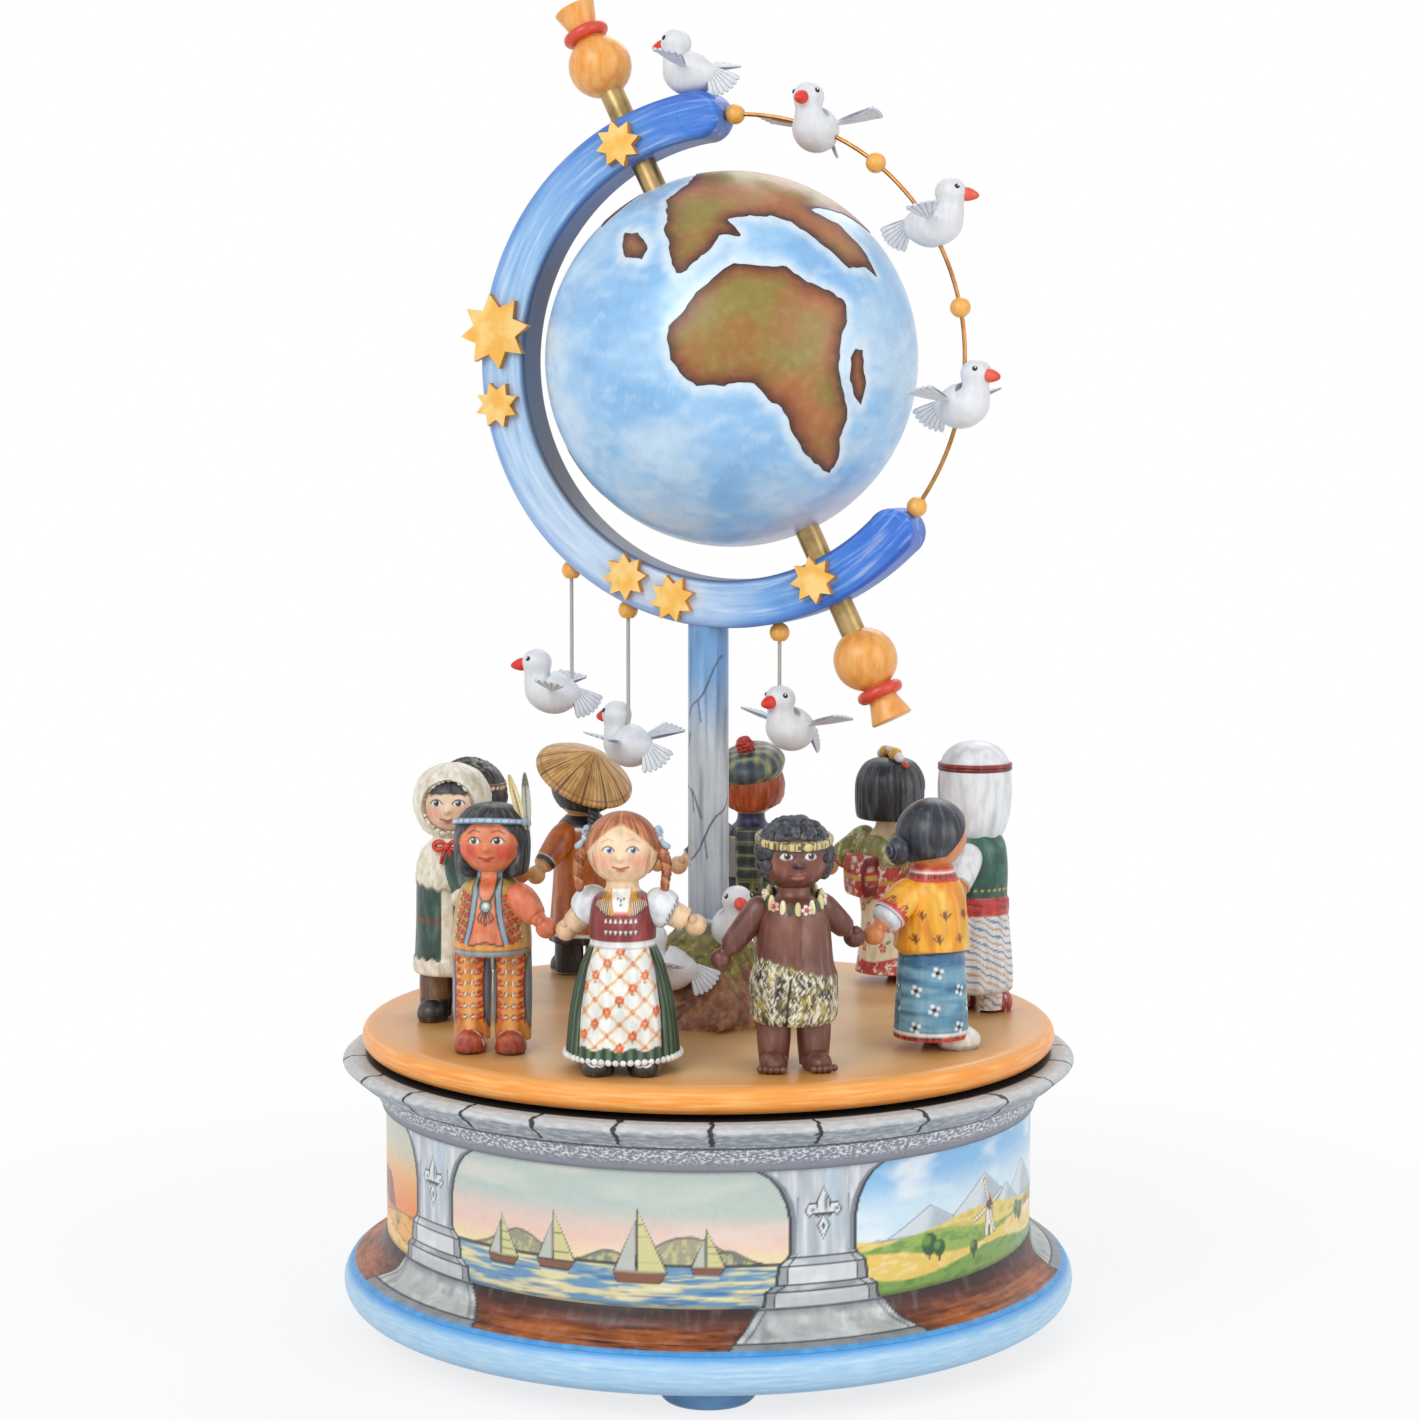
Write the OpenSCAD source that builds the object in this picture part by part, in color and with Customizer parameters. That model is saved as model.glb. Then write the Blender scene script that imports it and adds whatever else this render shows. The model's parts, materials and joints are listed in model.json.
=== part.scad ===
// Wind-up music box: a painted drum with its key underneath, a turntable that
// carries ten wooden children in a ring, and a crescent that holds a globe.
// Millimetres, +Z up, front at -Y, the feet stand on z = 0.

/* [Base] */
// Height of the three feet
foot_h = 6.5; // [5:0.5:10]
// Radius of a foot
foot_r = 12.5; // [9:0.5:15]
// Radius of the circle that the feet stand on
foot_circle_r = 79.5; // [74:0.5:82]
// Radius of the base plate over its round rim
plate_r = 105; // [102:0.5:112]
// Thickness of the base plate
plate_t = 13.2; // [11:0.2:16]
// Radius of the well that the key turns in
well_r = 27; // [24:0.5:32]
// Outer radius of the drum
drum_r = 92.5; // [90:0.5:95]
// Wall of the drum
drum_wall = 10; // [8:0.5:12]
// Height of the drum
drum_h = 44; // [42:0.5:50]
// Height of the cove round the foot of the drum
cove_h = 7.5; // [4:0.5:10]
// How far the cove is hollowed
cove_sag = 1.1; // [0.4:0.1:1.6]
// Upright edge at the foot of the cove
cove_lip = 0.4; // [0.3:0.1:0.8]
// Shank radius of the wood screws
screw_r = 1.6; // [1.2:0.1:2]
// Radius of a screw head
screw_head_r = 3.2; // [2.6:0.1:4]

/* [Cornice] */
// Radius of the cornice at its nose
nose_r = 104.75; // [101:0.25:110]
// Height of the cornice
cornice_h = 14.3; // [12:0.1:18]
// Outer radius of the brass bush in the cornice
bush_r = 8; // [6.5:0.5:12]
// Radius of the flange of the bush
bush_flange_r = 13; // [12.5:0.5:18]
// Thickness of the flange of the bush
bush_flange_t = 0.8; // [0.5:0.1:1.2]

/* [Movement] */
// Thickness of the bedplate
bed_t = 3; // [2.5:0.5:4]
// Radius of the winding arbor
arbor_r = 2.5; // [2:0.1:3]
// Radius of the spring barrel
barrel_r = 18; // [17.5:0.5:20]
// Height of the spring barrel without its teeth
barrel_h = 14; // [12:0.5:16]
// Wall of the spring barrel
barrel_wall = 2; // [1.5:0.25:3]
// Teeth of the crown wheel on the barrel
crown_n = 48; // [48:12:48]
// Teeth of the pinion on the cylinder
pinion_n = 12; // [12:12:12]
// Radius of the pinned cylinder
cyl_r = 6.5; // [5.5:0.25:7]
// Teeth of the steel comb
comb_n = 18; // [12:1:24]
// Radius of the governor's fan
fan_r = 8; // [6:0.5:9]
// Gap between the turning fan and the wall of the drum
fan_gap = 3; // [2:0.5:5]
// Length of the governor case along the cylinder
gov_len = 9; // [8:0.5:11]
// Width of the governor case across the cylinder
gov_w = 16; // [14:0.5:20]
// Span of the winding key over its wings
key_span = 30; // [24:1:36]
// Thickness of the winding key
key_t = 2.4; // [2:0.2:3.2]
// Radius of the drive shaft
shaft_r = 4; // [3:0.25:5]

/* [Turntable] */
// Radius of the turntable disc
disc_r = 99.2; // [96:0.2:102]
// Thickness of the turntable disc
disc_t = 7.65; // [6.5:0.05:9]
// Gap between the cornice and the disc
disc_gap = 1.4; // [1.2:0.1:2.5]
// Radius of the root mound at the disc
mound_r = 29; // [24:0.5:34]
// Height of the root mound
mound_h = 27; // [22:0.5:34]
// Radius of the pole
pole_r = 5.8; // [5:0.1:7]

/* [Crescent and globe] */
// Height of the globe's centre over the floor
globe_z = 274.25; // [268:0.25:284]
// Radius of the globe
globe_r = 52.5; // [48:0.5:55]
// Outer radius of the crescent
arc_r = 75.3; // [74:0.1:80]
// Width of the crescent along its radius
arc_w = 13.5; // [11:0.5:15]
// Depth of the crescent from front to back
arc_d = 14; // [12:0.5:18]
// Sideways offset of the crescent's centre from the pole
arc_off = 7.06; // [4:0.1:10]
// Turn of the crescent's plane about the pole
arc_turn = -21.6; // [-40:0.2:40]
// Angle of the crescent's upper end
arc_top = 97; // [92:0.5:105]
// Angle of the crescent's lower end
arc_bot = -44.4; // [-50:0.2:-40]
// Tilt of the globe's axle
axle_tilt = 25.7; // [20:0.1:30]
// Radius of the globe's brass axle
axle_r = 3.5; // [3:0.1:4.5]
// Distance of a finial ball from the globe's centre
finial_at = 92.6; // [89:0.2:98]
// Radius of a finial ball
finial_r = 9; // [7.5:0.25:10]
// Radius across a small star
star_r = 6.7; // [5:0.1:7.5]
// Radius across the large star
big_star_r = 10.8; // [9:0.1:12]
// Thickness of a star
star_t = 2.6; // [2:0.1:3.5]

/* [Doves] */
// Radius of the dove wire
wire_r = 0.6; // [0.5:0.05:0.9]
// Radius of the arc that the dove wire follows
wire_arc_r = 68.4; // [66.5:0.1:70]
// Radius of a yellow bead
bead_r = 2.85; // [2.4:0.05:3.2]
// Length of a dove's body
dove_len = 16.5; // [14:0.5:18]
// Radius of a dove's body
dove_r = 6.3; // [5.5:0.1:6.8]
// Radius of a dove's head
dove_head_r = 4.3; // [3.8:0.1:4.8]
// Length of a dove's wing
wing_len = 12.5; // [10:0.5:14]
// Length of a dove's fan tail
tail_len = 9; // [7.5:0.25:10]
// Thickness of wings and tails
wing_t = 0.9; // [0.7:0.1:1.2]
// Length of the left hanging dove's line
line_1 = 29.5; // [24:0.5:34]
// Length of the middle hanging dove's line
line_2 = 33; // [26:0.5:36]
// Length of the right hanging dove's line
line_3 = 21; // [17:0.5:24]

/* [Children] */
// Radius of the ring that the children stand on
ring_r = 77; // [75:0.5:80]
// Radius of a child's head
head_r = 9.3; // [8.6:0.1:10]
// Radius of a hand
hand_r = 2.9; // [2.4:0.1:3.2]
// Distance between two hands that meet
hands_apart = 0.8; // [0.5:0.1:2]
// Thickness of painted hair over the head
hair_t = 1.1; // [0.8:0.1:1.5]
// Radius of a neck
neck_r = 4.4; // [3.8:0.1:5]
// Radius of a skirt hem on the apron girl
apron_hem_r = 15; // [13:0.5:16]
// Radius of the fur skirt of the curly boy
fur_skirt_r = 11.4; // [10:0.2:12.5]
// Radius of the blouse girl's skirt
blouse_skirt_r = 10.6; // [9.5:0.1:12]
// Radius of the headcloth boy's striped trousers
robe_r = 11.6; // [10.5:0.1:13]
// Radius of the kimono at its hem
kimono_hem_r = 10.8; // [10:0.2:12]
// Radius of the straw hat
straw_hat_r = 15.6; // [14:0.2:17]
// Radius of the tam
tam_r = 11.2; // [10.4:0.2:12]
// Radius of the fur hood
hood_r = 11.2; // [10.8:0.1:12]

/* [Hidden] */
$fn = 64;
// Glue line of pieces that sit in each other
fit = 0.04;
// Radial play of a part that turns in a bore
run = 0.06;
e = 0.01;
plate_z = foot_h;
drum_z = plate_z + plate_t;
cornice_z = drum_z + drum_h;
cornice_top = cornice_z + cornice_h;
disc_z = cornice_top + disc_gap;
deck_z = disc_z + disc_t;
bed_z = drum_z + bed_t;
barrel_z = bed_z + 1;
barrel_top = barrel_z + barrel_h;
crown_r = barrel_r - 1.5;
crown_pitch = 2 * PI * crown_r / crown_n;
pinion_r = pinion_n * crown_pitch / (2 * PI);
crown_mid = barrel_top + 1.1;
cyl_z = crown_mid + pinion_r;
cyl_x = barrel_r + 9;
fan_x = drum_r - drum_wall - fan_gap - fan_r;
gov_x = fan_x - gov_len / 2 - 3;
cyl_end = gov_x - 3;
cyl_len = cyl_end - cyl_x;
comb_y = cyl_r + 0.9;
bed_in = -barrel_r - 12;
bed_x1 = fan_x + 0.5;
bed_y1 = comb_y + 26.6;
arc_mid = arc_r - arc_w / 2;
arc_foot = globe_z - sqrt(arc_r * arc_r - arc_off * arc_off);
socket_h = 5;
// The carved ends stand this much proud of the crescent
tip_lip = 0.2;

// Places of the children: angle round the disc, facing, radius as a share of the ring
CHILD_A = [-107, -73, -38, 4, 44, 80, 120, 157, 185, 220.5];
CHILD_F = [-92, -84, 28, 62, 20, 80, 112, 157, -94, -96];
CHILD_R = [1, 1, 1, 1, 1, 1, 1, 1, 0.95, 1];

function place(i) = let (k = (i + 10) % 10) ring_r * CHILD_R[k] * [cos(CHILD_A[k]), sin(CHILD_A[k])];
function arc_pts(c, r, a0, a1, n) = [for (i = [0:n]) let (a = a0 + (a1 - a0) * i / n) c + r * [cos(a),
    sin(a)]];
function spline1(a, b, c, d, t) = 0.5 * ((2 * b) + (c - a) * t + (2 * a - 5 * b + 4 * c - d) * t * t
    + (3 * b - a - 3 * c + d) * t * t * t);
function clampx(p) = [max(p[0], 0), p[1]];
// A smooth curve through a short list of points, n steps for each stretch
function smooth(p, n = 4) = let (m = len(p) - 1) [for (i = [0:m - 1], k = [0:n - 1])
    clampx(spline1(p[max(i - 1, 0)], p[i], p[i + 1], p[min(i + 2, m)], k / n)), p[m]];
function egg(len, r, n = 14) = [for (i = [0:n]) let (a = 180 * i / n) [max(r * sin(a), 0), -len / 2 *
    cos(a)]];
function star_pts(r, n = 8) = [for (i = [0:2 * n - 1]) let (a = 180 * i / n, q = i % 2 == 0 ? r : r * 0.63)
    q * [cos(a), sin(a)]];
function fan_pts(r, spread, root, n = 8) = concat([[0, -root]],
    [for (i = [0:2 * n]) let (a = -spread / 2 + spread * i / (2 * n), q = i % 2 == 0 ? r * 0.95 : r) q
        * [cos(a), sin(a)]],
    [[0, root]]);

module turned(p) { rotate_extrude() polygon(p); }
// A body turned round the Z axis from a smooth profile, closed on the axis
module lathe(p, n = 4) { turned(concat([[0, p[0][1]]], smooth(p, n), [[0, p[len(p) - 1][1]]])); }
module aim(p, q) {
    d = q - p;
    translate(p) rotate([0, acos(d[2] / norm(d)), atan2(d[1], d[0])]) children();
}
module around(n, a0 = 0) { for (i = [0:n - 1]) rotate(a0 + 360 * i / n) children(); }

// Base

module base_plate() color("SaddleBrown") difference() {
    translate([0, 0, plate_z]) turned(concat([[0, 0]],
        arc_pts([plate_r - plate_t / 2, plate_t / 2], plate_t / 2, -90, 90, 14), [[0, plate_t]]));
    translate([0, 0, plate_z - 1]) cylinder(r = well_r, h = plate_t + 2);
    around(3, 90) translate([drum_r - drum_wall / 2, 0, plate_z - 1]) cylinder(r = screw_r + fit, h =
        plate_t + 2);
    around(3, 90) translate([drum_r - drum_wall / 2, 0, plate_z - 1]) cylinder(r = screw_head_r + fit,
        h = 4);
    bed_screw_places() translate([0, 0, drum_z - 8]) cylinder(r = screw_r + fit, h = 10);
}
module feet() color("SaddleBrown") around(3, -90) translate([foot_circle_r, 0, 0])
    turned([[0, 0], [foot_r - 0.8, 0], [foot_r, 0.8], [foot_r, foot_h], [0, foot_h]]);
// The drum flares in a cove out to where the flat top of the plate ends
module drum() color("LightSteelBlue") difference() {
    low = [plate_r - plate_t / 2, cove_lip];
    high = [drum_r, cove_h];
    translate([0, 0, drum_z]) turned(concat([[drum_r - drum_wall, 0], [low[0], 0]],
        smooth([low, (low + high) / 2 - [cove_sag, cove_sag], high], 4),
        [[drum_r, drum_h], [drum_r - drum_wall, drum_h]]));
    around(3, 90) translate([drum_r - drum_wall / 2, 0, drum_z - 1]) cylinder(r = screw_r + fit, h = 16);
}
module cornice() color("Silver") difference() {
    translate([0, 0, cornice_z]) turned(concat([[0, 0], [drum_r + 1.2, 0]],
        smooth([[drum_r + 1.8, 2], [drum_r + 3.6, 5], [nose_r - 7.6, 7.3]], 3),
        [[nose_r - 6, 7.6]],
        smooth([[nose_r - 4.4, 8.6], [nose_r - 1.4, 11.2], [nose_r, 12.6], [nose_r - 0.7, 13.6]], 4),
        [[nose_r - 2.6, cornice_h], [0, cornice_h]]));
    translate([0, 0, cornice_z - 1]) cylinder(r = bush_r + fit, h = cornice_h + 2);
}
module screws() color("Gray") {
    around(3, 90) translate([drum_r - drum_wall / 2, 0, plate_z]) turned([[0, 0.6], [screw_head_r, 0.6],
        [screw_head_r, 3], [screw_r, 3], [screw_r, plate_t + 12], [0, plate_t + 14]]);
    bed_screw_places() translate([0, 0, bed_z]) turned([[0, -9], [screw_r, -8], [screw_r, 0],
        [screw_head_r, 0],
        [screw_head_r, 1.2], [screw_head_r - 0.6, 1.8], [0, 1.8]]);
}
module turntable_bush() color("Goldenrod") difference() {
    union() {
        translate([0, 0, cornice_z]) cylinder(r = bush_r, h = cornice_h);
        translate([0, 0, cornice_top]) cylinder(r = bush_flange_r, h = bush_flange_t);
    }
    translate([0, 0, cornice_z - 1]) cylinder(r = shaft_r + run, h = cornice_h + 4);
}

// Movement

module bed_screw_places() { for (p = [[bed_in + 6, bed_in + 6], [bed_in + 6, -bed_in - 6], [bed_x1 - 6,
    bed_in + 11]]) translate(p) children(); }
module movement_bedplate() color("DarkGoldenrod") difference() {
    union() {
        translate([0, 0, drum_z]) linear_extrude(bed_t) polygon([[bed_in, bed_in + 6], [bed_in + 6, bed_in],
            [bed_x1 - 12, bed_in], [bed_x1, bed_in + 10], [bed_x1, bed_y1 - 10], [bed_x1 - 8, bed_y1],
            [bed_in + 6, bed_y1], [bed_in, bed_y1 - 6]]);
        translate([cyl_x - 5, -4, bed_z - 1]) cube([3, 8, cyl_z - bed_z + 5]);
        translate([cyl_end + 1.4, -4, bed_z - 1]) cube([3, 8, cyl_z - bed_z + 5]);
        translate([cyl_x, comb_y + 14, bed_z - 1]) cube([cyl_len, 10, cyl_z - bed_z + 1]);
    }
    translate([0, 0, drum_z - 1]) cylinder(r = arbor_r + run, h = bed_t + 2);
    bed_screw_places() translate([0, 0, drum_z - 1]) cylinder(r = screw_r + fit, h = bed_t + 2);
    translate([cyl_x - 6, 0, cyl_z]) rotate([0, 90, 0]) cylinder(r = 1.5 + run, h = cyl_len + 20);
}
module comb() color("LightSlateGray") {
    pitch = cyl_len / comb_n;
    difference() {
        translate([cyl_x, comb_y, cyl_z]) cube([cyl_len, 23, 1]);
        for (i = [1:comb_n - 1]) translate([cyl_x + i * pitch - 0.2, comb_y - 1, cyl_z - 1]) cube([0.4,
            14, 3]);
    }
}
module governor_case() color("Goldenrod") difference() {
    translate([gov_x + 3, -gov_w / 2, bed_z]) cube([gov_len, gov_w, cyl_z - bed_z + 4]);
    translate([gov_x + 2, 0, cyl_z]) rotate([0, 90, 0]) cylinder(r = 1.5 + run, h = 6);
    translate([fan_x, 0, cyl_z]) cylinder(r = 0.8 + run, h = 6);
}
module governor_fan() color("Gainsboro") translate([fan_x, 0, cyl_z + 1]) {
    cylinder(r = 0.8, h = 11);
    translate([0, 0, 4]) cylinder(r = 1.6, h = 6);
    translate([-fan_r, -0.3, 4.5]) cube([2 * fan_r, 0.6, 5]);
}
module winding_arbor() color("Gray") difference() {
    translate([0, 0, 6]) cylinder(r = arbor_r, h = barrel_z + 2);
    translate([0, 0, 5]) cylinder(r = 0.9, h = 3);
}
module winding_key() color("Goldenrod") {
    w = key_span / 2;
    difference() {
        union() {
            translate([0, 0, 5.4]) cylinder(r = arbor_r + 2.2, h = 11);
            translate([0, key_t / 2, 0]) rotate([90, 0, 0]) linear_extrude(key_t) {
                for (s = [-1, 1]) translate([s * (w - 6.2), 11]) circle(r = 6.2);
                translate([-w + 6, 8.6]) square([2 * w - 12, 5.6]);
            }
        }
        translate([0, 0, 5.8]) cylinder(r = arbor_r + fit, h = 20);
        for (s = [-1, 1]) translate([s * (w - 6.2), -5, 11]) rotate([-90, 0, 0]) cylinder(r = 2.6, h = 10);
    }
}
module spring_barrel() color("Goldenrod") difference() {
    union() {
        difference() {
            translate([0, 0, barrel_z]) cylinder(r = barrel_r, h = barrel_h);
            translate([0, 0, barrel_z + 1.6]) cylinder(r = barrel_r - barrel_wall, h = barrel_h - 3.2);
        }
        around(crown_n) crown_tooth();
    }
    translate([0, 0, barrel_z - 1]) cylinder(r = arbor_r + run, h = 5);
    translate([0, 0, barrel_top - 3]) cylinder(r = shaft_r + fit, h = 6);
}
module crown_tooth() {
    t = crown_pitch * 0.37;
    translate([crown_r - 1, 0, barrel_top - 0.4]) rotate([90, 0, 90]) linear_extrude(2)
        polygon([[-t * 0.72, 0], [t * 0.72, 0], [t * 0.3, 2], [-t * 0.3, 2]]);
}
module pinned_cylinder() color("Goldenrod") translate([0, 0, cyl_z]) rotate([0, 90, 0]) {
    t = crown_pitch * 0.37;
    union() {
        translate([0, 0, cyl_x]) cylinder(r = cyl_r, h = cyl_len);
        translate([0, 0, crown_r - 1]) cylinder(r = 1.5, h = gov_x - crown_r + 6);
        translate([0, 0, crown_r - 0.8]) cylinder(r = pinion_r - 0.9, h = 1.6);
        around(pinion_n, 180 / pinion_n) translate([0, 0, crown_r - 0.8]) linear_extrude(1.6)
            polygon([[pinion_r - 1.3, -t * 0.75], [pinion_r + 0.7, -t * 0.28], [pinion_r + 0.7, t * 0.28],
                [pinion_r - 1.3, t * 0.75]]);
        for (k = [0:comb_n - 1]) rotate(k * 137) translate([0, 0, cyl_x + (k + 0.5) * cyl_len / comb_n])
            rotate([0, 90, 0]) cylinder(r = 0.3, h = cyl_r + 0.5);
    }
}
module drive_shaft() color("Gray") {
    translate([0, 0, barrel_top - 3]) cylinder(r = shaft_r, h = deck_z - barrel_top + 2);
    translate([0, 0, cornice_top + bush_flange_t + 0.3]) difference() {
        cylinder(r = bush_flange_r - 1, h = disc_gap - bush_flange_t - 0.3);
        translate([0, 0, -1]) cylinder(r = shaft_r - e, h = 5);
    }
}

// Turntable

module turntable_disc() color("SandyBrown") difference() {
    translate([0, 0, disc_z]) turned(concat([[0, 0]],
        arc_pts([disc_r - disc_t / 2, disc_t / 2], disc_t / 2, -90, 90, 12), [[0, disc_t]]));
    translate([0, 0, disc_z - 1]) cylinder(r = shaft_r + fit, h = disc_t);
}
module root_mound() color("DarkOliveGreen") difference() {
    union() {
        translate([0, 0, deck_z]) lathe([[mound_r * 0.86, 0], [mound_r * 0.8, mound_h * 0.16], [mound_r
            * 0.64, mound_h * 0.42],
            [mound_r * 0.46, mound_h * 0.7], [pole_r + 3, mound_h * 0.92], [pole_r + 1.2, mound_h]]);
        for (a = [8, 62, 118, 171, 232, 285, 330]) rotate(a) root_limb();
    }
    translate([0, 0, deck_z - 20]) cylinder(r = 3 * mound_r, h = 20);
    translate([0, 0, deck_z - 1]) cylinder(r = pole_r + fit, h = mound_h + 20);
    fixed_doves([4, 5]) dove_core();
    fixed_doves([4, 5]) dove_fans();
}
module root_limb() {
    aim([pole_r + 1, 0, deck_z + mound_h * 0.72], [mound_r - 3, 0, deck_z + 2.2]) turned(concat([[0, -1]],
        smooth([[3.4, -1], [3.8, 8], [3.1, 18], [2.9, norm([mound_r - pole_r - 4, mound_h * 0.72 -
            2.2]) + 1]], 3),
        [[0, norm([mound_r - pole_r - 4, mound_h * 0.72 - 2.2]) + 3.4]]));
}
module pole() color("SteelBlue") translate([0, 0, deck_z]) cylinder(r = pole_r, h = arc_foot + socket_h
    - deck_z);

// Crescent and globe

module in_arc() { rotate(arc_turn) translate([arc_off, 0, globe_z]) rotate([90, 0, 0]) children(); }
module along_axle() { in_arc() rotate(axle_tilt) rotate([-90, 0, 0]) children(); }
function bar_pts(w, d, c) = concat(arc_pts([w / 2 - c, d / 2 - c], c, 0, 90, 4), arc_pts([-w / 2 + c, d
    / 2 - c], c, 90, 180, 4),
    arc_pts([-w / 2 + c, -d / 2 + c], c, 180, 270, 4), arc_pts([w / 2 - c, -d / 2 + c], c, 270, 360, 4));
function half_bar_pts(w, d, c) = concat([[0, -d / 2]], arc_pts([w / 2 - c, -d / 2 + c], c, -90, 0, 4),
    arc_pts([w / 2 - c, d / 2 - c], c, 0, 90, 4), [[0, d / 2]]);
module arc_bar() {
    rotate(arc_top) rotate_extrude(angle = 360 + arc_bot - arc_top) translate([arc_mid, 0])
        polygon(bar_pts(arc_w, arc_d, 1.8));
    for (a = [arc_top, arc_bot]) rotate(a) translate([arc_mid, 0, 0]) turned(half_bar_pts(arc_w +
        tip_lip, arc_d + tip_lip, 1.8));
}
module meridian_arc() color("RoyalBlue") difference() {
    in_arc() arc_bar();
    along_axle() cylinder(r = axle_r + run, h = 3 * arc_r, center = true);
    translate([0, 0, deck_z]) cylinder(r = pole_r + fit, h = arc_foot + socket_h - deck_z + fit);
    in_arc() wire_bar(wire_r + fit, 0.6);
}
module star_at(a, r, size, spin) { rotate(a) translate([r, 0, arc_d / 2]) rotate(spin - a)
    linear_extrude(star_t) polygon(star_pts(size)); }
module arc_stars() color("Orange") in_arc() {
    star_at(172.8, arc_mid + 1.5, big_star_r, 8);
    star_at(-169.9, arc_mid + 1.5, star_r, 20);
    star_at(-115.4, arc_mid - 1, star_r, 3);
    star_at(-102.3, arc_mid, star_r, 14);
    star_at(-65.6, arc_mid - 1.5, star_r, 10);
    star_at(117, arc_mid - 0.5, star_r, 17);
}
module globe() color("SkyBlue") difference() {
    in_arc() sphere(r = globe_r);
    along_axle() cylinder(r = axle_r + fit, h = 3 * globe_r, center = true);
}
module globe_axle() color("DarkGoldenrod") along_axle() cylinder(r = axle_r, h = 2 * finial_at, center
    = true);
module finials() color("Orange") along_axle() for (s = [0, 180]) rotate([s, 0, 0]) translate([0, 0,
    finial_at]) difference() {
    union() {
        sphere(r = finial_r);
        turned(concat([[0, 6]], smooth([[4.1, 6], [4.1, finial_r + 2.6], [4.7, finial_r + 5], [6,
            finial_r + 9]], 3),
            [[5.6, finial_r + 9.4], [0, finial_r + 9.4]]));
    }
    translate([0, 0, -finial_r - 1]) cylinder(r = axle_r + fit, h = finial_r + 1 + fit);
    translate([0, 0, finial_r + 1]) rotate_extrude() translate([4.9, 0]) circle(r = 1.8);
}
module finial_collars() color("Crimson") along_axle() for (s = [0, 180]) rotate([s, 0, 0])
    translate([0, 0, finial_at + finial_r + 1]) rotate_extrude() translate([4.9, 0]) circle(r = 1.8 - fit);

// Doves

module wire_bar(r, extra) {
    a0 = arc_bot + 180 / PI * (arc_w / 2 - 2.5 - extra) / wire_arc_r;
    a1 = arc_top - 180 / PI * (arc_w / 2 - 2.5 - extra) / wire_arc_r;
    rotate(a0) rotate_extrude(angle = a1 - a0) translate([wire_arc_r, 0]) circle(r = r);
}
module dove_wire() color("Peru") in_arc() wire_bar(wire_r, 0);
bead_in = 180 / PI * (arc_w / 2 + bead_r - 0.25) / wire_arc_r;
module wire_beads() color("Orange") in_arc() {
    for (a = [arc_top - bead_in, 51.6, 11.6, arc_bot + bead_in]) difference() {
        rotate(a) translate([wire_arc_r, 0, 0]) sphere(r = bead_r);
        wire_bar(wire_r + fit, 0);
        arc_bar();
    }
    for (a = HANG_A) rotate(a) translate([arc_r + bead_r - 0.3, 0, 0]) rotate(-a) difference() {
        sphere(r = bead_r);
        rotate(a) translate([-arc_r - bead_r + 0.3, 0, 0]) cylinder(r = arc_r + e, h = 20, center = true);
        translate([0, 0.6, 0]) rotate([90, 0, 0]) cylinder(r1 = wire_r + 0.35, r2 = wire_r + 1.1, h =
            bead_r + 0.8);
    }
}
HANG_A = [-129.7, -114.2, -79.2];
LINES = [line_1, line_2, line_3];
HANG_F = [171, 140, -133];
function bead_place(k) = let (q = arc_r + bead_r - 0.3, s = arc_off + q * cos(HANG_A[k]))
    [s * cos(arc_turn), s * sin(arc_turn), globe_z + q * sin(HANG_A[k])];
// A dove looks along +X with its body round the origin
module dove_core() {
    rotate([0, 90, 0]) turned(egg(dove_len, dove_r));
    translate([dove_len * 0.24, 0, 0]) cylinder(r1 = dove_head_r + 1, r2 = dove_head_r - 1.2, h =
        dove_r + 3);
    translate([dove_len * 0.27, 0, dove_r + 2.2]) sphere(r = dove_head_r);
}
module dove_beak() { translate([dove_len * 0.27 + dove_head_r - 1.2, 0, dove_r + 1.9]) rotate([0, 98, 0])
    cylinder(r1 = 1.7, r2 = 0.35, h = 3.6); }
module dove_fans() {
    for (s = [-1, 1]) translate([-1, s * (dove_r - 1.6), 1.4]) rotate([s * 14, -10, 0]) rotate(s * 98)
        translate([0, 0, -wing_t / 2]) linear_extrude(wing_t) polygon(fan_pts(wing_len + 1.6, 40, 1.8));
    translate([-dove_len / 2 + 1.8, 0, 1.2]) rotate([0, 48, 180]) rotate([56, 0, 0])
        translate([0, 0, -wing_t / 2]) linear_extrude(wing_t) polygon(fan_pts(tail_len, 76, 1.5));
}
module dove_body() {
    difference() {
        dove_core();
        dove_beak();
        dove_fans();
    }
    dove_beak();
}
// Places of the fixed doves: one on the crescent, three on the wire, two on the mound
function on_arc(a, r) = let (s = arc_off + r * cos(a)) [s * cos(arc_turn), s * sin(arc_turn), globe_z +
    r * sin(a)];
DOVE_P = [on_arc(99, arc_r + dove_r - 0.5), on_arc(68.5, wire_arc_r - 0.5), on_arc(31.5, wire_arc_r +
    1.2), on_arc(-10.9, wire_arc_r + 0.6),
    [pole_r + 6.2, -pole_r - 4.4, deck_z + mound_h * 0.92], [-pole_r - 5.6, -pole_r - 13.4, deck_z +
        mound_h * 0.62]];
DOVE_F = [150, -118, -6, -38, -38, 172];
module fixed_doves(list) { for (k = list) translate(DOVE_P[k]) rotate(DOVE_F[k]) children(); }
module dove_bodies() color("White") difference() {
    fixed_doves([0:5]) dove_body();
    in_arc() arc_bar();
    in_arc() wire_bar(wire_r + fit, 0);
}
module dove_wings() color("WhiteSmoke") difference() {
    fixed_doves([0:5]) dove_fans();
    in_arc() arc_bar();
    in_arc() wire_bar(wire_r + fit, 0);
    cylinder(r = pole_r + 0.3, h = 2 * deck_z);
}
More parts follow.
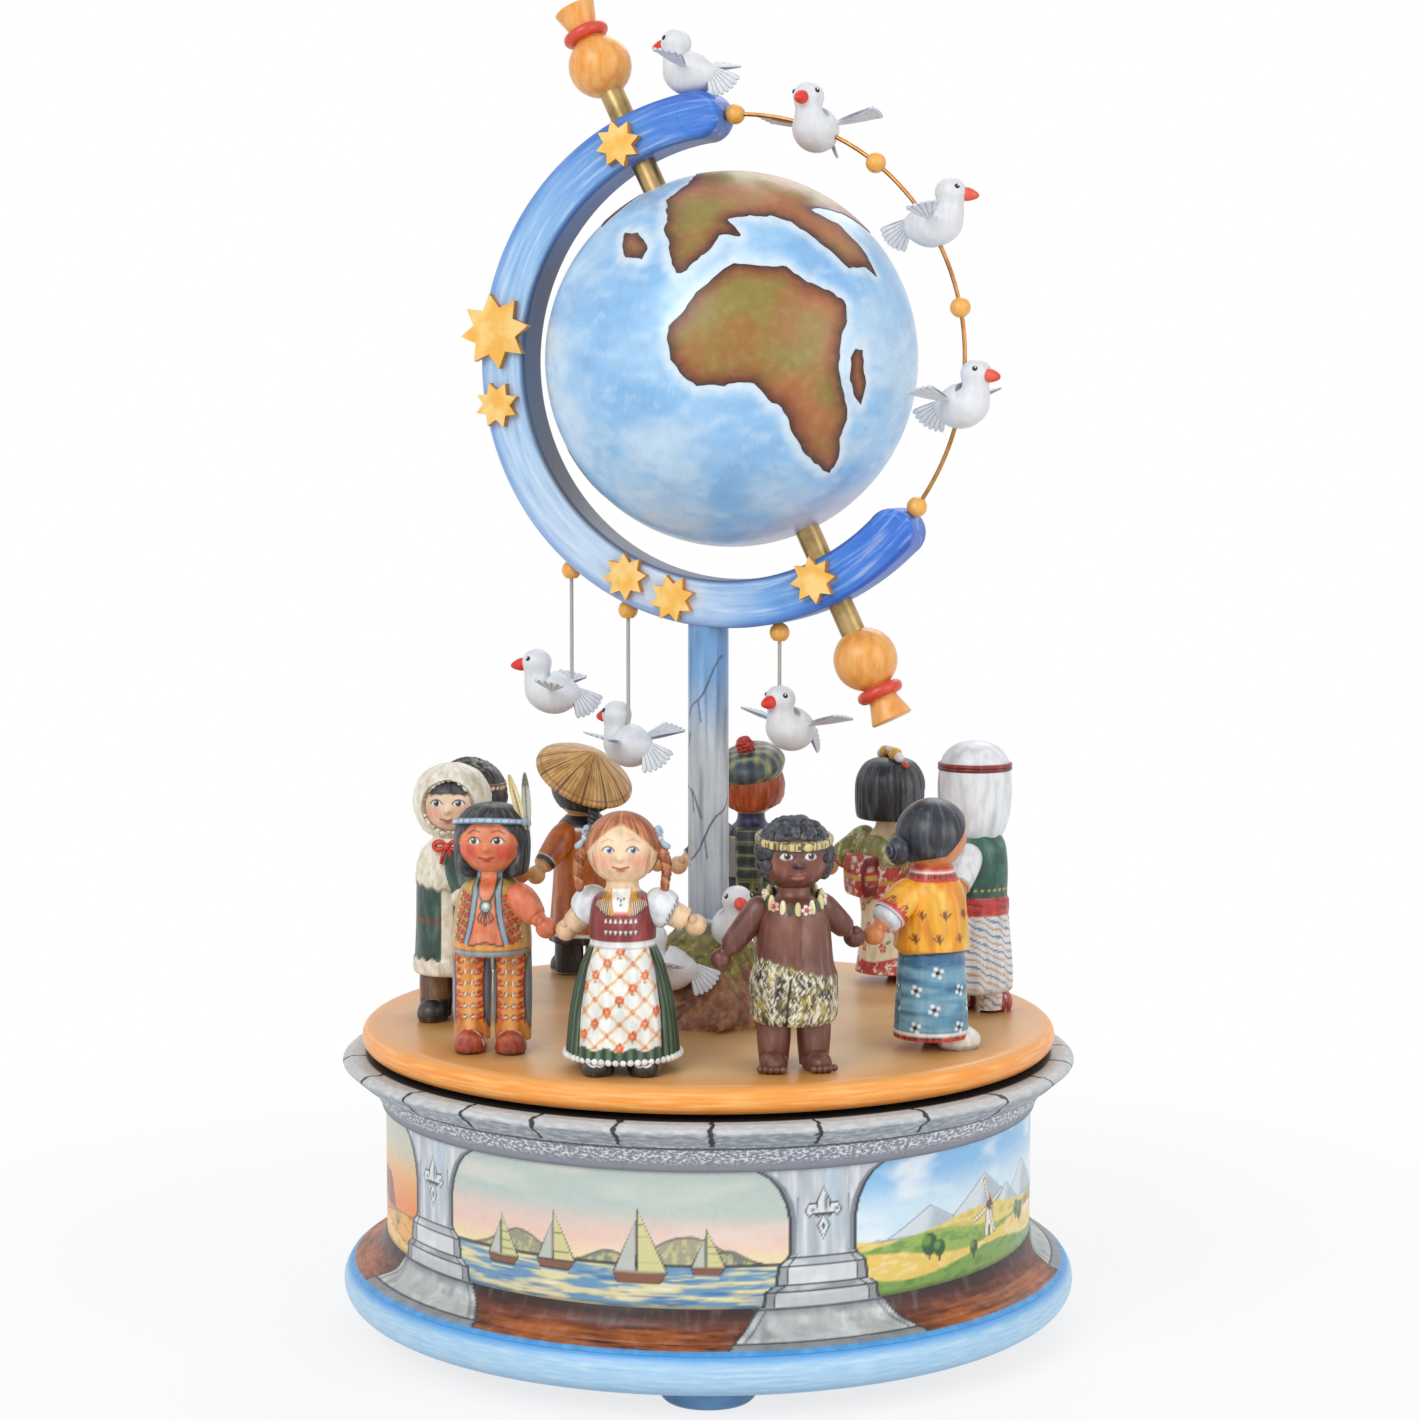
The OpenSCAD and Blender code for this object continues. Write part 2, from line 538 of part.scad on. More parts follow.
// A hanging dove is held off its middle, by this much along the crescent
HANG_S = [-6.4, 0, 3.4];
module hanging_dove(k) {
    color("White") translate(bead_place(k) - [0, 0, LINES[k] + dove_r]) {
        rotate(arc_turn) translate([HANG_S[k], 0, 0]) rotate(HANG_F[k] - arc_turn) {
            dove_body();
            dove_fans();
        }
        cylinder(r = wire_r, h = LINES[k] + dove_r);
    }
}
module hanging_dove_left() { hanging_dove(0); }
module hanging_dove_middle() { hanging_dove(1); }
module hanging_dove_right() { hanging_dove(2); }

// Children: shared pieces

module stand(i) { translate([place(i)[0], place(i)[1], deck_z]) rotate(CHILD_F[i] + 90) children(); }
module head_ball(z, extra = 0) { translate([0, 0, z]) sphere(r = head_r + extra); }
// One arm from a shoulder on the body towards the neighbour's hand
module arm(i, j, sh_r, sh_z, hand_z, sleeve, wrist) {
    p = place(i);
    d = place(j) - p;
    u = d / norm(d);
    q = p + u * (norm(d) / 2 - hand_r - hands_apart / 2);
    a = [p[0] + u[0] * sh_r, p[1] + u[1] * sh_r, deck_z + sh_z];
    b = [q[0], q[1], deck_z + hand_z];
    n = norm(b - a);
    aim(a, b) turned(concat([[0, -sleeve * 0.9]],
        smooth([[sleeve * 0.62, -sleeve * 0.75], [sleeve, 0], [sleeve, n * 0.3], [wrist + 0.7, n -
            hand_r - 1.6]], 3),
        [[wrist, n - hand_r - 1.4]], arc_pts([0, n], hand_r, -46, 84, 7), [[0, n + hand_r]]));
}
// Two arms, to the neighbour before and after, with a height for each hand
module arms(i, sh_r, sh_z, z_before, z_after, sleeve = 3.6, wrist = 2.1) {
    arm(i, i - 1, sh_r, sh_z, z_before, sleeve, wrist);
    arm(i, i + 1, sh_r, sh_z, z_after, sleeve, wrist);
}
module shoes(w, len, h, dy, tip = 0) {
    for (s = [-1, 1]) difference() {
        translate([s * w, dy, h * 0.35]) rotate(s * tip) rotate([90, 0, 0]) turned(egg(len, h * 0.75, 10));
        translate([-30, -30, -30]) cube([60, 60, 30]);
    }
}
module legs(w, r1, r2, z0, z1) { for (s = [-1, 1]) translate([s * w, 0, z0]) cylinder(r1 = r1, r2 = r2,
    h = z1 - z0); }
// Hair that covers the head except an oval for the face
module hair_shell(z, t, face_w, face_up, low) {
    difference() {
        head_ball(z, t);
        translate([0, 0, z + face_up]) rotate([90, 0, 0]) cylinder(r = face_w, h = 30);
        translate([-30, -30, z - low - 30]) cube([60, 60, 30]);
    }
}

// Apron girl

apron_head = 58.2;
module apron_core() { lathe([[apron_hem_r, 3.4], [apron_hem_r, 6], [apron_hem_r - 1.2, 17], [11.4, 27],
    [8.6, 33.6], [8.7, 39],
    [7.6, 45], [neck_r, 48], [neck_r, 53]], 3); }
module apron_girl_body() color("DarkGreen") stand(0) {
    difference() {
        union() {
            apron_core();
            shoes(6, 12, 6.4, -8, 8);
        }
        head_ball(apron_head, fit);
    }
}
module braid(s) {
    aim([s * head_r * 0.93, 0.5, apron_head - 1], [s * (head_r + 4.4), -1.5, apron_head - 10.5])
        turned(concat([[0, -2]],
        smooth([[1.3, -1.6], [2.5, 0.8], [1.7, 2.6], [2.4, 4.4], [1.6, 6.2], [2, 7.6], [0.9, 9.2]], 3),
            [[0, 11.4]]));
}
module apron_girl_head() color("NavajoWhite") stand(0) {
    head_ball(apron_head);
    hair_shell(apron_head, hair_t * 0.7, head_r * 0.8, -2.4, head_r * 0.75);
    for (s = [-1, 1]) braid(s);
}
module apron_girl_arms() color("White") difference() {
    arms(0, 9.5, 43, 35, 38, 4.9, 2.4);
    stand(0) apron_core();
}

// Curly boy with a fur skirt

curly_head = 56.6;
module curly_core() {
    lathe([[fur_skirt_r - 1, 13], [fur_skirt_r, 15], [fur_skirt_r, 24], [10.2, 30], [9.9, 34], [9.2,
        39], [7.4, 44], [neck_r, 46.5],
        [neck_r, 52]], 3);
    legs(5.3, 3.8, 4.6, 1, 16);
}
module curly_boy_body() color("SaddleBrown") stand(1) {
    difference() {
        union() {
            curly_core();
            shoes(5.6, 13, 5.6, -2.6, 14);
        }
        head_ball(curly_head, fit);
    }
}
module curly_boy_head() color("SaddleBrown") stand(1) {
    head_ball(curly_head);
    color("Black") hair_shell(curly_head, hair_t, head_r * 0.82, -3, head_r * 0.5);
}
module curly_boy_arms() color("SaddleBrown") difference() {
    arms(1, 9, 42.4, 29, 33, 3.6, 2.3);
    stand(1) curly_core();
}

// Blouse girl

blouse_head = 58.4;
module blouse_core() {
    lathe([[blouse_skirt_r, 3.6], [blouse_skirt_r - 0.3, 10], [blouse_skirt_r - 1, 22], [blouse_skirt_r
        - 1.2, 27], [10.2, 28.6],
        [9.8, 36], [8.6, 43], [neck_r, 48], [neck_r, 53]], 3);
}
module blouse_girl_body() color("Goldenrod") stand(2) {
    difference() {
        union() {
            blouse_core();
            shoes(4.6, 13, 6, -6, 6);
        }
        head_ball(blouse_head, fit);
    }
}
module blouse_girl_head() color("Tan") stand(2) {
    head_ball(blouse_head);
    hair_shell(blouse_head, hair_t * 0.7, head_r * 0.84, -1.6, head_r * 0.62);
    translate([0, head_r + 1.6, blouse_head - 3.6]) sphere(r = 4);
}
module blouse_girl_arms() color("Goldenrod") difference() {
    arms(2, 8.6, 43, 33, 34, 4.3, 2.4);
    stand(2) blouse_core();
}

// Headcloth boy

cloth_head = 66;
module cloth_core() {
    lathe([[robe_r - 1.6, 6], [robe_r, 8], [robe_r - 0.3, 18], [robe_r - 1.6, 29], [9.6, 34], [9.7,
        42], [8.8, 49], [6.4, 53.5], [neck_r, 56],
        [neck_r, 60]], 3);
    legs(5, 3.6, 3.6, 1, 9);
}
module headcloth_boy_body() color("SeaGreen") stand(3) {
    difference() {
        union() {
            cloth_core();
            shoes(5.2, 13, 6.6, -4, 10);
        }
        head_ball(cloth_head, fit);
        cloth_shape();
    }
}
module cloth_shape() { translate([0, 0, cloth_head]) lathe([[9.4, -15.5], [10.4, -14], [10.6, -6],
    [10.7, 2], [9.6, 7.4], [6.4, 11], [2, 12.4]], 3); }
module headcloth_boy_head() color("White") stand(3) {
    head_ball(cloth_head);
    difference() {
        cloth_shape();
        translate([0, -4, cloth_head - 3.4]) rotate([90, 0, 0]) cylinder(r = 7.2, h = 30);
    }
    cloth_band();
}
module cloth_band() { translate([0, 0, cloth_head + 5.6]) rotate_extrude() translate([10.1, 0])
    circle(r = 1.3); }
module headcloth_boy_arms() color("White") difference() {
    arms(3, 8.6, 46, 37, 38, 4.2, 2.4);
    stand(3) {
        cloth_core();
        cloth_shape();
    }
}

// Kimono girl

kimono_head = 58.4;
module kimono_core() {
    lathe([[kimono_hem_r, 3.2], [kimono_hem_r - 0.6, 6], [9, 18], [9.3, 27], [9.6, 35], [8.4, 43],
        [neck_r, 48], [neck_r, 53]], 3);
}
module kimono_girl_body() color("Beige") stand(4) {
    difference() {
        union() {
            kimono_core();
            shoes(4.4, 11, 5.6, -6, 0);
        }
        head_ball(kimono_head, fit);
    }
    color("Crimson") difference() {
        translate([-7.4, 5, 27]) cube([14.8, 8.4, 12.6]);
        kimono_core();
    }
}
module bob() { translate([0, 0, kimono_head]) lathe([[8.8, -8.4], [10.3, -7.4], [10.8, -2], [10.4, 4],
    [8, 8.4], [4.4, 10.2], [1, 10.6]], 3); }
module kimono_girl_head() color("DimGray") stand(4) {
    head_ball(kimono_head);
    difference() {
        bob();
        kimono_core();
        translate([0, -4, kimono_head - 3]) rotate([90, 0, 0]) cylinder(r = 6.8, h = 30);
    }
    for (s = [-1, 1]) translate([s * 3.7, 0, kimono_head + 11.6]) sphere(r = 2.1);
    translate([-2.2, 0, kimono_head + 11.5]) rotate([0, 90, 0]) cylinder(r = 1.1, h = 4.4);
}
module kimono_girl_arms() color("OliveDrab") difference() {
    arms(4, 8.4, 43, 34, 34, 4.6, 3);
    stand(4) {
        kimono_core();
        translate([-7.4, 5, 27]) cube([14.8, 8.4, 12.6]);
    }
}

// Tam boy

tam_head = 57.4;
module tam_core() {
    lathe([[10.2, 15], [10.6, 17], [9.8, 25], [8.8, 29], [9.2, 37], [8.2, 43], [neck_r, 47], [neck_r,
        52]], 3);
    legs(4.8, 3.7, 3.9, 1, 18);
}
module tam_boy_body() color("SlateGray") stand(5) {
    difference() {
        union() {
            tam_core();
            shoes(5.2, 12, 6, -3, 8);
        }
        head_ball(tam_head, fit);
    }
    color("DarkSlateGray") difference() {
        translate([-5, 3, 25]) rotate([-4, 0, 0]) cube([8.4, 8.2, 20]);
        tam_core();
    }
}
module tam_tilt() { translate([0, 0, tam_head + 4.8]) rotate([-22, 10, 0]) children(); }
module tam_hat() { tam_tilt() lathe([[8.2, -1.6], [10.4, -0.2], [tam_r, 2.2], [tam_r - 1.6, 5], [6.4,
    6.9], [1, 7.4]], 3); }
module tam_boy_head() color("DarkSlateGray") stand(5) {
    head_ball(tam_head);
    hair_shell(tam_head, hair_t, head_r * 0.8, -2, head_r * 0.6);
    tam_hat();
    tam_tilt() translate([0, 0, 9.2]) sphere(r = 3);
}
module tam_boy_arms() color("SlateGray") difference() {
    arms(5, 8.2, 42.6, 33, 33, 4, 2.4);
    stand(5) {
        tam_core();
        translate([-5, 3, 25]) rotate([-4, 0, 0]) cube([8.4, 8.2, 20]);
    }
}

// Straw hat child

straw_head = 58;
module straw_core() {
    lathe([[11, 10.4], [11, 12.6], [10.2, 22], [9.4, 32], [9.6, 40], [8.4, 46], [5.4, 49.5], [neck_r,
        50.5], [neck_r, 54]], 3);
    legs(5, 4.2, 4.2, 1, 13);
}
module straw_hat_child_body() color("Chocolate") stand(6) {
    difference() {
        union() {
            straw_core();
            shoes(5.2, 12, 6.4, -3, 6);
        }
        head_ball(straw_head, fit);
    }
}
module straw_tilt() { translate([0, 0.6, straw_head + 3.8]) rotate([-24, 0, 0]) children(); }
module straw_cone(lift) { straw_tilt() turned([[0, lift], [straw_hat_r, lift], [straw_hat_r, lift +
    0.6], [1, 11.6], [0, 11.8]]); }
module queue_tail() { aim([0, head_r - 0.5, straw_head - 3], [1.5, head_r + 3.6, straw_head - 17])
    turned(concat([[0, -1.5]],
    smooth([[1.4, -1.2], [2.1, 1], [1.5, 3], [2, 5], [1.5, 7], [1.8, 9], [1.2, 11.4], [1.5, 13.6]], 3),
        [[0, 15.6]])); }
module straw_hat_child_head() color("BurlyWood") stand(6) {
    head_ball(straw_head);
    hair_shell(straw_head, hair_t, head_r * 0.78, -2.6, head_r * 0.66);
    difference() {
        straw_cone(-0.4);
        straw_tilt() turned([[0, -1], [straw_hat_r - 0.9, -1], [straw_hat_r - 0.9, -0.39], [0, 9.4]]);
    }
    queue_tail();
}
module straw_hat_child_arms() color("Chocolate") difference() {
    arms(6, 8.4, 44, 34, 33, 4.2, 2.4);
    stand(6) {
        straw_core();
        queue_tail();
    }
}

// Beaded child, mostly hidden in the ring

beaded_head = 60;
module beaded_core() {
    lathe([[10.4, 9], [10.8, 11], [9.8, 24], [9, 32], [9.2, 40], [8, 46], [neck_r, 50], [neck_r, 54]], 3);
    legs(4.8, 4, 4, 1, 12);
}
module beaded_child_body() color("Sienna") {
    stand(7) {
        difference() {
            union() {
                beaded_core();
                shoes(5, 12, 6, -3, 8);
            }
            head_ball(beaded_head, fit);
        }
    }
    difference() {
        arms(7, 8.4, 44, 34, 35, 4, 2.4);
        stand(7) beaded_core();
    }
}
module beaded_child_head() color("Peru") stand(7) {
    head_ball(beaded_head);
    color("Black") hair_shell(beaded_head, hair_t + 0.9, head_r * 0.8, -2.6, head_r * 0.6);
}

// Fur hood child

hood_head = 62.2;
module hood_core() {
    lathe([[10.6, 14], [11, 16.4], [10.5, 28], [10.2, 38], [9.4, 45.6], [7, 50.6], [neck_r + 1, 52.2],
        [neck_r + 1, 56.6]], 3);
    legs(5, 4.4, 4.6, 1, 17);
}
module hood_child_body() color("SeaGreen") stand(8) {
    difference() {
        union() {
            hood_core();
            shoes(5.4, 12.5, 6.4, -3, 6);
        }
        head_ball(hood_head, fit);
        hood_shape();
    }
}
module hood_shape() { translate([0, 0.6, hood_head]) lathe([[5.6, -9.6], [9, -6.9], [hood_r, -1],
    [hood_r - 0.7, 4.6], [7.8, 8.7], [3.6, 10.9], [0.6, 11.4]], 3); }
module hood_child_head() color("Ivory") stand(8) {
    head_ball(hood_head);
    difference() {
        hood_shape();
        translate([0, 0, hood_head - 0.6]) rotate([90, 0, 0]) cylinder(r = 7.6, h = 30);
    }
}
module hood_child_arms() color("SeaGreen") difference() {
    arms(8, 8.6, 46, 32, 33, 4.4, 2.4);
    stand(8) {
        hood_core();
        hood_shape();
    }
}

// Feather boy

feather_head = 57.4;
module feather_core() {
    lathe([[9.6, 27], [10.6, 28], [10.6, 33], [9.8, 40], [8, 45], [neck_r, 48], [neck_r, 52]], 3);
    legs(5.6, 4.9, 5.1, 3.4, 32);
}
module feather_boy_body() color("Goldenrod") stand(9) {
    difference() {
        union() {
            feather_core();
            shoes(5.4, 13, 6.4, -3, 8);
        }
        head_ball(feather_head, fit);
    }
}
module head_band() { translate([0, 0, feather_head + 4.6]) rotate([-10, 0, 0]) cylinder(r = head_r +
    0.6, h = 2.4, center = true); }
module long_hair() { translate([0, 1.2, feather_head]) lathe([[7.6, -12], [9.8, -10.6], [10.4, -4],
    [10.3, 1], [9.4, 5.4], [6, 9], [1, 10.2]], 3); }
module feather_boy_head() color("DimGray") stand(9) {
    head_ball(feather_head);
    difference() {
        long_hair();
        feather_core();
        translate([0, 0, feather_head - 4.4]) rotate([90, 0, 0]) cylinder(r = 7.6, h = 30);
        translate([-20, -25.5, feather_head - 30]) cube([40, 24, 30]);
    }
    head_band();
    feather_blades();
}
module feather_blades() {
    for (p = [[-2.4, -8], [2.2, 7]]) translate([p[0], head_r + 1.2, feather_head + 3]) rotate([0, p[1],
        0]) rotate([90, 0, 0])
        translate([0, 0, -p[0] * 0.3]) linear_extrude(0.9) polygon(concat([[-0.9, -2], [0.9, -2]],
            smooth([[1.9, 5], [2.1, 10], [0, 14]], 4), [[-2.1, 10], [-1.9, 5]]));
}
module feather_boy_arms() color("Chocolate") difference() {
    arms(9, 9, 42.5, 33, 35, 4.2, 2.3);
    stand(9) {
        feather_core();
        long_hair();
    }
}

base_plate();
feet();
drum();
cornice();
screws();
turntable_bush();
movement_bedplate();
comb();
governor_case();
governor_fan();
winding_arbor();
winding_key();
spring_barrel();
pinned_cylinder();
drive_shaft();
turntable_disc();
root_mound();
pole();
meridian_arc();
arc_stars();
globe();
globe_axle();
finials();
finial_collars();
dove_wire();
wire_beads();
dove_bodies();
dove_wings();
hanging_dove_left();
hanging_dove_middle();
hanging_dove_right();
apron_girl_body();
apron_girl_head();
apron_girl_arms();
curly_boy_body();
curly_boy_head();
curly_boy_arms();
blouse_girl_body();
blouse_girl_head();
blouse_girl_arms();
headcloth_boy_body();
headcloth_boy_head();
headcloth_boy_arms();
kimono_girl_body();
kimono_girl_head();
kimono_girl_arms();
tam_boy_body();
tam_boy_head();
tam_boy_arms();
straw_hat_child_body();
straw_hat_child_head();
straw_hat_child_arms();
beaded_child_body();
beaded_child_head();
hood_child_body();
hood_child_head();
hood_child_arms();
feather_boy_body();
feather_boy_head();
feather_boy_arms();
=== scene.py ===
"""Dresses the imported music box: drum and cornice, a turning disc with ten children, a globe and doves."""

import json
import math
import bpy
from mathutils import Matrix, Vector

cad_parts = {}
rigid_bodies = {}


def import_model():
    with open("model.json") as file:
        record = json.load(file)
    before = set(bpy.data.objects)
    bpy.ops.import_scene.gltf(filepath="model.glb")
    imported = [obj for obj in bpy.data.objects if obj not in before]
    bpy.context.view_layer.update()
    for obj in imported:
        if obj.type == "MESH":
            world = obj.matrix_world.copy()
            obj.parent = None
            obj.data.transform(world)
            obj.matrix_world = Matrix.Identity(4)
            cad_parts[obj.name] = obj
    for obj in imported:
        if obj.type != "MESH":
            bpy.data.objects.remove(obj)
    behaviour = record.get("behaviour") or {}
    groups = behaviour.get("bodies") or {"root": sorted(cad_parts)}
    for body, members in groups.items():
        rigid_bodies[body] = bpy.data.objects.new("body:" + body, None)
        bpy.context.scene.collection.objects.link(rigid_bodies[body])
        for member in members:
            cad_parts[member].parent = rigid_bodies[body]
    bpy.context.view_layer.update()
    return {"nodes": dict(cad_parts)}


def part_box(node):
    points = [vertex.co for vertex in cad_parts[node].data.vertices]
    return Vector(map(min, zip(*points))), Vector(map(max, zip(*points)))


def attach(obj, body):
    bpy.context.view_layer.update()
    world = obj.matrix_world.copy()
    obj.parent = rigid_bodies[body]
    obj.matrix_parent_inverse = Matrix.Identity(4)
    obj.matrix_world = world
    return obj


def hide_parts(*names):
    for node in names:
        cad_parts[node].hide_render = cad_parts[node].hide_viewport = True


bl_info = {
    "name": "Globe music box",
    "version": (1, 0, 0),
    "blender": (4, 5, 0),
    "location": "View3D > Sidebar > Music Box",
    "description": "Paints and dresses a turning music box with a globe, doves and ten children",
    "category": "Object",
}

import bpy
import mathutils
import numpy as np

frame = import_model()
NODES = frame["nodes"]
MM = 0.001
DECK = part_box("turntable_disc")[1].z / MM
DRUM_FOOT, DRUM_HEAD = (corner.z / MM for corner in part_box("drum"))
DRUM_R, COVE_H, PLATE_R, PLATE_T = 92.5, 7.5, 105.0, 13.2
GLOBE_R, GLOBE_Z, ARC_OFF, ARC_TURN = 52.5, 274.25, 7.06, math.radians(-21.6)
ARC_D, AXLE_TILT = 14.0, math.radians(25.7)
ARC_START, ARC_SPAN = math.radians(-83), math.radians(218.6)
GLOBE_AT = np.array([ARC_OFF * math.cos(ARC_TURN), ARC_OFF * math.sin(ARC_TURN), GLOBE_Z])


# Colour and noise


def tone(code):
    """Linear colour from six hex digits."""
    c = np.array([int(code[k : k + 2], 16) / 255 for k in (0, 2, 4)])
    return np.where(c <= 0.04045, c / 12.92, ((c + 0.055) / 1.055) ** 2.4)


def rise(lo, hi, v):
    """Smooth step from 0 at lo to 1 at hi."""
    t = np.clip((v - lo) / (hi - lo), 0, 1)
    return t * t * (3 - 2 * t)


def fall(lo, hi, v):
    """Smooth step from 1 at lo to 0 at hi."""
    return 1 - rise(lo, hi, v)


def mottle(p, size, seed=0, octaves=3):
    """Smooth noise from 0 to 1 at the points p, in lumps of about the given size."""
    total, weight, amp = 0.0, 0.0, 1.0
    for o in range(octaves):
        q = np.asarray(p) / size * 2**o + seed * 17.31 + o * 5.17
        i = np.floor(q).astype(np.int64)
        f = q - i
        f = f * f * (3 - 2 * f)
        acc = 0.0
        for corner in np.ndindex(*(2,) * q.shape[-1]):
            d = np.array(corner)
            n = ((i + d) * np.array([73856093, 19349663, 83492791])[: q.shape[-1]]).sum(-1)
            n = (n ^ (n >> 13)) * 1274126177 & 0xFFFFFF
            acc = acc + (n % 10007) / 10006 * np.where(d == 1, f, 1 - f).prod(-1)
        total, weight, amp = total + amp * acc, weight + amp, amp * 0.5
    return total / weight


def marks(u, v, su, sv, lump, seed):
    """Brush marks: noise stretched over a canvas."""
    return mottle(np.stack([u * su, v * sv, u * 0], -1), lump, seed)


class Canvas:
    """Paint on a surface, with u and v in millimetres across it; only masks what is painted next."""

    def __init__(self, u, v, base):
        self.u, self.v = np.broadcast_arrays(np.asarray(u, float), np.asarray(v, float))
        self.c = np.ones(self.u.shape + (3,)) * tone(base)
        self.only = 1.0

    def put(self, mask, colour, much=1.0):
        ink = tone(colour) if isinstance(colour, str) else colour
        self.c += (ink - self.c) * (np.clip(mask * self.only, 0, 1) * much)[..., None]
        return self

    def fill(self, colour):
        return self.put(1.0, colour)

    def strokes(self, v, *tints, on=1.0):
        """Tints that come in as v goes from the first number to the second."""
        for lo, hi, colour, much in tints:
            self.put(on * rise(lo, hi, v), colour, much)
        return self

    def band(self, lo, hi, colour, soft=0.2, much=1.0):
        return self.put(rise(lo - soft, lo + soft, self.v) * fall(hi - soft, hi + soft, self.v),
            colour, much)

    def oval(self, u0, v0, ru, rv, colour, soft=0.2, turn=0.0, much=1.0):
        du, dv = self.u - u0, self.v - v0
        c, s = math.cos(turn), math.sin(turn)
        d = (np.hypot((du * c + dv * s) / ru, (dv * c - du * s) / rv) - 1) * min(ru, rv)
        return self.put(fall(-soft, soft, d), colour, much)

    def line(self, points, width, colour, soft=0.12, much=1.0):
        d = np.full(self.u.shape, 1e9)
        for (au, av), (bu, bv) in zip(points, points[1:]):
            eu, ev = bu - au, bv - av
            t = np.clip(((self.u - au) * eu + (self.v - av) * ev) / (eu * eu + ev * ev + 1e-9), 0, 1)
            d = np.minimum(d, np.hypot(self.u - au - t * eu, self.v - av - t * ev))
        return self.put(fall(width / 2 - soft, width / 2 + soft, d), colour, much)

    def blob(self, points, colour, soft=0.2, much=1.0):
        """A filled outline through the points, with a soft edge."""
        inside = np.zeros(self.u.shape, bool)
        d = np.full(self.u.shape, 1e9)
        for (au, av), (bu, bv) in zip(points, points[1:] + points[:1]):
            eu, ev = bu - au, bv - av
            t = np.clip(((self.u - au) * eu + (self.v - av) * ev) / (eu * eu + ev * ev + 1e-9), 0, 1)
            d = np.minimum(d, np.hypot(self.u - au - t * eu, self.v - av - t * ev))
            crosses = (av > self.v) != (bv > self.v)
            inside ^= crosses & (self.u < eu * (self.v - av) / (ev if ev else 1e-9) + au)
        return self.put(fall(-soft, soft, np.where(inside, -d, d)), colour, much)

    def dots(self, v0, pitch, r, colour, u0=0.0, lo=-1e9, hi=1e9):
        k = np.round((self.u - u0) / pitch)
        here = k * pitch + u0
        d = np.hypot(self.u - here, self.v - v0)
        return self.put(fall(r - 0.15, r + 0.15, d) * (here >= lo) * (here <= hi), colour)

    def flower(self, u0, v0, r, petal, heart, n=5):
        for k in range(n):
            a = 2 * math.pi * k / n + 0.3
            self.oval(u0 + r * math.cos(a), v0 + r * math.sin(a), r * 0.55, r * 0.55, petal, 0.12)
        return self.oval(u0, v0, r * 0.5, r * 0.5, heart, 0.12)


# Meshes


def curve(points, step=0.4, smooth=True):
    """Points about a step apart on a path through the given ones."""
    p = np.array(points, float)
    if smooth and len(p) > 2:
        q = np.vstack([2 * p[0] - p[1], p, 2 * p[-1] - p[-2]])
        t = np.linspace(0, 1, 9)[:-1][:, None]
        parts = []
        for k in range(len(p) - 1):
            a, b, c, d = q[k : k + 4]
            parts.append(0.5 * (2 * b + (c - a) * t + (2 * a - 5 * b + 4 * c - d) * t**2
                + (3 * b - a - 3 * c + d) * t**3))
        p = np.vstack(parts + [p[-1:]])
    gone = np.r_[0, np.cumsum(np.linalg.norm(np.diff(p, axis=0), axis=1))]
    s = np.linspace(0, gone[-1], max(int(gone[-1] / step) + 1, 3))
    return np.stack([np.interp(s, gone, p[:, k]) for k in range(p.shape[1])], 1)


def ring_angles(cols, front=0.0):
    """Angles round a turned piece from its front, closer together there where front is above 0."""
    t = np.linspace(-math.pi, math.pi, cols, endpoint=False)
    return t - front * np.sin(t)


def turn_points(a, r, z):
    """Points of a turned shape: angle from the front, radius and height."""
    a, r, z = np.broadcast_arrays(a, r, z)
    return np.stack([r * np.sin(a), -r * np.cos(a), z], -1)


def to_axis(p, start, end):
    """Moves points from the Z axis to the line from start to end."""
    start, end = np.array(start, float), np.array(end, float)
    w = (end - start) / np.linalg.norm(end - start)
    side = np.cross(w, [0, 0, 1.0]) if abs(w[2]) < 0.99 else np.array([1.0, 0, 0])
    side /= np.linalg.norm(side)
    up = np.cross(side, w)
    return start + p[..., :1] * side - p[..., 1:2] * up + p[..., 2:] * w


def turned_about(p, axis, degrees):
    """Points turned about an axis through the origin."""
    k = np.array(axis, float) / np.linalg.norm(axis)
    c, s = math.cos(math.radians(degrees)), math.sin(math.radians(degrees))
    return p * c + np.cross(k, p) * s + (p @ k)[..., None] * k * (1 - c)


def seat(x, y, z, tip=0.0, lean=0.0):
    """Tips a form about X, leans it about Y and moves it to its place."""
    return lambda p: turned_about(turned_about(p, (1, 0, 0), tip), (0, 1, 0), lean) + np.array([x, y, z])


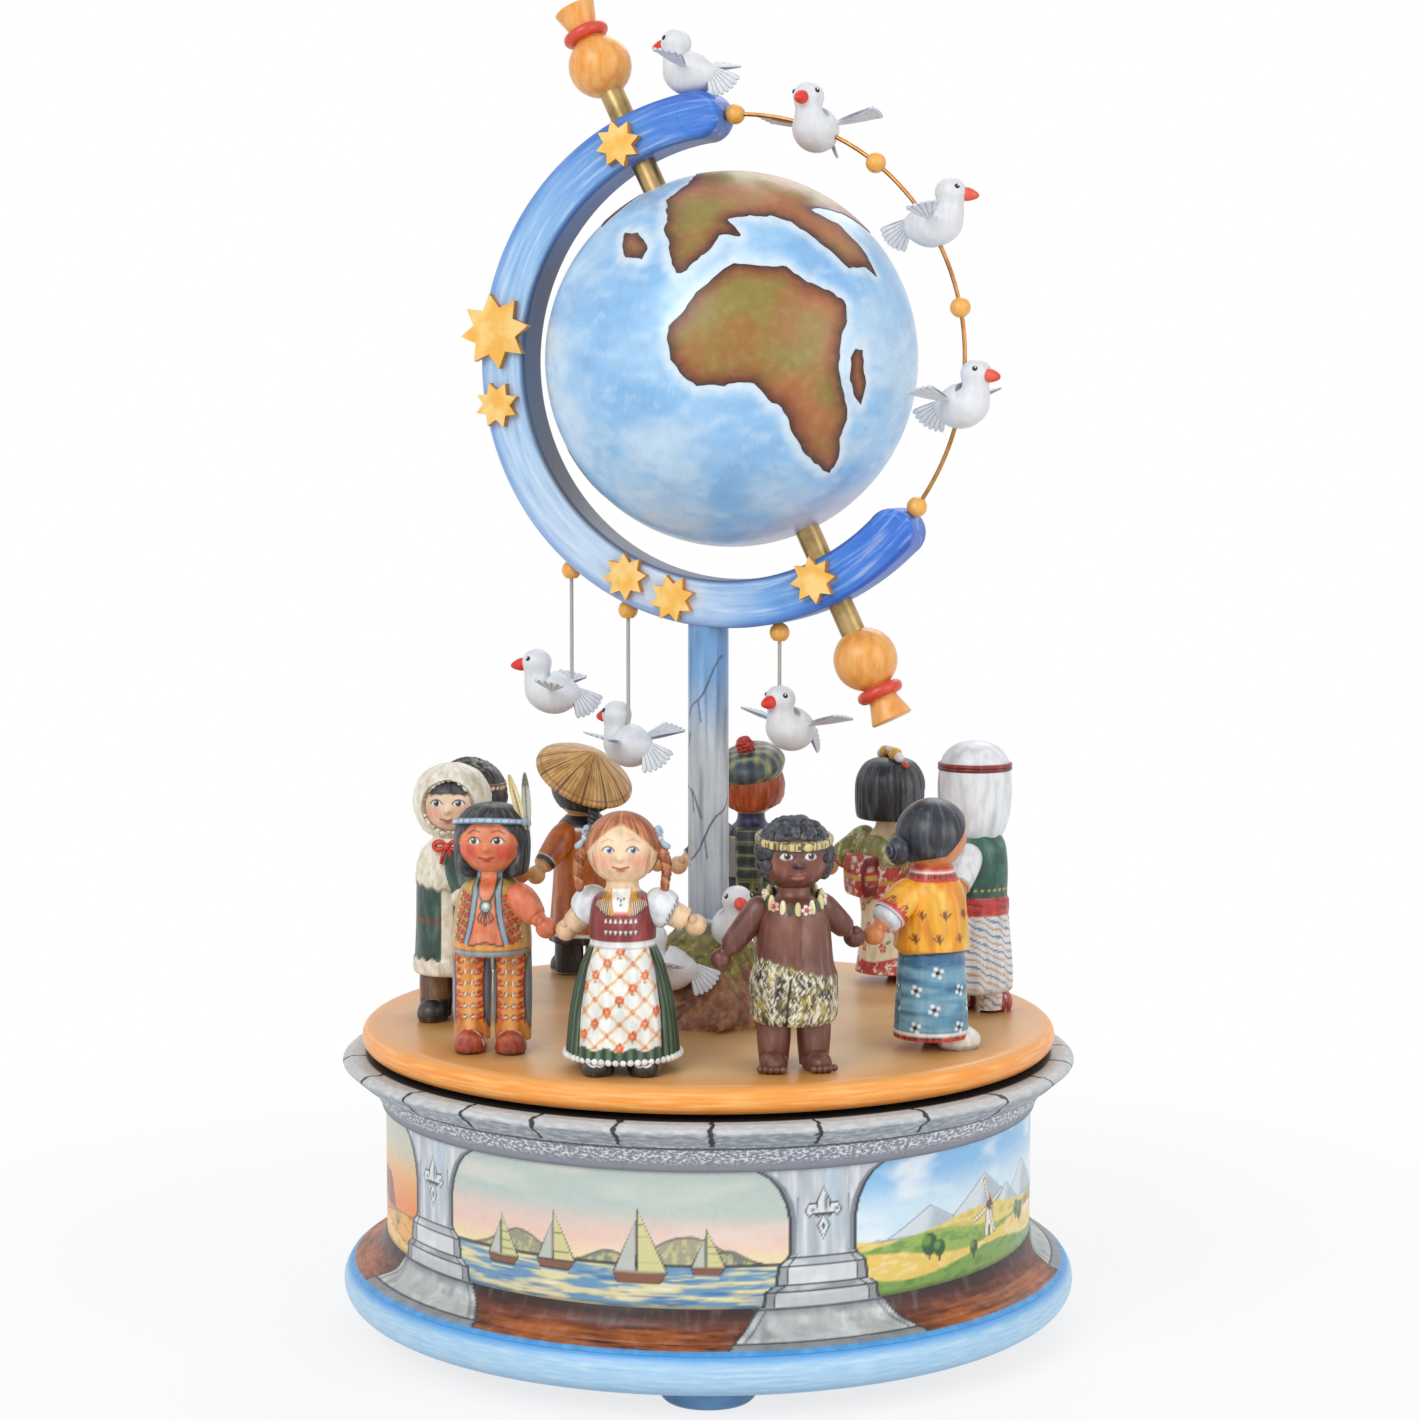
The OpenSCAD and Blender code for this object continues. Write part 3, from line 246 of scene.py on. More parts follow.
class Model:
    """Collects painted surfaces for one piece, in millimetres."""

    def __init__(self):
        self.v, self.c, self.f, self.n = [], [], [], 0

    def add(self, v, f, c):
        v = np.asarray(v, float).reshape(-1, 3)
        self.v.append(v)
        self.c.append(np.broadcast_to(np.asarray(c, float), (len(v), 3)) if np.ndim(c) == 1
            else np.asarray(c, float).reshape(-1, 3))
        self.f += [tuple(k + self.n for k in face) for face in f]
        self.n += len(v)
        return self

    def grid(self, p, c, wrap=True, low=True, high=True, flip=False):
        """A surface of rows of points, closed round where wrap is set, with its end rows filled."""
        rows, cols = p.shape[:2]
        idx = np.arange(rows * cols).reshape(rows, cols)
        here, there = (idx, np.roll(idx, -1, 1)) if wrap else (idx[:, :-1], idx[:, 1:])
        faces = np.stack([here[:-1], there[:-1], there[1:], here[1:]], -1).reshape(-1, 4).tolist()
        v, col = p.reshape(-1, 3), (np.ones(p.shape) * c).reshape(-1, 3)
        for row, wanted in ((0, low), (rows - 1, high)):
            if wanted and wrap:
                v = np.vstack([v, p[row].mean(0)])
                col = np.vstack([col, col[idx[row]].mean(0)])
                tip, a, b = len(v) - 1, idx[row], np.roll(idx[row], -1)
                faces += (np.stack([b, a, np.full(cols, tip)], -1) if row == 0
                    else np.stack([a, b, np.full(cols, tip)], -1)).tolist()
        return self.add(v, [f[::-1] for f in faces] if flip else faces, col)

    def tube(self, points, radii, colour, sides=12, step=0.5):
        """A round bar along a smooth path."""
        p = curve(np.c_[np.array(points, float), radii], step)
        path, r = p[:, :3], p[:, 3]
        w = np.gradient(path, axis=0)
        w /= np.linalg.norm(w, axis=1)[:, None]
        side = np.cross(w, [0.13, 0.21, 0.97])
        side /= np.linalg.norm(side, axis=1)[:, None]
        up = np.cross(side, w)
        a = np.linspace(0, 2 * math.pi, sides, endpoint=False)
        g = path[:, None] + r[:, None, None] * (np.cos(a)[None, :, None] * side[:, None]
            - np.sin(a)[None, :, None] * up[:, None])
        return self.grid(g, np.asarray(colour) if np.ndim(colour) else tone(colour), flip=True)

    def ball(self, at, r, colour, rows=12, cols=20, squash=(1, 1, 1)):
        e = np.linspace(-math.pi / 2, math.pi / 2, rows + 2)[1:-1, None]
        p = turn_points(ring_angles(cols)[None], np.cos(e), np.sin(e)) * np.array(squash) * r + np.array(at)
        return self.grid(p, tone(colour) if isinstance(colour, str) else colour)

    def make(self, name, material, body, slot=None, stands_for=(), place=None, sharp=40):
        v = np.vstack(self.v)
        v = (place(v) if place else v) * MM
        mesh = bpy.data.meshes.new(name)
        mesh.from_pydata(v.tolist(), [], self.f)
        layer = mesh.attributes.new("paint", "FLOAT_COLOR", "POINT")
        layer.data.foreach_set("color",
            np.c_[np.vstack(self.c), np.ones(self.n)].astype(np.float32).ravel())
        mesh.shade_smooth()
        mesh.set_sharp_from_angle(angle=math.radians(sharp))
        mesh.materials.append(material)
        return keep(bpy.data.objects.new(name, mesh), body, stands_for)


def keep(obj, body, stands_for=()):
    """Links a finished piece and fixes it to its body."""
    if obj.name not in bpy.context.scene.collection.objects:
        bpy.context.scene.collection.objects.link(obj)
    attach(obj, body)
    if stands_for:
        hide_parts(*stands_for)
    return obj


# Materials


class Val:
    """A number in a material's nodes, with arithmetic."""

    def __init__(self, g, socket):
        self.g, self.socket = g, socket

    def __add__(self, o):
        return self.g.math("ADD", self, o)

    def __radd__(self, o):
        return self.g.math("ADD", o, self)

    def __sub__(self, o):
        return self.g.math("SUBTRACT", self, o)

    def __rsub__(self, o):
        return self.g.math("SUBTRACT", o, self)

    def __mul__(self, o):
        return self.g.math("MULTIPLY", self, o)

    def __rmul__(self, o):
        return self.g.math("MULTIPLY", o, self)

    def __truediv__(self, o):
        return self.g.math("DIVIDE", self, o)

    def __abs__(self):
        return self.g.math("ABSOLUTE", self)


class Finish:
    """A procedural finish: nodes on object coordinates in millimetres that feed one shader."""

    def __init__(self, name, metallic=0.0, coat=0.0, specular=0.5):
        self.mat = bpy.data.materials.new(name)
        self.mat.use_nodes = True
        self.tree = self.mat.node_tree
        self.shader = self.tree.nodes["Principled BSDF"]
        for key, value in (("Metallic", metallic), ("Coat Weight", coat), ("Coat Roughness", 0.25),
                ("Specular IOR Level", specular)):
            self.shader.inputs[key].default_value = value
        where = self.tree.nodes.new("ShaderNodeTexCoord")
        scale = self.tree.nodes.new("ShaderNodeVectorMath")
        scale.operation = "SCALE"
        scale.inputs["Scale"].default_value = 1000.0
        self.tree.links.new(where.outputs["Object"], scale.inputs[0])
        self.place = scale.outputs[0]

    def feed(self, socket, value):
        if isinstance(value, Val):
            value = value.socket
        if isinstance(value, bpy.types.NodeSocket):
            self.tree.links.new(value, socket)
        elif isinstance(value, str):
            socket.default_value = (*tone(value), 1.0)
        elif isinstance(value, np.ndarray):
            socket.default_value = (*value, 1.0)
        else:
            socket.default_value = value

    def math(self, op, *args):
        n = self.tree.nodes.new("ShaderNodeMath")
        n.operation = op
        for k, v in enumerate(args):
            self.feed(n.inputs[k], v)
        return Val(self, n.outputs[0])

    def xyz(self, turn=0.0, at=(0, 0, 0)):
        """Place in millimetres, seen from a point and turned back about Z."""
        n = self.tree.nodes.new("ShaderNodeMapping")
        n.vector_type = "TEXTURE"
        n.inputs["Location"].default_value = at
        n.inputs["Rotation"].default_value = (0, 0, turn)
        self.tree.links.new(self.place, n.inputs[0])
        s = self.tree.nodes.new("ShaderNodeSeparateXYZ")
        self.tree.links.new(n.outputs[0], s.inputs[0])
        return [Val(self, o) for o in s.outputs]

    def vec(self, x, y, z):
        n = self.tree.nodes.new("ShaderNodeCombineXYZ")
        for k, v in enumerate((x, y, z)):
            self.feed(n.inputs[k], v)
        return n.outputs[0]

    def noise(self, scale, detail=3.0, vec=None, rough=0.5):
        n = self.tree.nodes.new("ShaderNodeTexNoise")
        self.tree.links.new(vec or self.place, n.inputs["Vector"])
        for key, v in (("Scale", scale), ("Detail", detail), ("Roughness", rough)):
            n.inputs[key].default_value = v
        return Val(self, n.outputs["Fac"])

    def smooth(self, lo, hi, v):
        n = self.tree.nodes.new("ShaderNodeMapRange")
        n.interpolation_type = "SMOOTHSTEP"
        for key, x in (("Value", v), ("From Min", lo), ("From Max", hi)):
            self.feed(n.inputs[key], x)
        return Val(self, n.outputs[0])

    def mix(self, fac, a, b, blend="MIX"):
        n = self.tree.nodes.new("ShaderNodeMix")
        n.data_type, n.blend_type = "RGBA", blend
        self.feed(n.inputs[0], fac)
        self.feed(n.inputs[6], a)
        self.feed(n.inputs[7], b)
        return n.outputs[2]

    def ramp(self, v, *stops):
        n = self.tree.nodes.new("ShaderNodeValToRGB")
        band = n.color_ramp.elements
        for k, (at, colour) in enumerate(stops):
            el = band[k] if k < 2 else band.new(at)
            el.position, el.color = at, (*tone(colour), 1.0)
        self.feed(n.inputs[0], v)
        return n.outputs[0]

    def attribute(self):
        n = self.tree.nodes.new("ShaderNodeAttribute")
        n.attribute_name = "paint"
        return n.outputs["Color"]

    def tint(self, colour, much, scale, vec):
        """Varies a colour lighter and darker by noise."""
        f = self.noise(scale, vec=vec)
        dark = self.mix(self.smooth(0.62, 0.3, f) * much, colour,
            self.mix(1.0, colour, "8c8a88", "MULTIPLY"))
        return self.mix(self.smooth(0.5, 0.75, f) * (much * 0.6), dark, self.mix(0.35, colour, "ffffff"))

    def done(self, colour, rough=0.45, height=None, depth=0.1):
        self.feed(self.shader.inputs["Base Color"], colour)
        self.feed(self.shader.inputs["Roughness"], rough)
        if height is not None:
            n = self.tree.nodes.new("ShaderNodeBump")
            n.inputs["Strength"].default_value = 0.6
            n.inputs["Distance"].default_value = depth * MM
            self.feed(n.inputs["Height"], height)
            self.tree.links.new(n.outputs[0], self.shader.inputs["Normal"])
        return self.mat


def brushed(name, rough=0.42, scale=0.35, much=0.5, depth=0.06, stretch=(1, 1, 0.25), coat=0.0):
    """Hand paint: the piece's own painted colours with brush marks."""
    if name in bpy.data.materials:
        return bpy.data.materials[name]
    f = Finish(name, coat=coat)
    x, y, z = f.xyz()
    strokes = f.vec(x * stretch[0], y * stretch[1], z * stretch[2])
    grain = f.noise(scale * 3, 4, strokes)
    colour = f.tint(f.attribute(), much, scale, strokes)
    return f.done(colour, f.noise(0.3, 2) * 0.22 + (rough - 0.1), grain, depth)


def dress(material, *names):
    """Gives CAD nodes a finish."""
    for name in names:
        slots = NODES[name].data.materials
        slots.clear()
        slots.append(material)


def metal(name, colour, dark, rough=0.3, along=(1, 1, 0.1)):
    f = Finish(name, metallic=1.0)
    x, y, z = f.xyz()
    strokes = f.vec(x * along[0], y * along[1], z * along[2])
    wear = f.noise(0.18, 4)
    brush = f.noise(1.2, 3, strokes)
    colour_out = f.mix(f.smooth(0.35, 0.7, wear) * 0.7, colour, dark)
    return f.done(colour_out, brush * 0.2 + (rough - 0.08), brush, 0.03)


# Geometry Nodes for what repeats


class Tree:
    """A Geometry Nodes tree with named inputs, used once and then turned into a plain mesh."""

    def __init__(self, name, **sizes):
        self.group = bpy.data.node_groups.new(name, "GeometryNodeTree")
        self.ids, self.values = {}, sizes
        face = self.group.interface
        face.new_socket("Geometry", in_out="INPUT", socket_type="NodeSocketGeometry")
        for key, value in sizes.items():
            kind = {int: "NodeSocketInt", float: "NodeSocketFloat"}.get(type(value), "NodeSocketColor")
            self.ids[key] = face.new_socket(key, in_out="INPUT", socket_type=kind).identifier
        face.new_socket("Geometry", in_out="OUTPUT", socket_type="NodeSocketGeometry")
        self.start, self.end = self.node("NodeGroupInput"), self.node("NodeGroupOutput")

    def node(self, kind, feeds=None, **settings):
        n = self.group.nodes.new(kind)
        for key, value in settings.items():
            setattr(n, key, value)
        for key, value in (feeds or {}).items():
            if isinstance(value, bpy.types.NodeSocket):
                self.group.links.new(value, n.inputs[key])
            else:
                n.inputs[key].default_value = value
        return n

    def size(self, name):
        return self.start.outputs[name]

    def finish(self, instances, paint, material, base, kid_body, slot):
        """Stores the paint, realizes, sets the material and makes a plain mesh that rides on a body."""
        store = self.node("GeometryNodeStoreNamedAttribute", {"Geometry": instances, "Name": "paint"},
            data_type="FLOAT_COLOR", domain="INSTANCE")
        self.group.links.new(paint, [s for s in store.inputs if s.name == "Value" and s.enabled][0])
        real = self.node("GeometryNodeRealizeInstances", {"Geometry": store.outputs[0]})
        smooth = self.node("GeometryNodeSetShadeSmooth", {"Geometry": real.outputs[0]})
        done = self.node("GeometryNodeSetMaterial", {"Geometry": smooth.outputs[0], "Material": material})
        self.group.links.new(done.outputs[0], self.end.inputs[0])
        mod = base.modifiers.new("Repeat", "NODES")
        mod.node_group = self.group
        for key, value in self.values.items():
            mod[self.ids[key]] = value
        graph = bpy.context.evaluated_depsgraph_get()
        mesh = bpy.data.meshes.new_from_object(base.evaluated_get(graph), preserve_all_data_layers=True,
            depsgraph=graph)
        if not len(mesh.polygons):
            raise RuntimeError("%s made no faces" % base.name)
        base.modifiers.clear()
        base.data = mesh
        return keep(base, kid_body)


def base_mesh(name, points, edges=(), faces=()):
    """A linked object for a tree to work on, from points in millimetres in the frame."""
    mesh = bpy.data.meshes.new(name)
    mesh.from_pydata((np.asarray(points) * MM).tolist(), list(edges), list(faces))
    obj = bpy.data.objects.new(name, mesh)
    bpy.context.scene.collection.objects.link(obj)
    return obj


def ring_faces(rows, n):
    """Faces between rows of n points that close round."""
    pairs = [(k * n, j, (j + 1) % n) for k in range(rows - 1) for j in range(n)]
    return [(k + j, k + i, k + n + i, k + n + j) for k, j, i in pairs]


def bead_row(name, points, count, radius, colours, body, slot):
    """Balls at even steps along a path, in two colours by turns."""
    n = len(points)
    base = base_mesh(name, points, [(k, (k + 1) % n) for k in range(n)])
    t = Tree(name + "_tree", Count=int(count), Radius=float(radius * MM), First=(*tone(colours[0]), 1.0),
        Second=(*tone(colours[-1]), 1.0))
    path = t.node("GeometryNodeMeshToCurve", {"Mesh": t.start.outputs[0]})
    even = t.node("GeometryNodeResampleCurve", {"Curve": path.outputs[0], "Count": t.size("Count")})
    ball = t.node("GeometryNodeMeshIcoSphere", {"Radius": t.size("Radius"), "Subdivisions": 3})
    put = t.node("GeometryNodeInstanceOnPoints", {"Points": even.outputs[0], "Instance": ball.outputs[0]})
    turn = t.node("ShaderNodeMath", {0: t.node("GeometryNodeInputIndex").outputs[0], 1: 2.0},
        operation="MODULO")
    both = t.node("ShaderNodeMix", {0: turn.outputs[0], 6: t.size("First"), 7: t.size("Second")},
        data_type="RGBA")
    return t.finish(put.outputs[0], both.outputs[2], brushed("figure_lacquer"), base, body, slot)


def tufts(name, points, faces, density, radius, tall, colours, body, slot, seed=1, low=0.6, material=None):
    """Small knobs or locks strewn over a surface, leaning outwards, in random sizes and tints."""
    base = base_mesh(name, points, faces=faces)
    t = Tree(name + "_tree", Density=float(density), Radius=float(radius * MM), Tall=float(tall),
        Smallest=float(low), Seed=int(seed), Dark=(*tone(colours[0]), 1.0), Light=(*tone(colours[-1]), 1.0))
    strew = t.node("GeometryNodeDistributePointsOnFaces",
        {"Mesh": t.start.outputs[0], "Density": t.size("Density"), "Seed": t.size("Seed")})
    ball = t.node("GeometryNodeMeshIcoSphere", {"Radius": t.size("Radius"), "Subdivisions": 2})
    vary = t.node("FunctionNodeRandomValue", {"Seed": t.size("Seed"), 2: t.size("Smallest"), 3: 1.0},
        data_type="FLOAT")
    shape = t.node("ShaderNodeCombineXYZ", {0: 1.0, 1: 1.0, 2: t.size("Tall")})
    grow = t.node("ShaderNodeVectorMath", {0: shape.outputs[0], "Scale": vary.outputs[1]},
        operation="SCALE")
    put = t.node("GeometryNodeInstanceOnPoints", {"Points": strew.outputs[0], "Instance": ball.outputs[0],
        "Rotation": strew.outputs["Rotation"], "Scale": grow.outputs[0]})
    pick = t.node("FunctionNodeRandomValue", {"Seed": 9}, data_type="FLOAT")
    both = t.node("ShaderNodeMix", {0: pick.outputs[1], 6: t.size("Dark"), 7: t.size("Light")},
        data_type="RGBA")
    return t.finish(put.outputs[0], both.outputs[2], material or brushed("figure_lacquer"),
        base, body, slot)


# Sizes and colours that a user may change


def paint_prop(name, text, code):
    return bpy.props.FloatVectorProperty(name=name, description=text, subtype="COLOR", size=3, min=0.0,
        max=1.0, default=tuple(tone(code)))


def length_prop(name, text, mm):
    return bpy.props.FloatProperty(name=name, description=text, subtype="DISTANCE", unit="LENGTH",
        default=mm * MM)


class MusicBoxColours(bpy.types.PropertyGroup):
    """Paint colours of the box."""

    rim_blue: paint_prop("Rim blue", "Sky blue on the rim of the base plate and its feet", "a9d2ef")
    stone_grey: paint_prop("Stone grey", "Grey of the painted pillars and the cornice", "c3c9cf")
    disc_tan: paint_prop("Disc tan", "Stained top of the turntable", "e6bd84")
    disc_orange: paint_prop("Disc orange", "Stained edge of the turntable", "f99d3c")
    star_yellow: paint_prop("Star yellow", "Face of the stars and the beads", "f8b84a")
    finial_orange: paint_prop("Finial orange", "Stained turned finials", "e8973c")
    dove_white: paint_prop("Dove white", "Paint of the doves", "e4e6ea")


class MusicBoxSizes(bpy.types.PropertyGroup):
    """Sizes that the dressing uses."""

    paint_step: length_prop("Paint step", "Distance between painted points on the figures", 0.5)
    panel_step: length_prop("Panel step", "Distance between painted points on the drum", 0.44)
    land_rise: length_prop("Land rise", "Height of the painted land over the sea on the globe", 0.18)
    camera_far: length_prop("Camera distance", "Distance of the camera from the axis", 850.0)
    camera_high: length_prop("Camera height", "Height of the camera over the floor", 252.28)
    camera_pitch: bpy.props.FloatProperty(name="Camera pitch", description="How far the camera looks down",
        subtype="ANGLE", unit="ROTATION", default=0.0906)


def size(name):
    """A length from the panel, in millimetres."""
    return getattr(bpy.context.scene.music_box_sizes, name) / MM


def ink(name):
    """A paint colour from the panel."""
    return np.array(getattr(bpy.context.scene.music_box_colours, name))


# Stage


# The fitted camera, in pixels of the photo and millimetres of film
PHOTO_PX, FOCAL_PX, SHIFT_PX, FILM = 1420, 2986.73, 1.65, 36.0


def set_stage():
    scene = bpy.context.scene
    scene.view_settings.view_transform = "Standard"
    cam = bpy.data.cameras.new("Camera")
    cam.sensor_width, cam.lens, cam.shift_x = FILM, FILM * FOCAL_PX / PHOTO_PX, SHIFT_PX / PHOTO_PX
    eye = bpy.data.objects.new("Camera", cam)
    eye.location = (0, -size("camera_far") * MM, size("camera_high") * MM)
    eye.rotation_euler = (math.pi / 2 - scene.music_box_sizes.camera_pitch, 0, 0)
    scene.collection.objects.link(eye)
    scene.camera = eye
    world = bpy.data.worlds.new("Studio")
    scene.world = world
    world.use_nodes = True
    t = world.node_tree
    back = t.nodes["Background"]
    path, seen = t.nodes.new("ShaderNodeLightPath"), t.nodes.new("ShaderNodeMath")
    both = t.nodes.new("ShaderNodeMapRange")
    seen.operation = "MAXIMUM"
    t.links.new(path.outputs["Is Camera Ray"], seen.inputs[0])
    t.links.new(path.outputs["Is Glossy Ray"], seen.inputs[1])
    t.links.new(seen.outputs[0], both.inputs["Value"])
    both.inputs["To Min"].default_value, both.inputs["To Max"].default_value = 0.56, 1.0
    t.links.new(both.outputs[0], back.inputs["Strength"])
    back.inputs["Color"].default_value = (1, 1, 1, 1)
    mesh = bpy.data.meshes.new("Floor")
    mesh.from_pydata([(-9, -4, 0), (9, -4, 0), (9, 40, 0), (-9, 40, 0)], [], [(0, 1, 2, 3)])
    floor = bpy.data.objects.new("Floor", mesh)
    scene.collection.objects.link(floor)
    f = Finish("floor_white", specular=0.0)
    f.done(f.mix(f.noise(0.004, 2) * 0.1, "fbfbfb", "f4f4f4"), 0.9)
    x, y = f.xyz()[:2]
    glow = f.tree.nodes.new("ShaderNodeEmission")
    glow.inputs["Color"].default_value = (1, 1, 1, 1)
    both = f.tree.nodes.new("ShaderNodeMixShader")
    path = f.tree.nodes.new("ShaderNodeLightPath")
    seen = f.math("MAXIMUM", path.outputs["Is Camera Ray"], path.outputs["Is Glossy Ray"])
    f.feed(both.inputs[0], seen * (f.smooth(150.0, 420.0, f.math("SQRT", x * x + y * y)) * 0.22 + 0.78))
    f.tree.links.new(f.shader.outputs[0], both.inputs[1])
    f.tree.links.new(glow.outputs[0], both.inputs[2])
    f.tree.links.new(both.outputs[0], f.tree.nodes["Material Output"].inputs[0])
    mesh.materials.append(f.mat)
    for name, at, wide, power in (("Key", (-0.75, -1.15, 1.05), 0.9, 9.5),
            ("Fill", (1.0, -0.9, 0.6), 1.0, 4.5), ("Back", (0.3, 1.1, 1.2), 0.9, 4.0)):
        lamp = bpy.data.lights.new(name, "AREA")
        lamp.shape, lamp.size, lamp.energy = "DISK", wide, power
        obj = bpy.data.objects.new(name, lamp)
        obj.location = at
        aim = np.array([0, 0, 0.17]) - np.array(at)
        obj.rotation_euler = (math.atan2(math.hypot(aim[0], aim[1]), -aim[2]), 0, math.atan2(aim[1], aim[0])
            - math.pi / 2)
        scene.collection.objects.link(obj)


class MUSICBOX_OT_stage(bpy.types.Operator):
    """Camera, pale floor and soft light."""

    bl_idname = "musicbox.stage"
    bl_label = "Stage"

    def execute(self, context):
        set_stage()
        return {"FINISHED"}


# Base

# Pillars by their angle, the height that the pictures are drawn to, and the slabs of the cornice
PILLARS = [-53.7, 18.9, 91.0, 162.5, 234.3]
PICTURE_H, SLABS = 44.0, 25.0


def pillar_offset(a):
    """Degrees from the nearest pillar."""
    d = np.stack([(a - p + 180) % 360 - 180 for p in PILLARS], -1)
    near = np.argmin(abs(d), -1)
    return np.take_along_axis(d, near[..., None], -1)[..., 0]


def paint_pillar(c, t, y):
    """Painted stone pillar: t is millimetres from its middle and y the height over the cove."""
    half = np.interp(y, [0, 5.0, 6.8, 7.0, 13.2, 15.6, 17, 28, 33, 38, 41.5, 44],
        [19.4, 18.8, 16.2, 15.4, 14.6, 11.8, 11, 11, 12, 14.4, 17.6, 22])
    on = fall(-0.15, 0.15, abs(t) - half)
    streak = marks(t, y, 1.0, 0.12, 1.6, 3)
    c.only = on
    c.fill(ink("stone_grey"))
    c.strokes(streak, (0.45, 0.8, "e8eef2", 0.8), (0.5, 0.15, "98a6b4", 0.6))
    c.put(rise(6, 0, abs(t - 3)) * rise(18, 28, y), "b9d3e6", 0.5)
    c.put(rise(half - 2.6, half - 1.6, abs(t)) * rise(15.5, 17, y), "747b85", 0.9)
    for lo, hi, col in ((13.2, 15.6, "b7bcc2"), (7.0, 13.2, "dcdfe1"), (5.0, 7.0, "8d939b"),
            (-1, 5.0, "c3c8cb")):
        c.put(rise(lo - 0.1, lo + 0.1, y) * fall(hi - 0.1, hi + 0.1, y), col, 0.88)
    c.put(rise(0.5, 0.75, marks(t, y, 0.3, 1, 2.2, 7)) * (y < 15), "f0f2f2", 0.5)
    keep_u = c.u
    c.u = np.array(t)
    for s in (-1, 1):
        c.blob([(s * 11.4, 13.2), (s * 14.8, 13.0), (s * 15.4, 7.0), (s * 12.0, 7.0)], "8b9099", much=0.8)
        c.blob([(s * 15.6, 5.0), (s * 19.2, 4.8), (s * 19.6, 0), (s * 16.2, 0)], "7f858d", much=0.8)
        c.line([(s * 9.4, 15.8), (s * 11.4, 13.2), (s * 12.0, 7.0), (s * 15.6, 5.0), (s * 16.2, 0)],
            0.5, "3a3f46")
        c.line([(s * 8.4, 35), (s * 8.2, 17.0), (s * 9.4, 15.8)], 0.36, "6c737c")
    for lo, wide in ((5.0, 19), (7.0, 15.4), (13.2, 14.8), (15.7, 12)):
        c.line([(-wide, lo), (wide, lo)], 0.5, "3a3f46")
    c.only = 1.0
    c.put(fall(0.42, 0.74, abs(abs(t) - half)) * (y < PICTURE_H), "2c3036", 0.95)
    c.only = on
    dark, pale = "33383f", "e4e8eb"
    for grow, col in ((0.62, dark), (0.0, pale)):
        c.blob([(0, 37.4 + grow), (2.0 + grow, 33), (1.6 + grow, 29.6), (-1.6 - grow, 29.6),
            (-2.0 - grow, 33)], col)
        for s in (-1, 1):
            c.blob([(s * (1.6 - grow), 29.8), (s * 2.6, 32.2 + grow), (s * 4.8, 32.4 + grow),
                (s * (5.8 + grow), 30.2), (s * 4.6, 28.6 - grow), (s * 3.6, 29.9 - grow),
                (s * 1.4, 28.4 - grow)], col)
        c.blob([(0, 28.6 + grow), (1.7 + grow, 25.6), (0, 21.6 - grow), (-1.7 - grow, 25.6)], col)
    c.oval(0.8, 32.6, 0.7, 2.6, "868e98", 0.3)
    c.oval(4.4, 30.6, 0.8, 0.6, "868e98", 0.3)
    c.oval(-3.6, 30.6, 0.8, 0.6, "868e98", 0.3)
    c.oval(0, 25.4, 0.55, 1.1, dark, 0.1)
    c.line([(-2.4, 29.2), (2.4, 29.2)], 0.9, dark)
    c.u, c.only = keep_u, 1.0


def brush_water(c, x, y, top, colours):
    """Streaked water below a height."""
    f = marks(x, y, 0.12, 1.5, 1.5, 11)
    wet = fall(top - 0.3, top + 0.3, y)
    c.put(wet, colours[0])
    c.put(wet * rise(0.42, 0.62, f), colours[1], 0.9)
    c.put(wet * rise(0.55, 0.72, marks(x, y, 0.1, 1.7, 1.4, 5)), colours[2], 0.9)
    c.put(wet * rise(0.66, 0.8, f), "f4f7ee", 0.8)


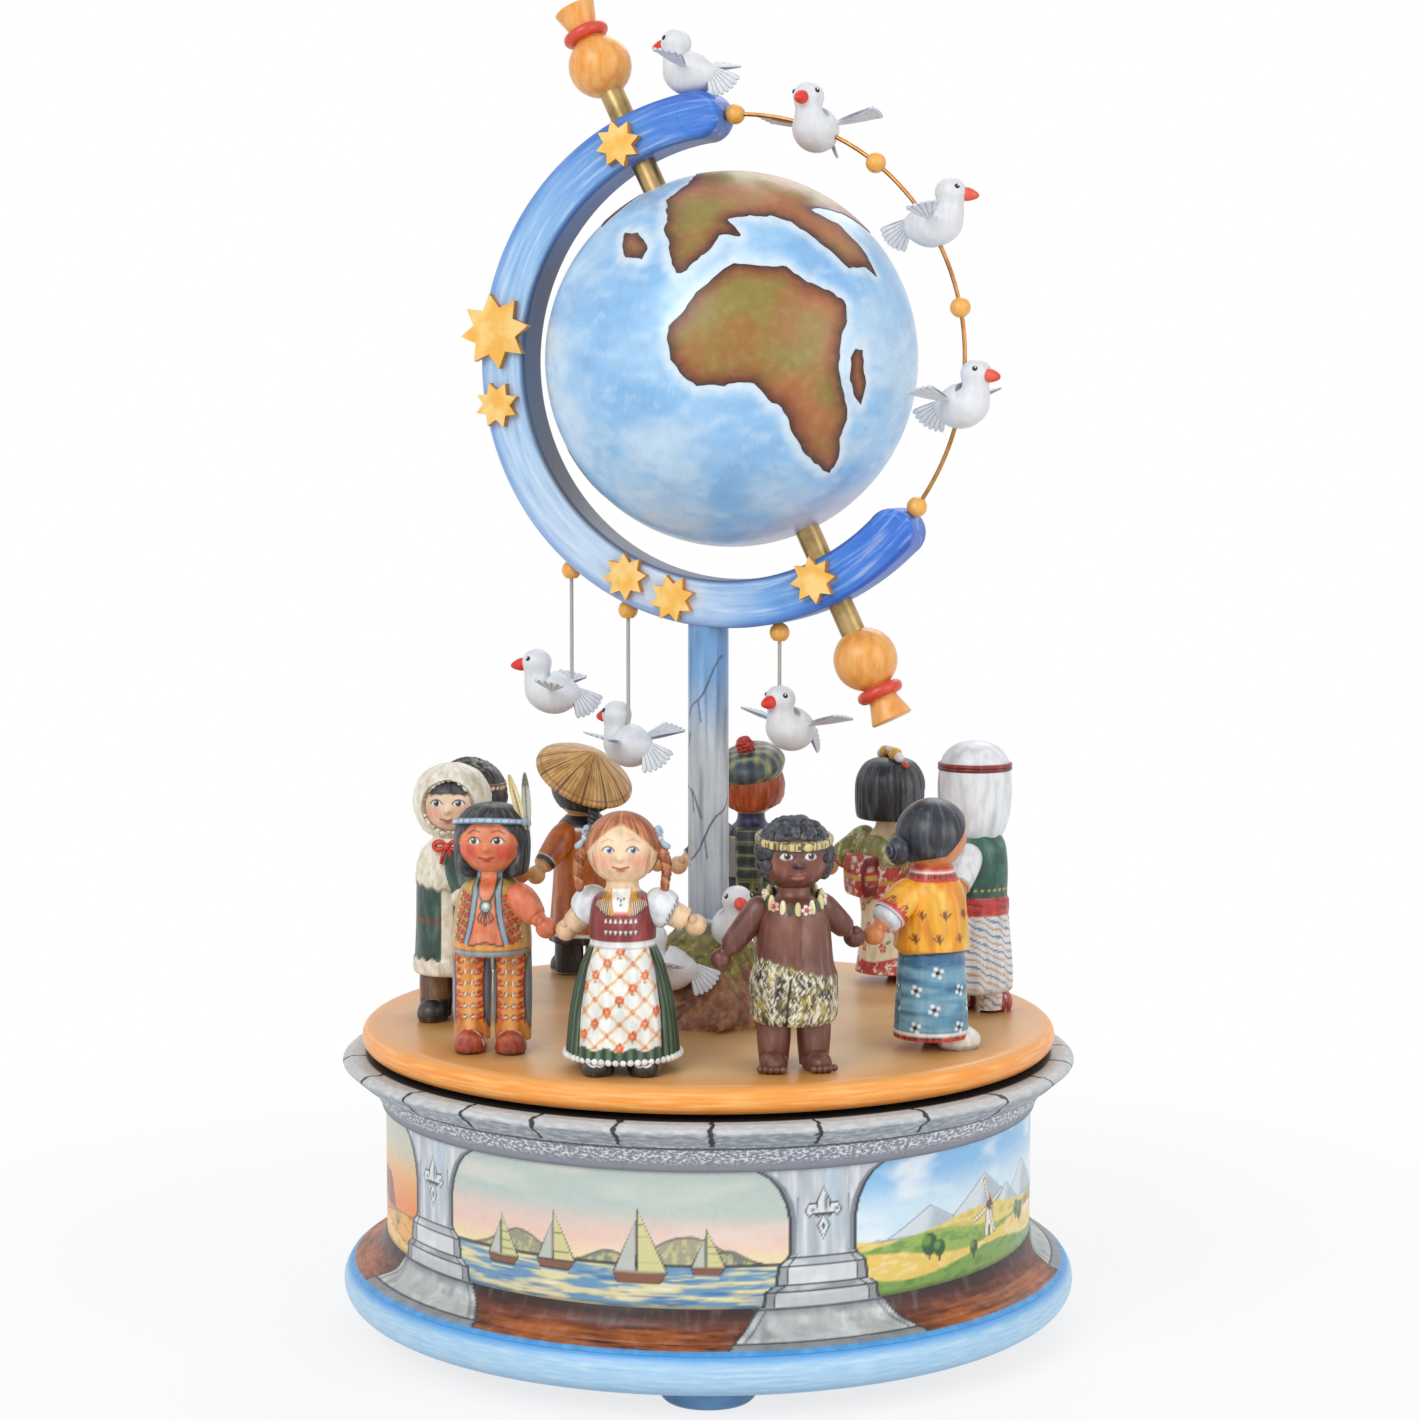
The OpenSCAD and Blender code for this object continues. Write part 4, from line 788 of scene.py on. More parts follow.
def paint_harbour(c, x, y):
    """Sunset bay with sailing boats and low islands."""
    c.fill("bfcdc6")
    c.put(rise(33, 24, y + 0.02 * x), "e6cfc4")
    c.strokes(y, (27, 19, "f3cdbd", 1.0), (22, 14, "f6e2b0", 1.0))
    c.put(rise(0.45, 0.8, marks(x, y, 0.25, 1, 7, 2)), "f4e8de", 0.4)
    for mid, wide, high, col in ((-30, 17, 7.5, "9c9c86"), (27, 22, 9.5, "a7a38c"), (2, 12, 4.2, "8b8f84"),
            (40, 11, 5, "7b8078")):
        hill = 14.4 + high * np.exp(-(((x - mid) / wide) ** 2) * 2.2) - 0.8 + 0.7 * marks(x, x, 1, 0, 3, 4)
        c.put(fall(-0.25, 0.25, y - hill) * (abs(x - mid) < wide * 1.1), "4a4b45", 0.85)
        c.put(fall(-0.3, 0.3, y - hill + 0.7) * (abs(x - mid) < wide * 1.05), col)
        c.put(fall(-0.3, 0.3, y - hill + 0.9) * rise(0.5, 0.6, marks(x, y, 1, 0.7, 1.6, 8))
            * (abs(x - mid) < wide), "cfc98c", 0.8)
    brush_water(c, x, y, 13.6, ("6d9cc0", "f0e3a6", "3f78ad"))
    c.put(rise(14.6, 14.1, y) * rise(13.1, 13.6, y), "3c4146", 0.9)
    for bx, base, s in ((-17, 11.2, 1.0), (11, 9.0, 1.3), (33, 11.8, 0.8), (-37, 10.0, 0.9)):
        for grow, cols in ((0.35, ("33373c",) * 3), (0.0, ("d8d49a", "c4c7bd", "8a5a44"))):
            g = grow / s
            c.blob([(bx + (0.5 - g) * s, base + 2.2 * s), (bx + (7.4 + 2 * g) * s, base + (2.2 - g) * s),
                (bx + (0.5 - g) * s, base + (17 + 2.5 * g) * s)], cols[0])
            c.blob([(bx + (-0.3 + g) * s, base + 2.2 * s), (bx + (-5.2 - 2 * g) * s, base + (2.2 - g) * s),
                (bx + (-0.3 + g) * s, base + (14 + 2.5 * g) * s)], cols[1])
            c.blob([(bx - (5.6 + g) * s, base + (1.6 + g) * s), (bx + (7.6 + g) * s, base + (1.6 + g) * s),
                (bx + (5.6 + g) * s, base - (0.7 + g) * s), (bx - (4.4 + g) * s, base - (0.7 + g) * s)],
                cols[2])
        for k in range(4):
            c.line([(bx + 0.6 * s, base + (4.5 + 3 * k) * s),
                (bx + (5.6 - 1.35 * k) * s, base + (4.5 + 3 * k) * s)], 0.28, "8c8a63")
        c.line([(bx - 4 * s, base - 2 * s), (bx + 5 * s, base - 2.2 * s)], 0.6, "f2edc2", much=0.7)


def paint_meadow(c, x, y):
    """Blue sky, pale mountains and fields with a windmill."""
    c.fill("8cc4f0")
    c.put(rise(40, 26, y), "d6ecfa")
    c.put(rise(0.42, 0.72, marks(x, y, 0.4, 1, 8, 6)), "f4fafd", 0.8)
    for mid, wide, high in ((30, 20, 12.5), (-2, 24, 14.5), (-30, 18, 9), (14, 12, 8)):
        ridge = 18 + high * np.clip(1 - abs(x - mid) / wide, 0, 1) ** 1.1 + 0.5 * marks(x, x, 1, 0, 2.5, 1)
        c.put(fall(-0.2, 0.2, y - ridge), "8fa3b5")
        c.put(fall(-0.2, 0.2, y - ridge + 0.5), "dbe4ea")
        c.put(fall(-0.2, 0.2, y - ridge + 0.8) * rise(-1, 4, (x - mid) + (ridge - y) * 0.3), "a9bccb", 0.8)
    for top, col, alt, seed in ((19.5, "ecd67c", "d9b45c", 1), (16, "9db85c", "6f9a48", 2),
            (11.5, "f2cf6a", "f6e3a0", 3), (6, "7fa64e", "5b8a3e", 4)):
        hill = top + 2.2 * np.sin(x / 13 + seed * 1.9) + 0.6 * marks(x, x, 1, 0, 2, seed)
        f = marks(x, y, 0.4, 1.2, 1.6, seed + 20)
        land = fall(-0.3, 0.3, y - hill)
        c.put(land, col)
        c.put(land * rise(0.5, 0.65, f), alt, 0.8)
    for tx, ty, r in ((-30, 14, 3.4), (-25.6, 12.2, 2.6), (24, 15, 2.4), (28, 13.4, 3.0), (-8, 9, 2.2)):
        c.line([(tx, ty - r - 1.4), (tx, ty)], 0.7, "5b3a25")
        c.oval(tx, ty, r, r * 1.1, "2f5a2c", 0.3)
        c.oval(tx - 0.4 * r, ty + 0.4 * r, r * 0.55, r * 0.5, "6d9a45", 0.6)
    c.blob([(-1.6, 11), (4.6, 11), (3.6, 21), (-0.6, 21)], "6c6258")
    c.blob([(-1.2, 11.2), (4.1, 11.2), (3.2, 20.6), (-0.2, 20.6)], "f2ebdc")
    c.blob([(-1.2, 20.8), (4.2, 20.8), (1.5, 24.6)], "c23a2c")
    c.line([(1.5, 11.3), (1.5, 13.8)], 1.4, "6b4428")
    for a in (20, 110, 200, 290):
        d = np.radians(a)
        tip = (1.5 + 9.4 * math.cos(d), 21 + 9.4 * math.sin(d))
        c.line([(1.5, 21), tip], 1.7, "5e5349")
        c.line([(1.5 + 2.4 * math.cos(d), 21 + 2.4 * math.sin(d)), tip], 1.1, "efe6d4")
    for hx in (34, 40):
        c.blob([(hx, 10.4), (hx + 4.6, 10.4), (hx + 4.6, 13.6), (hx, 13.6)], "f5efe2")
        c.blob([(hx - 0.6, 13.4), (hx + 5.2, 13.4), (hx + 2.3, 16.6)], "d2422e")


def paint_dunes(c, x, y):
    """Desert evening with a sun, a table mountain and dunes."""
    c.fill("c9cdbb")
    c.strokes(y, (38, 25, "f0b877", 1.0), (30, 16, "ee8f4c", 1.0))
    c.oval(-22, 24, 4.4, 4.4, "fbe9a8", 0.8)
    c.blob([(4, 13), (8, 23), (11, 24.4), (30, 24), (33, 21.6), (38, 13)], "8a4a34")
    c.blob([(5, 13), (8.6, 22.6), (11, 23.8), (20, 23.6), (18, 13)], "b5643f")
    for top, col, alt, seed in ((15, "e79248", "c9672f", 1), (10.5, "f2b35c", "d98a3f", 2),
            (6, "f5cd74", "dfa04c", 3)):
        hill = top + 3.0 * np.sin(x / 15 + seed * 2.3)
        f = marks(x, y, 0.35, 1.4, 1.5, seed + 30)
        land = fall(-0.25, 0.25, y - hill)
        c.put(land, col)
        c.put(land * rise(0.48, 0.66, f), alt, 0.75)
        c.put(fall(0.1, 0.5, abs(y - hill)), "8d4a28", 0.7)
    for gx, gy, s in ((-6, 10, 1.0), (40, 8, 1.2), (-36, 7, 1.1)):
        for a in (60, 80, 100, 120, 45, 135):
            d = np.radians(a)
            c.line([(gx, gy), (gx + 5 * s * math.cos(d), gy + 5 * s * math.sin(d))], 0.5, "4f7a3c")


def paint_pines(c, x, y):
    """Snow field at dusk with pines."""
    c.fill("a9b9dd")
    c.put(rise(38, 20, y), "f0d6dc")
    for top, col, seed in ((17, "c9d6e6", 1), (11, "eef2f7", 2)):
        hill = top + 2.6 * np.sin(x / 17 + seed * 2.1)
        c.put(fall(-0.3, 0.3, y - hill), col)
    for tx, ty, s in ((-34, 8, 1.0), (-24, 11, 0.8), (-12, 7, 1.25), (6, 12, 0.7), (18, 8, 1.1),
            (30, 10, 0.9), (39, 6, 1.2)):
        for k in range(4):
            w, z0 = (5.2 - 1.1 * k) * s, ty + (1.4 + 3.4 * k) * s
            c.blob([(tx - w, z0), (tx + w, z0), (tx, z0 + 5.6 * s)], "2c4a3c")
            c.blob([(tx - w * 0.9, z0 + 0.7 * s), (tx - w * 0.1, z0 + 1.2 * s), (tx, z0 + 5.2 * s)],
                "dfe9ee", much=0.75)
    c.put(rise(0.62, 0.7, marks(x, y, 1, 1.4, 2.2, 9)) * (y < 10), "c3d2e4", 0.8)


def paint_lagoon(c, x, y):
    """Blue lagoon with rocks and clouds."""
    c.fill("9fd0ee")
    c.put(rise(0.48, 0.66, marks(x, y, 0.45, 1, 6, 14)), "fbf7f0", 0.9)
    for mid, wide, high in ((-30, 10, 15), (-18, 7, 9), (26, 12, 17), (38, 8, 10)):
        rock = 12 + high * np.clip(1 - abs(x - mid) / wide, 0, 1) ** 0.6 + 0.8 * marks(x, x, 1, 0, 2, 7)
        c.put(fall(-0.25, 0.25, y - rock) * (abs(x - mid) < wide), "5d6a4a")
        c.put(fall(-0.25, 0.25, y - rock + 0.6) * (abs(x - mid) < wide) * rise(0.4, 0.62,
            marks(x, y, 1, 0.5, 1.8, 3)), "a9b274", 0.9)
    brush_water(c, x, y, 13, ("4fa0b8", "bfe3dc", "2f7fa6"))
    c.put(rise(5.5, 3, y + 1.4 * np.sin(x / 9)), "ecd9a6")


def paint_rim():
    """Sky blue rim and feet."""
    f = Finish("rim_paint", coat=0.15)
    x, y, z = f.xyz()
    ang = f.math("ARCTAN2", y, x)
    streak = f.noise(1.0, 5, f.vec(ang * 14.0, z * 1.3, 0.0))
    colour = f.mix(f.smooth(0.45, 0.7, streak) * 0.55, ink("rim_blue"), "d3e6f4")
    colour = f.mix(f.smooth(0.48, 0.3, streak) * 0.4, colour, "8dbde2")
    colour = f.mix(f.smooth(15.2, 17.8, z) * 0.9, colour, "4aa0e8")
    colour = f.mix(f.smooth(10.5, 7.0, z) * 0.75, colour, "7aa9cf")
    colour = f.mix(f.smooth(6.6, 5.6, z), colour, f.mix(f.noise(0.2, 3), "5b8dbb", "7fb0da"))
    dress(f.done(colour, streak * 0.15 + 0.36, streak, 0.08), "base_plate", "feet")


def paint_floor():
    """Cove round the foot of the drum and the top of the rim: wood boards and stone slabs."""
    nose = PLATE_R - PLATE_T / 2
    low, high = np.array([nose, 0.4]), np.array([DRUM_R, COVE_H])
    cove = curve([high, (low + high) / 2 - 1.1, low], 0.45) + np.array([0.18, 0.14])
    turn = np.radians(np.linspace(86, 46, 14))[:, None]
    rim = np.c_[nose + (PLATE_T / 2 + 0.14) * np.cos(turn), (PLATE_T / 2
        + 0.14) * np.sin(turn) - PLATE_T / 2]
    prof = np.vstack([cove, rim])
    run = np.r_[0, np.cumsum(np.linalg.norm(np.diff(prof, axis=0), axis=1))][:, None]
    a = np.linspace(-180, 180, 950, endpoint=False)[None]
    t, s = pillar_offset(a) * np.ones_like(run), run * np.ones_like(a)
    c = Canvas(t, s, "63291a")
    boards = a * np.ones_like(run)
    wood = marks(boards, s, 0.2, 1.1, 1.3, 2)
    glow = np.exp(-(((abs(t) - 27) / 9) ** 2)) * rise(4.0, 8.0, s)
    c.put(glow, "b5622c", 0.9)
    c.put(rise(0.45, 0.7, wood) * rise(2, 6, s), "c97f45", 0.4)
    c.put(rise(0.5, 0.22, wood), "2c120c", 0.8)
    # Painted shadow in the cove at the foot of the drum
    c.put(rise(5.0, 0.6, s), "1c0f0c", 0.88)
    half = np.interp(s, [0, 11.0, 13.0], [10.8, 15.4, 15.8])
    slab = fall(-0.1, 0.1, abs(t) - half)
    c.put(slab, "bcc2c1")
    c.put(slab * rise(0.5, 0.72, marks(t, s, 1, 0.8, 2.2, 5)), "e0e4e1", 0.7)
    c.put(slab * rise(0.46, 0.25, marks(t, s, 1, 0.8, 2.6, 9)), "8c9499", 0.6)
    c.strokes(s, (3.2, 0.6, "7d848c", 0.8), (10.4, 10.7, "8b8f95", 0.9), on=slab)
    for at in (10.5, 0.5):
        c.put(slab * fall(0.16, 0.38, abs(s - at)), "2f3338", 0.9)
    c.put(fall(0.16, 0.36, abs(abs(t) - half)), "26292d", 0.92)
    c.put(slab * fall(0.12, 0.3, abs(abs(t) - half + 1.5)) * (s < 10.5), "596068", 0.8)
    c.put(rise(13.3, 13.6, s), "4fa3e6")
    p = turn_points(np.radians(a), prof[:, :1], prof[:, 1:] + DRUM_FOOT)
    m = Model().grid(p[::-1], c.c[::-1], low=False, high=False)
    m.make("base_floor_paint", brushed("floor_paint", 0.4, 0.3, 0.25), "base", "base_paint")


def paint_drum():
    """Drum: five painted bays between five pillars."""
    pictures = (paint_harbour, paint_meadow, paint_lagoon, paint_pines, paint_dunes)
    step = size("panel_step")
    tall = DRUM_HEAD - DRUM_FOOT - COVE_H
    high = np.linspace(0, tall, int(tall / step))[:, None]
    grow = PICTURE_H / tall
    for k, picture in enumerate(pictures):
        left, right = PILLARS[k], PILLARS[(k + 1) % 5] + (360 if k == 4 else 0)
        a = np.linspace(left, right, int(math.radians(right - left) * DRUM_R / step))[None]
        x = np.radians(a - (left + right) / 2) * DRUM_R * grow * np.ones_like(high)
        y = high * grow * np.ones_like(a)
        c = Canvas(x, y, "c3c9cf")
        picture(c, x, y)
        # Painted shadow along the foot of each picture, over the cove
        c.put(rise(2.0, 0.4, y), "3b2a24", 0.55)
        paint_pillar(c, np.radians(pillar_offset(a)) * DRUM_R * grow * np.ones_like(high), y)
        p = turn_points(np.radians(a), DRUM_R + 0.12, high + DRUM_FOOT + COVE_H)
        m = Model().grid(p, c.c, wrap=False)
        m.make("drum_painting_%d" % (k + 1), brushed("panel_paint", 0.34, 0.5, 0.05, 0.03, (1, 1, 1),
            coat=0.15), "base", "drum_paint")
    f = Finish("drum_wood")
    g = f.noise(0.25, 4)
    dress(f.done(f.mix(g, "9a6b45", "c69a6c"), g * 0.2 + 0.5, g, 0.1), "drum")


def paint_cornice():
    """Cornice: slabs with dark joints over a dabbed band."""
    f = Finish("cornice_stone")
    x, y, z = f.xyz()
    ang = f.math("ARCTAN2", y, x)
    wob = f.noise(0.35, 2)
    u = ang * (SLABS / (2 * math.pi)) + (wob - 0.5) * 0.14 + f.math("SINE", ang * 3.0) * 0.22
    slab = f.math("FLOOR", u)
    part = f.math("SUBTRACT", u, slab)
    each = f.noise(7.31, 0, f.vec(slab * 3.17, 0.0, 0.0))
    grain = f.noise(0.55, 5, f.vec(ang * 60.0, z * 1.4, f.math("SQRT", x * x + y * y) * 1.4))
    stone = f.mix(f.smooth(0.35, 0.7, grain), "8e979f", "c9cfd3")
    stone = f.mix(f.smooth(0.3, 0.7, each) * 0.5, stone, f.mix(0.5, stone, "6f7a86"))
    stone = f.mix(f.smooth(75.4, 77.2, z) * 0.55, stone, "e4e6e6")
    gap = f.math("MINIMUM", part, 1.0 - part)
    line = f.smooth(0.034, 0.014, gap)
    stone = f.mix(line, stone, "2f3136")
    rim = f.math("SQRT", x * x + y * y)
    # Painted shadow of the turntable disc on the cornice top, inside the disc's rim
    stone = f.mix(f.smooth(98.8, 97.8, rim) * f.smooth(77.2, 77.7, z), stone, "2c241f")
    low = f.smooth(72.2, 71.2, z)
    dab = f.noise(0.8, 4, f.vec(ang * 95.0, z * 1.6, 0.0), 0.6)
    band = f.mix(f.smooth(0.46, 0.6, dab) * f.smooth(65.2, 67.5, z), "8d8f9b", "e9ecf2")
    band = f.mix(f.smooth(71.6, 70.6, z) * f.smooth(69.9, 70.6, z), band, "55585f")
    band = f.mix(f.smooth(65.0, 63.8, z) * 0.6, band, "5f636c")
    dress(f.done(f.mix(low, stone, band), grain * 0.25 + 0.42, f.math("SUBTRACT", grain * 0.6 + dab * 0.4,
        line * 2.0), 0.22), "cornice")


class MUSICBOX_OT_base(bpy.types.Operator):
    """Base plate, feet, painted drum and stone cornice."""

    bl_idname = "musicbox.base"
    bl_label = "Base"

    def execute(self, context):
        paint_rim()
        paint_floor()
        paint_drum()
        paint_cornice()
        return {"FINISHED"}


def polish_movement():
    brass = metal("movement_brass", "d9b25f", "a87f38", 0.32)
    steel = metal("movement_steel", "b9bcc0", "85888d", 0.3, (0.1, 1, 1))
    dress(brass, "turntable_bush", "movement_bedplate", "governor_case", "winding_key", "spring_barrel",
        "pinned_cylinder")
    dress(steel, "screws", "comb", "governor_fan", "winding_arbor", "drive_shaft")


class MUSICBOX_OT_movement(bpy.types.Operator):
    """Brass and steel of the clockwork and its key."""

    bl_idname = "musicbox.movement"
    bl_label = "Movement"

    def execute(self, context):
        polish_movement()
        return {"FINISHED"}


# Order, angle, facing and ring of the children, and sizes that several pieces share

ORDER = ["apron_girl", "curly_boy", "blouse_girl", "headcloth_boy", "kimono_girl", "tam_boy",
    "straw_hat_child", "beaded_child", "hood_child", "feather_boy"]
CHILD_A = [-107, -73, -38, 4, 44, 80, 120, 157, 185, 220.5]
CHILD_F = [-92, -84, 28, 62, 20, 80, 112, 157, -94, -96]
RING_R = 77.0
RING = [RING_R] * 8 + [RING_R * 0.95, RING_R]
HEAD_R, HAND_R = 9.3, 2.9
ROOTS, LEAVES, POLE_R = 15, 24, 5.8


# Turntable, mound and pole


def stain_and_shade_disc():
    """Stained disc, with painted shadow under the children, and darker at its edge."""
    f = Finish("disc_stain", coat=0.2)
    x, y, z = f.xyz()
    rim = f.math("SQRT", x * x + y * y)
    ang = f.math("ARCTAN2", y, x)
    grain = f.noise(0.035, 3, f.vec(x * 0.5, y, z))
    fine = f.noise(0.5, 4, f.vec(x * 0.2, y, z))
    top = f.mix(f.smooth(0.35, 0.7, grain), ink("disc_tan"), "dba768")
    top = f.mix(f.smooth(0.5, 0.8, fine) * 0.1, top, "c08c4e")
    top = f.mix(f.smooth(76.0, 97.0, rim) * 0.75, top, "ee9f48")
    # Painted shadow of each child on the disc, round its feet
    for k in range(10):
        ax, ay = RING[k] * math.cos(math.radians(CHILD_A[k])), RING[k] * math.sin(math.radians(CHILD_A[k]))
        away = f.math("SQRT", f.math("POWER", x - ax, 2.0) + f.math("POWER", y - ay, 2.0))
        top = f.mix(f.smooth(20.0, 8.0, away) * 0.42, top, "9a6a35")
    top = f.mix(f.smooth(42.0, 25.0, rim) * 0.4, top, "94683a")
    streak = f.noise(1.0, 4, f.vec(ang * 7.0, z * 1.1, 0.0))
    edge = f.mix(f.smooth(0.4, 0.72, streak), ink("disc_orange"), "ffbe6e")
    edge = f.mix(f.smooth(82.0, 79.8, z) * 0.7, edge, "c4671c")
    colour = f.mix(f.smooth(97.2, 98.4, rim), top, edge)
    dress(f.done(f.mix(f.smooth(79.6, 79.4, z), colour, "5a3418"), fine * 0.12 + 0.34, fine, 0.015),
        "turntable_disc")


def carve_mound():
    """Mound: moss above, rock and wood in the middle, roots below."""
    m = Model()
    a = ring_angles(170)[None]
    prof = curve([[26.5, -0.2], [25.4, 3.0], [21.4, 8.0], [18.2, 13], [14.4, 19], [10.2, 24.6], [7.6, 27.0],
        [5.9, 27.6]], 0.45)
    r, z = prof[:, :1] * np.ones_like(a), prof[:, 1:] * np.ones_like(a)
    p = turn_points(a, r, z)
    lump = mottle(p, 8.0, 4) - 0.5
    rough = mottle(p, 1.5, 9) - 0.5
    up = z / 27.0
    r = r + (lump * 5.0 * (1 - 0.5 * up) + rough * 0.9 * up) * rise(0.0, 0.06, 1 - up)
    c = Canvas(a * r, z, "8a5a40")
    rock = mottle(p * np.array([1, 1, 2.0]), 4.0, 6)
    c.strokes(rock, (0.5, 0.7, "b8804f", 0.8), (0.45, 0.2, "4d2c20", 0.8))
    c.put(rise(10, 18, z + lump * 10), "9b6a3a", 0.8)
    moss = rise(11.5, 17.5, z + lump * 12 + rough * 5)
    c.put(moss, "7d7434")
    c.put(moss * rise(0.5, 0.7, mottle(p, 1.1, 3)), "b9ac5a", 0.8)
    c.put(moss * rise(0.48, 0.25, mottle(p, 1.7, 2)), "3f3f1c", 0.8)
    c.put(rise(22, 26, z), "9a9c8c", 0.5)
    m.grid(turn_points(a, r, z + DECK), c.c, low=False, high=False)
    rng = np.random.default_rng(7)
    for k in range(ROOTS):
        d = 2 * math.pi * (k + rng.uniform(-0.3, 0.3)) / ROOTS
        top, far = rng.uniform(7, 15), rng.uniform(27.0, 31.0)
        pts = []
        for s in np.linspace(0, 1, 6):
            rad = 12 + (far - 12) * s
            bend = d + 0.28 * math.sin(s * 3 + k)
            pts.append((rad * math.sin(bend), -rad * math.cos(bend),
                DECK + max(1.6, top * (1 - s) ** 1.5 + 1.7)))
        body = rng.choice(["7a4b36", "8d5c44", "6a3f2e", "9c6a4c"])
        m.tube(pts, [3.6, 3.4, 2.9, 2.3, 1.9, 1.2], body, 14, 0.8)
    m.make("root_mound_carving", brushed("mound_moss", 0.55, 0.6, 0.4, 0.2, (1, 1, 0.5)), "turntable",
        "mound_paint", ("root_mound",))


def paint_pole():
    """Pole with painted cracks."""
    lo, hi = (corner.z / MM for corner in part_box("pole"))
    a = ring_angles(120)[None]
    z = np.arange(lo, hi, 0.6)[:, None]
    c = Canvas(np.degrees(a) * np.ones_like(z), z * np.ones_like(a), "c4ccd4")
    u, v = c.u, c.v
    streak = marks(u, v, 0.08, 0.03, 1.0, 2)
    c.strokes(streak, (0.5, 0.75, "dfe5ea", 0.8), (0.5, 0.25, "8f98a3", 0.8))
    c.strokes(v, (150, 118, "98a1a9", 0.6), (162, 190, "5f9ad2", 0.92))
    c.put(rise(0.55, 0.75, streak) * rise(165, 185, v), "8dbce8", 0.6)
    c.put(rise(0.45, 0.25, streak) * rise(165, 185, v), "4a80bd", 0.5)
    for start, rise_mm, turn in ((-75, 172, 120), (-60, 132, 130), (-20, 146, -90), (100, 160, 110),
            (150, 128, 120), (-160, 150, 100), (30, 112, 110)):
        path = [(start + turn * s, rise_mm + (19 if turn > 0 else 14) * s + 1.4 * math.sin(9 * s + start))
            for s in np.linspace(0, 1, 9)]
        wide = Canvas(u * 0.1, v, "000000")
        wide.line([(q[0] * 0.1, q[1]) for q in path], 0.55, "ffffff")
        wide.line([(path[3][0] * 0.1, path[3][1]), (path[3][0] * 0.1 + 0.8, path[3][1] - 6)], 0.4, "ffffff")
        c.put(wide.c[..., 0], "454d58", 0.92)
    m = Model().grid(turn_points(a, POLE_R, z), c.c, high=False, low=False)
    m.make("pole_painting", brushed("pole_gloss", 0.3, 0.3, 0.2, 0.04, coat=0.3), "turntable",
        "pole_paint", ("pole",))


class MUSICBOX_OT_turntable(bpy.types.Operator):
    """Stained disc with painted shadow under the children, mossy root mound and painted pole."""

    bl_idname = "musicbox.turntable"
    bl_label = "Turntable"

    def execute(self, context):
        stain_and_shade_disc()
        carve_mound()
        paint_pole()
        return {"FINISHED"}


# Crescent, globe and doves


def in_crescent(p):
    """Points from the crescent's plane, x along it, y up and z towards the viewer, to the frame."""
    c, s = math.cos(ARC_TURN), math.sin(ARC_TURN)
    x, y = p[..., 0] + ARC_OFF, -p[..., 2]
    return np.stack([x * c - y * s, x * s + y * c, p[..., 1] + GLOBE_Z], -1)


def paint_crescent():
    f = Finish("crescent_glaze", coat=0.15)
    x, y, z = f.xyz(ARC_TURN, tuple(GLOBE_AT))
    ang = f.math("ARCTAN2", z * -1.0, x * -1.0)
    rad = f.math("SQRT", x * x + z * z)
    along = (ang - ARC_START) / ARC_SPAN
    wob = f.noise(0.12, 2)
    streak = f.noise(0.7, 5, f.vec(ang * 6.0, rad * 1.0, y * 0.6))
    t = along + (wob - 0.5) * 0.06
    body = f.ramp(t, (0.0, "2f74d4"), (1.0, "2f74d6"), (0.1, "5492dd"), (0.2, "86b6e6"), (0.36, "a9cff2"),
        (0.55, "bcd7f3"), (0.74, "cddff2"), (0.84, "7db0e6"), (0.91, "3f86dc"))
    body = f.mix(f.smooth(0.48, 0.72, streak) * 0.55, body, f.mix(0.55, body, "ffffff"))
    body = f.mix(f.smooth(0.5, 0.25, streak) * 0.4, body, f.mix(1.0, body, "9fb6dc", "MULTIPLY"))
    outer = f.smooth(71.0, 75.2, rad)
    body = f.mix(outer * 0.65, body, f.mix(1.0, body, "7fa6de", "MULTIPLY"))
    # Painted shade on the inner face, which looks towards the globe
    inner = f.smooth(63.4, 61.9, rad)
    body = f.mix(inner * 0.9, body, f.mix(f.smooth(0.1, 0.5, along) * f.smooth(0.95, 0.6, along),
        "4a6aa6", "52617d"))
    dress(f.done(body, streak * 0.2 + 0.36, streak, 0.07), "meridian_arc")
    f = Finish("star_gold", coat=0.1)
    x, y, z = f.xyz(ARC_TURN, tuple(GLOBE_AT))
    face = f.smooth(-(ARC_D / 2 + 2.45), -(ARC_D / 2 + 2.55), y)
    g = f.noise(0.5, 4)
    front = f.mix(f.smooth(0.35, 0.65, f.noise(0.16, 2)), ink("star_yellow"), "fbd583")
    dress(f.done(f.mix(face, f.mix(g, "c9761f", "e59a3c"), front), g * 0.2 + 0.38, g, 0.06), "arc_stars")
    f = Finish("bead_stain", coat=0.25)
    g = f.noise(0.6, 3)
    dress(f.done(f.mix(g, "e9982f", "f9c468"), g * 0.15 + 0.3, g, 0.04), "wire_beads")
    f = Finish("finial_stain", coat=0.3)
    x, y, z = f.xyz()
    g = f.noise(0.5, 4, f.vec(x, y, z * 0.25))
    dress(f.done(f.mix(f.smooth(0.3, 0.7, g), ink("finial_orange"), "f3b261"), g * 0.2 + 0.26, g, 0.04),
        "finials")
    f = Finish("collar_red", coat=0.3)
    g = f.noise(0.7, 3)
    dress(f.done(f.mix(g, "c3281c", "e4553a"), g * 0.15 + 0.32, g, 0.04), "finial_collars")
    dress(metal("axle_tube", "b49a6a", "7b6640", 0.34, (0.3, 0.3, 0.3)), "globe_axle")
    dress(metal("wire_drawn", "c98f56", "96602f", 0.3), "dove_wire")


class MUSICBOX_OT_crescent(bpy.types.Operator):
    """Painted crescent with its stars, wire, beads, axle and finials."""

    bl_idname = "musicbox.crescent"
    bl_label = "Crescent"

    def execute(self, context):
        paint_crescent()
        return {"FINISHED"}


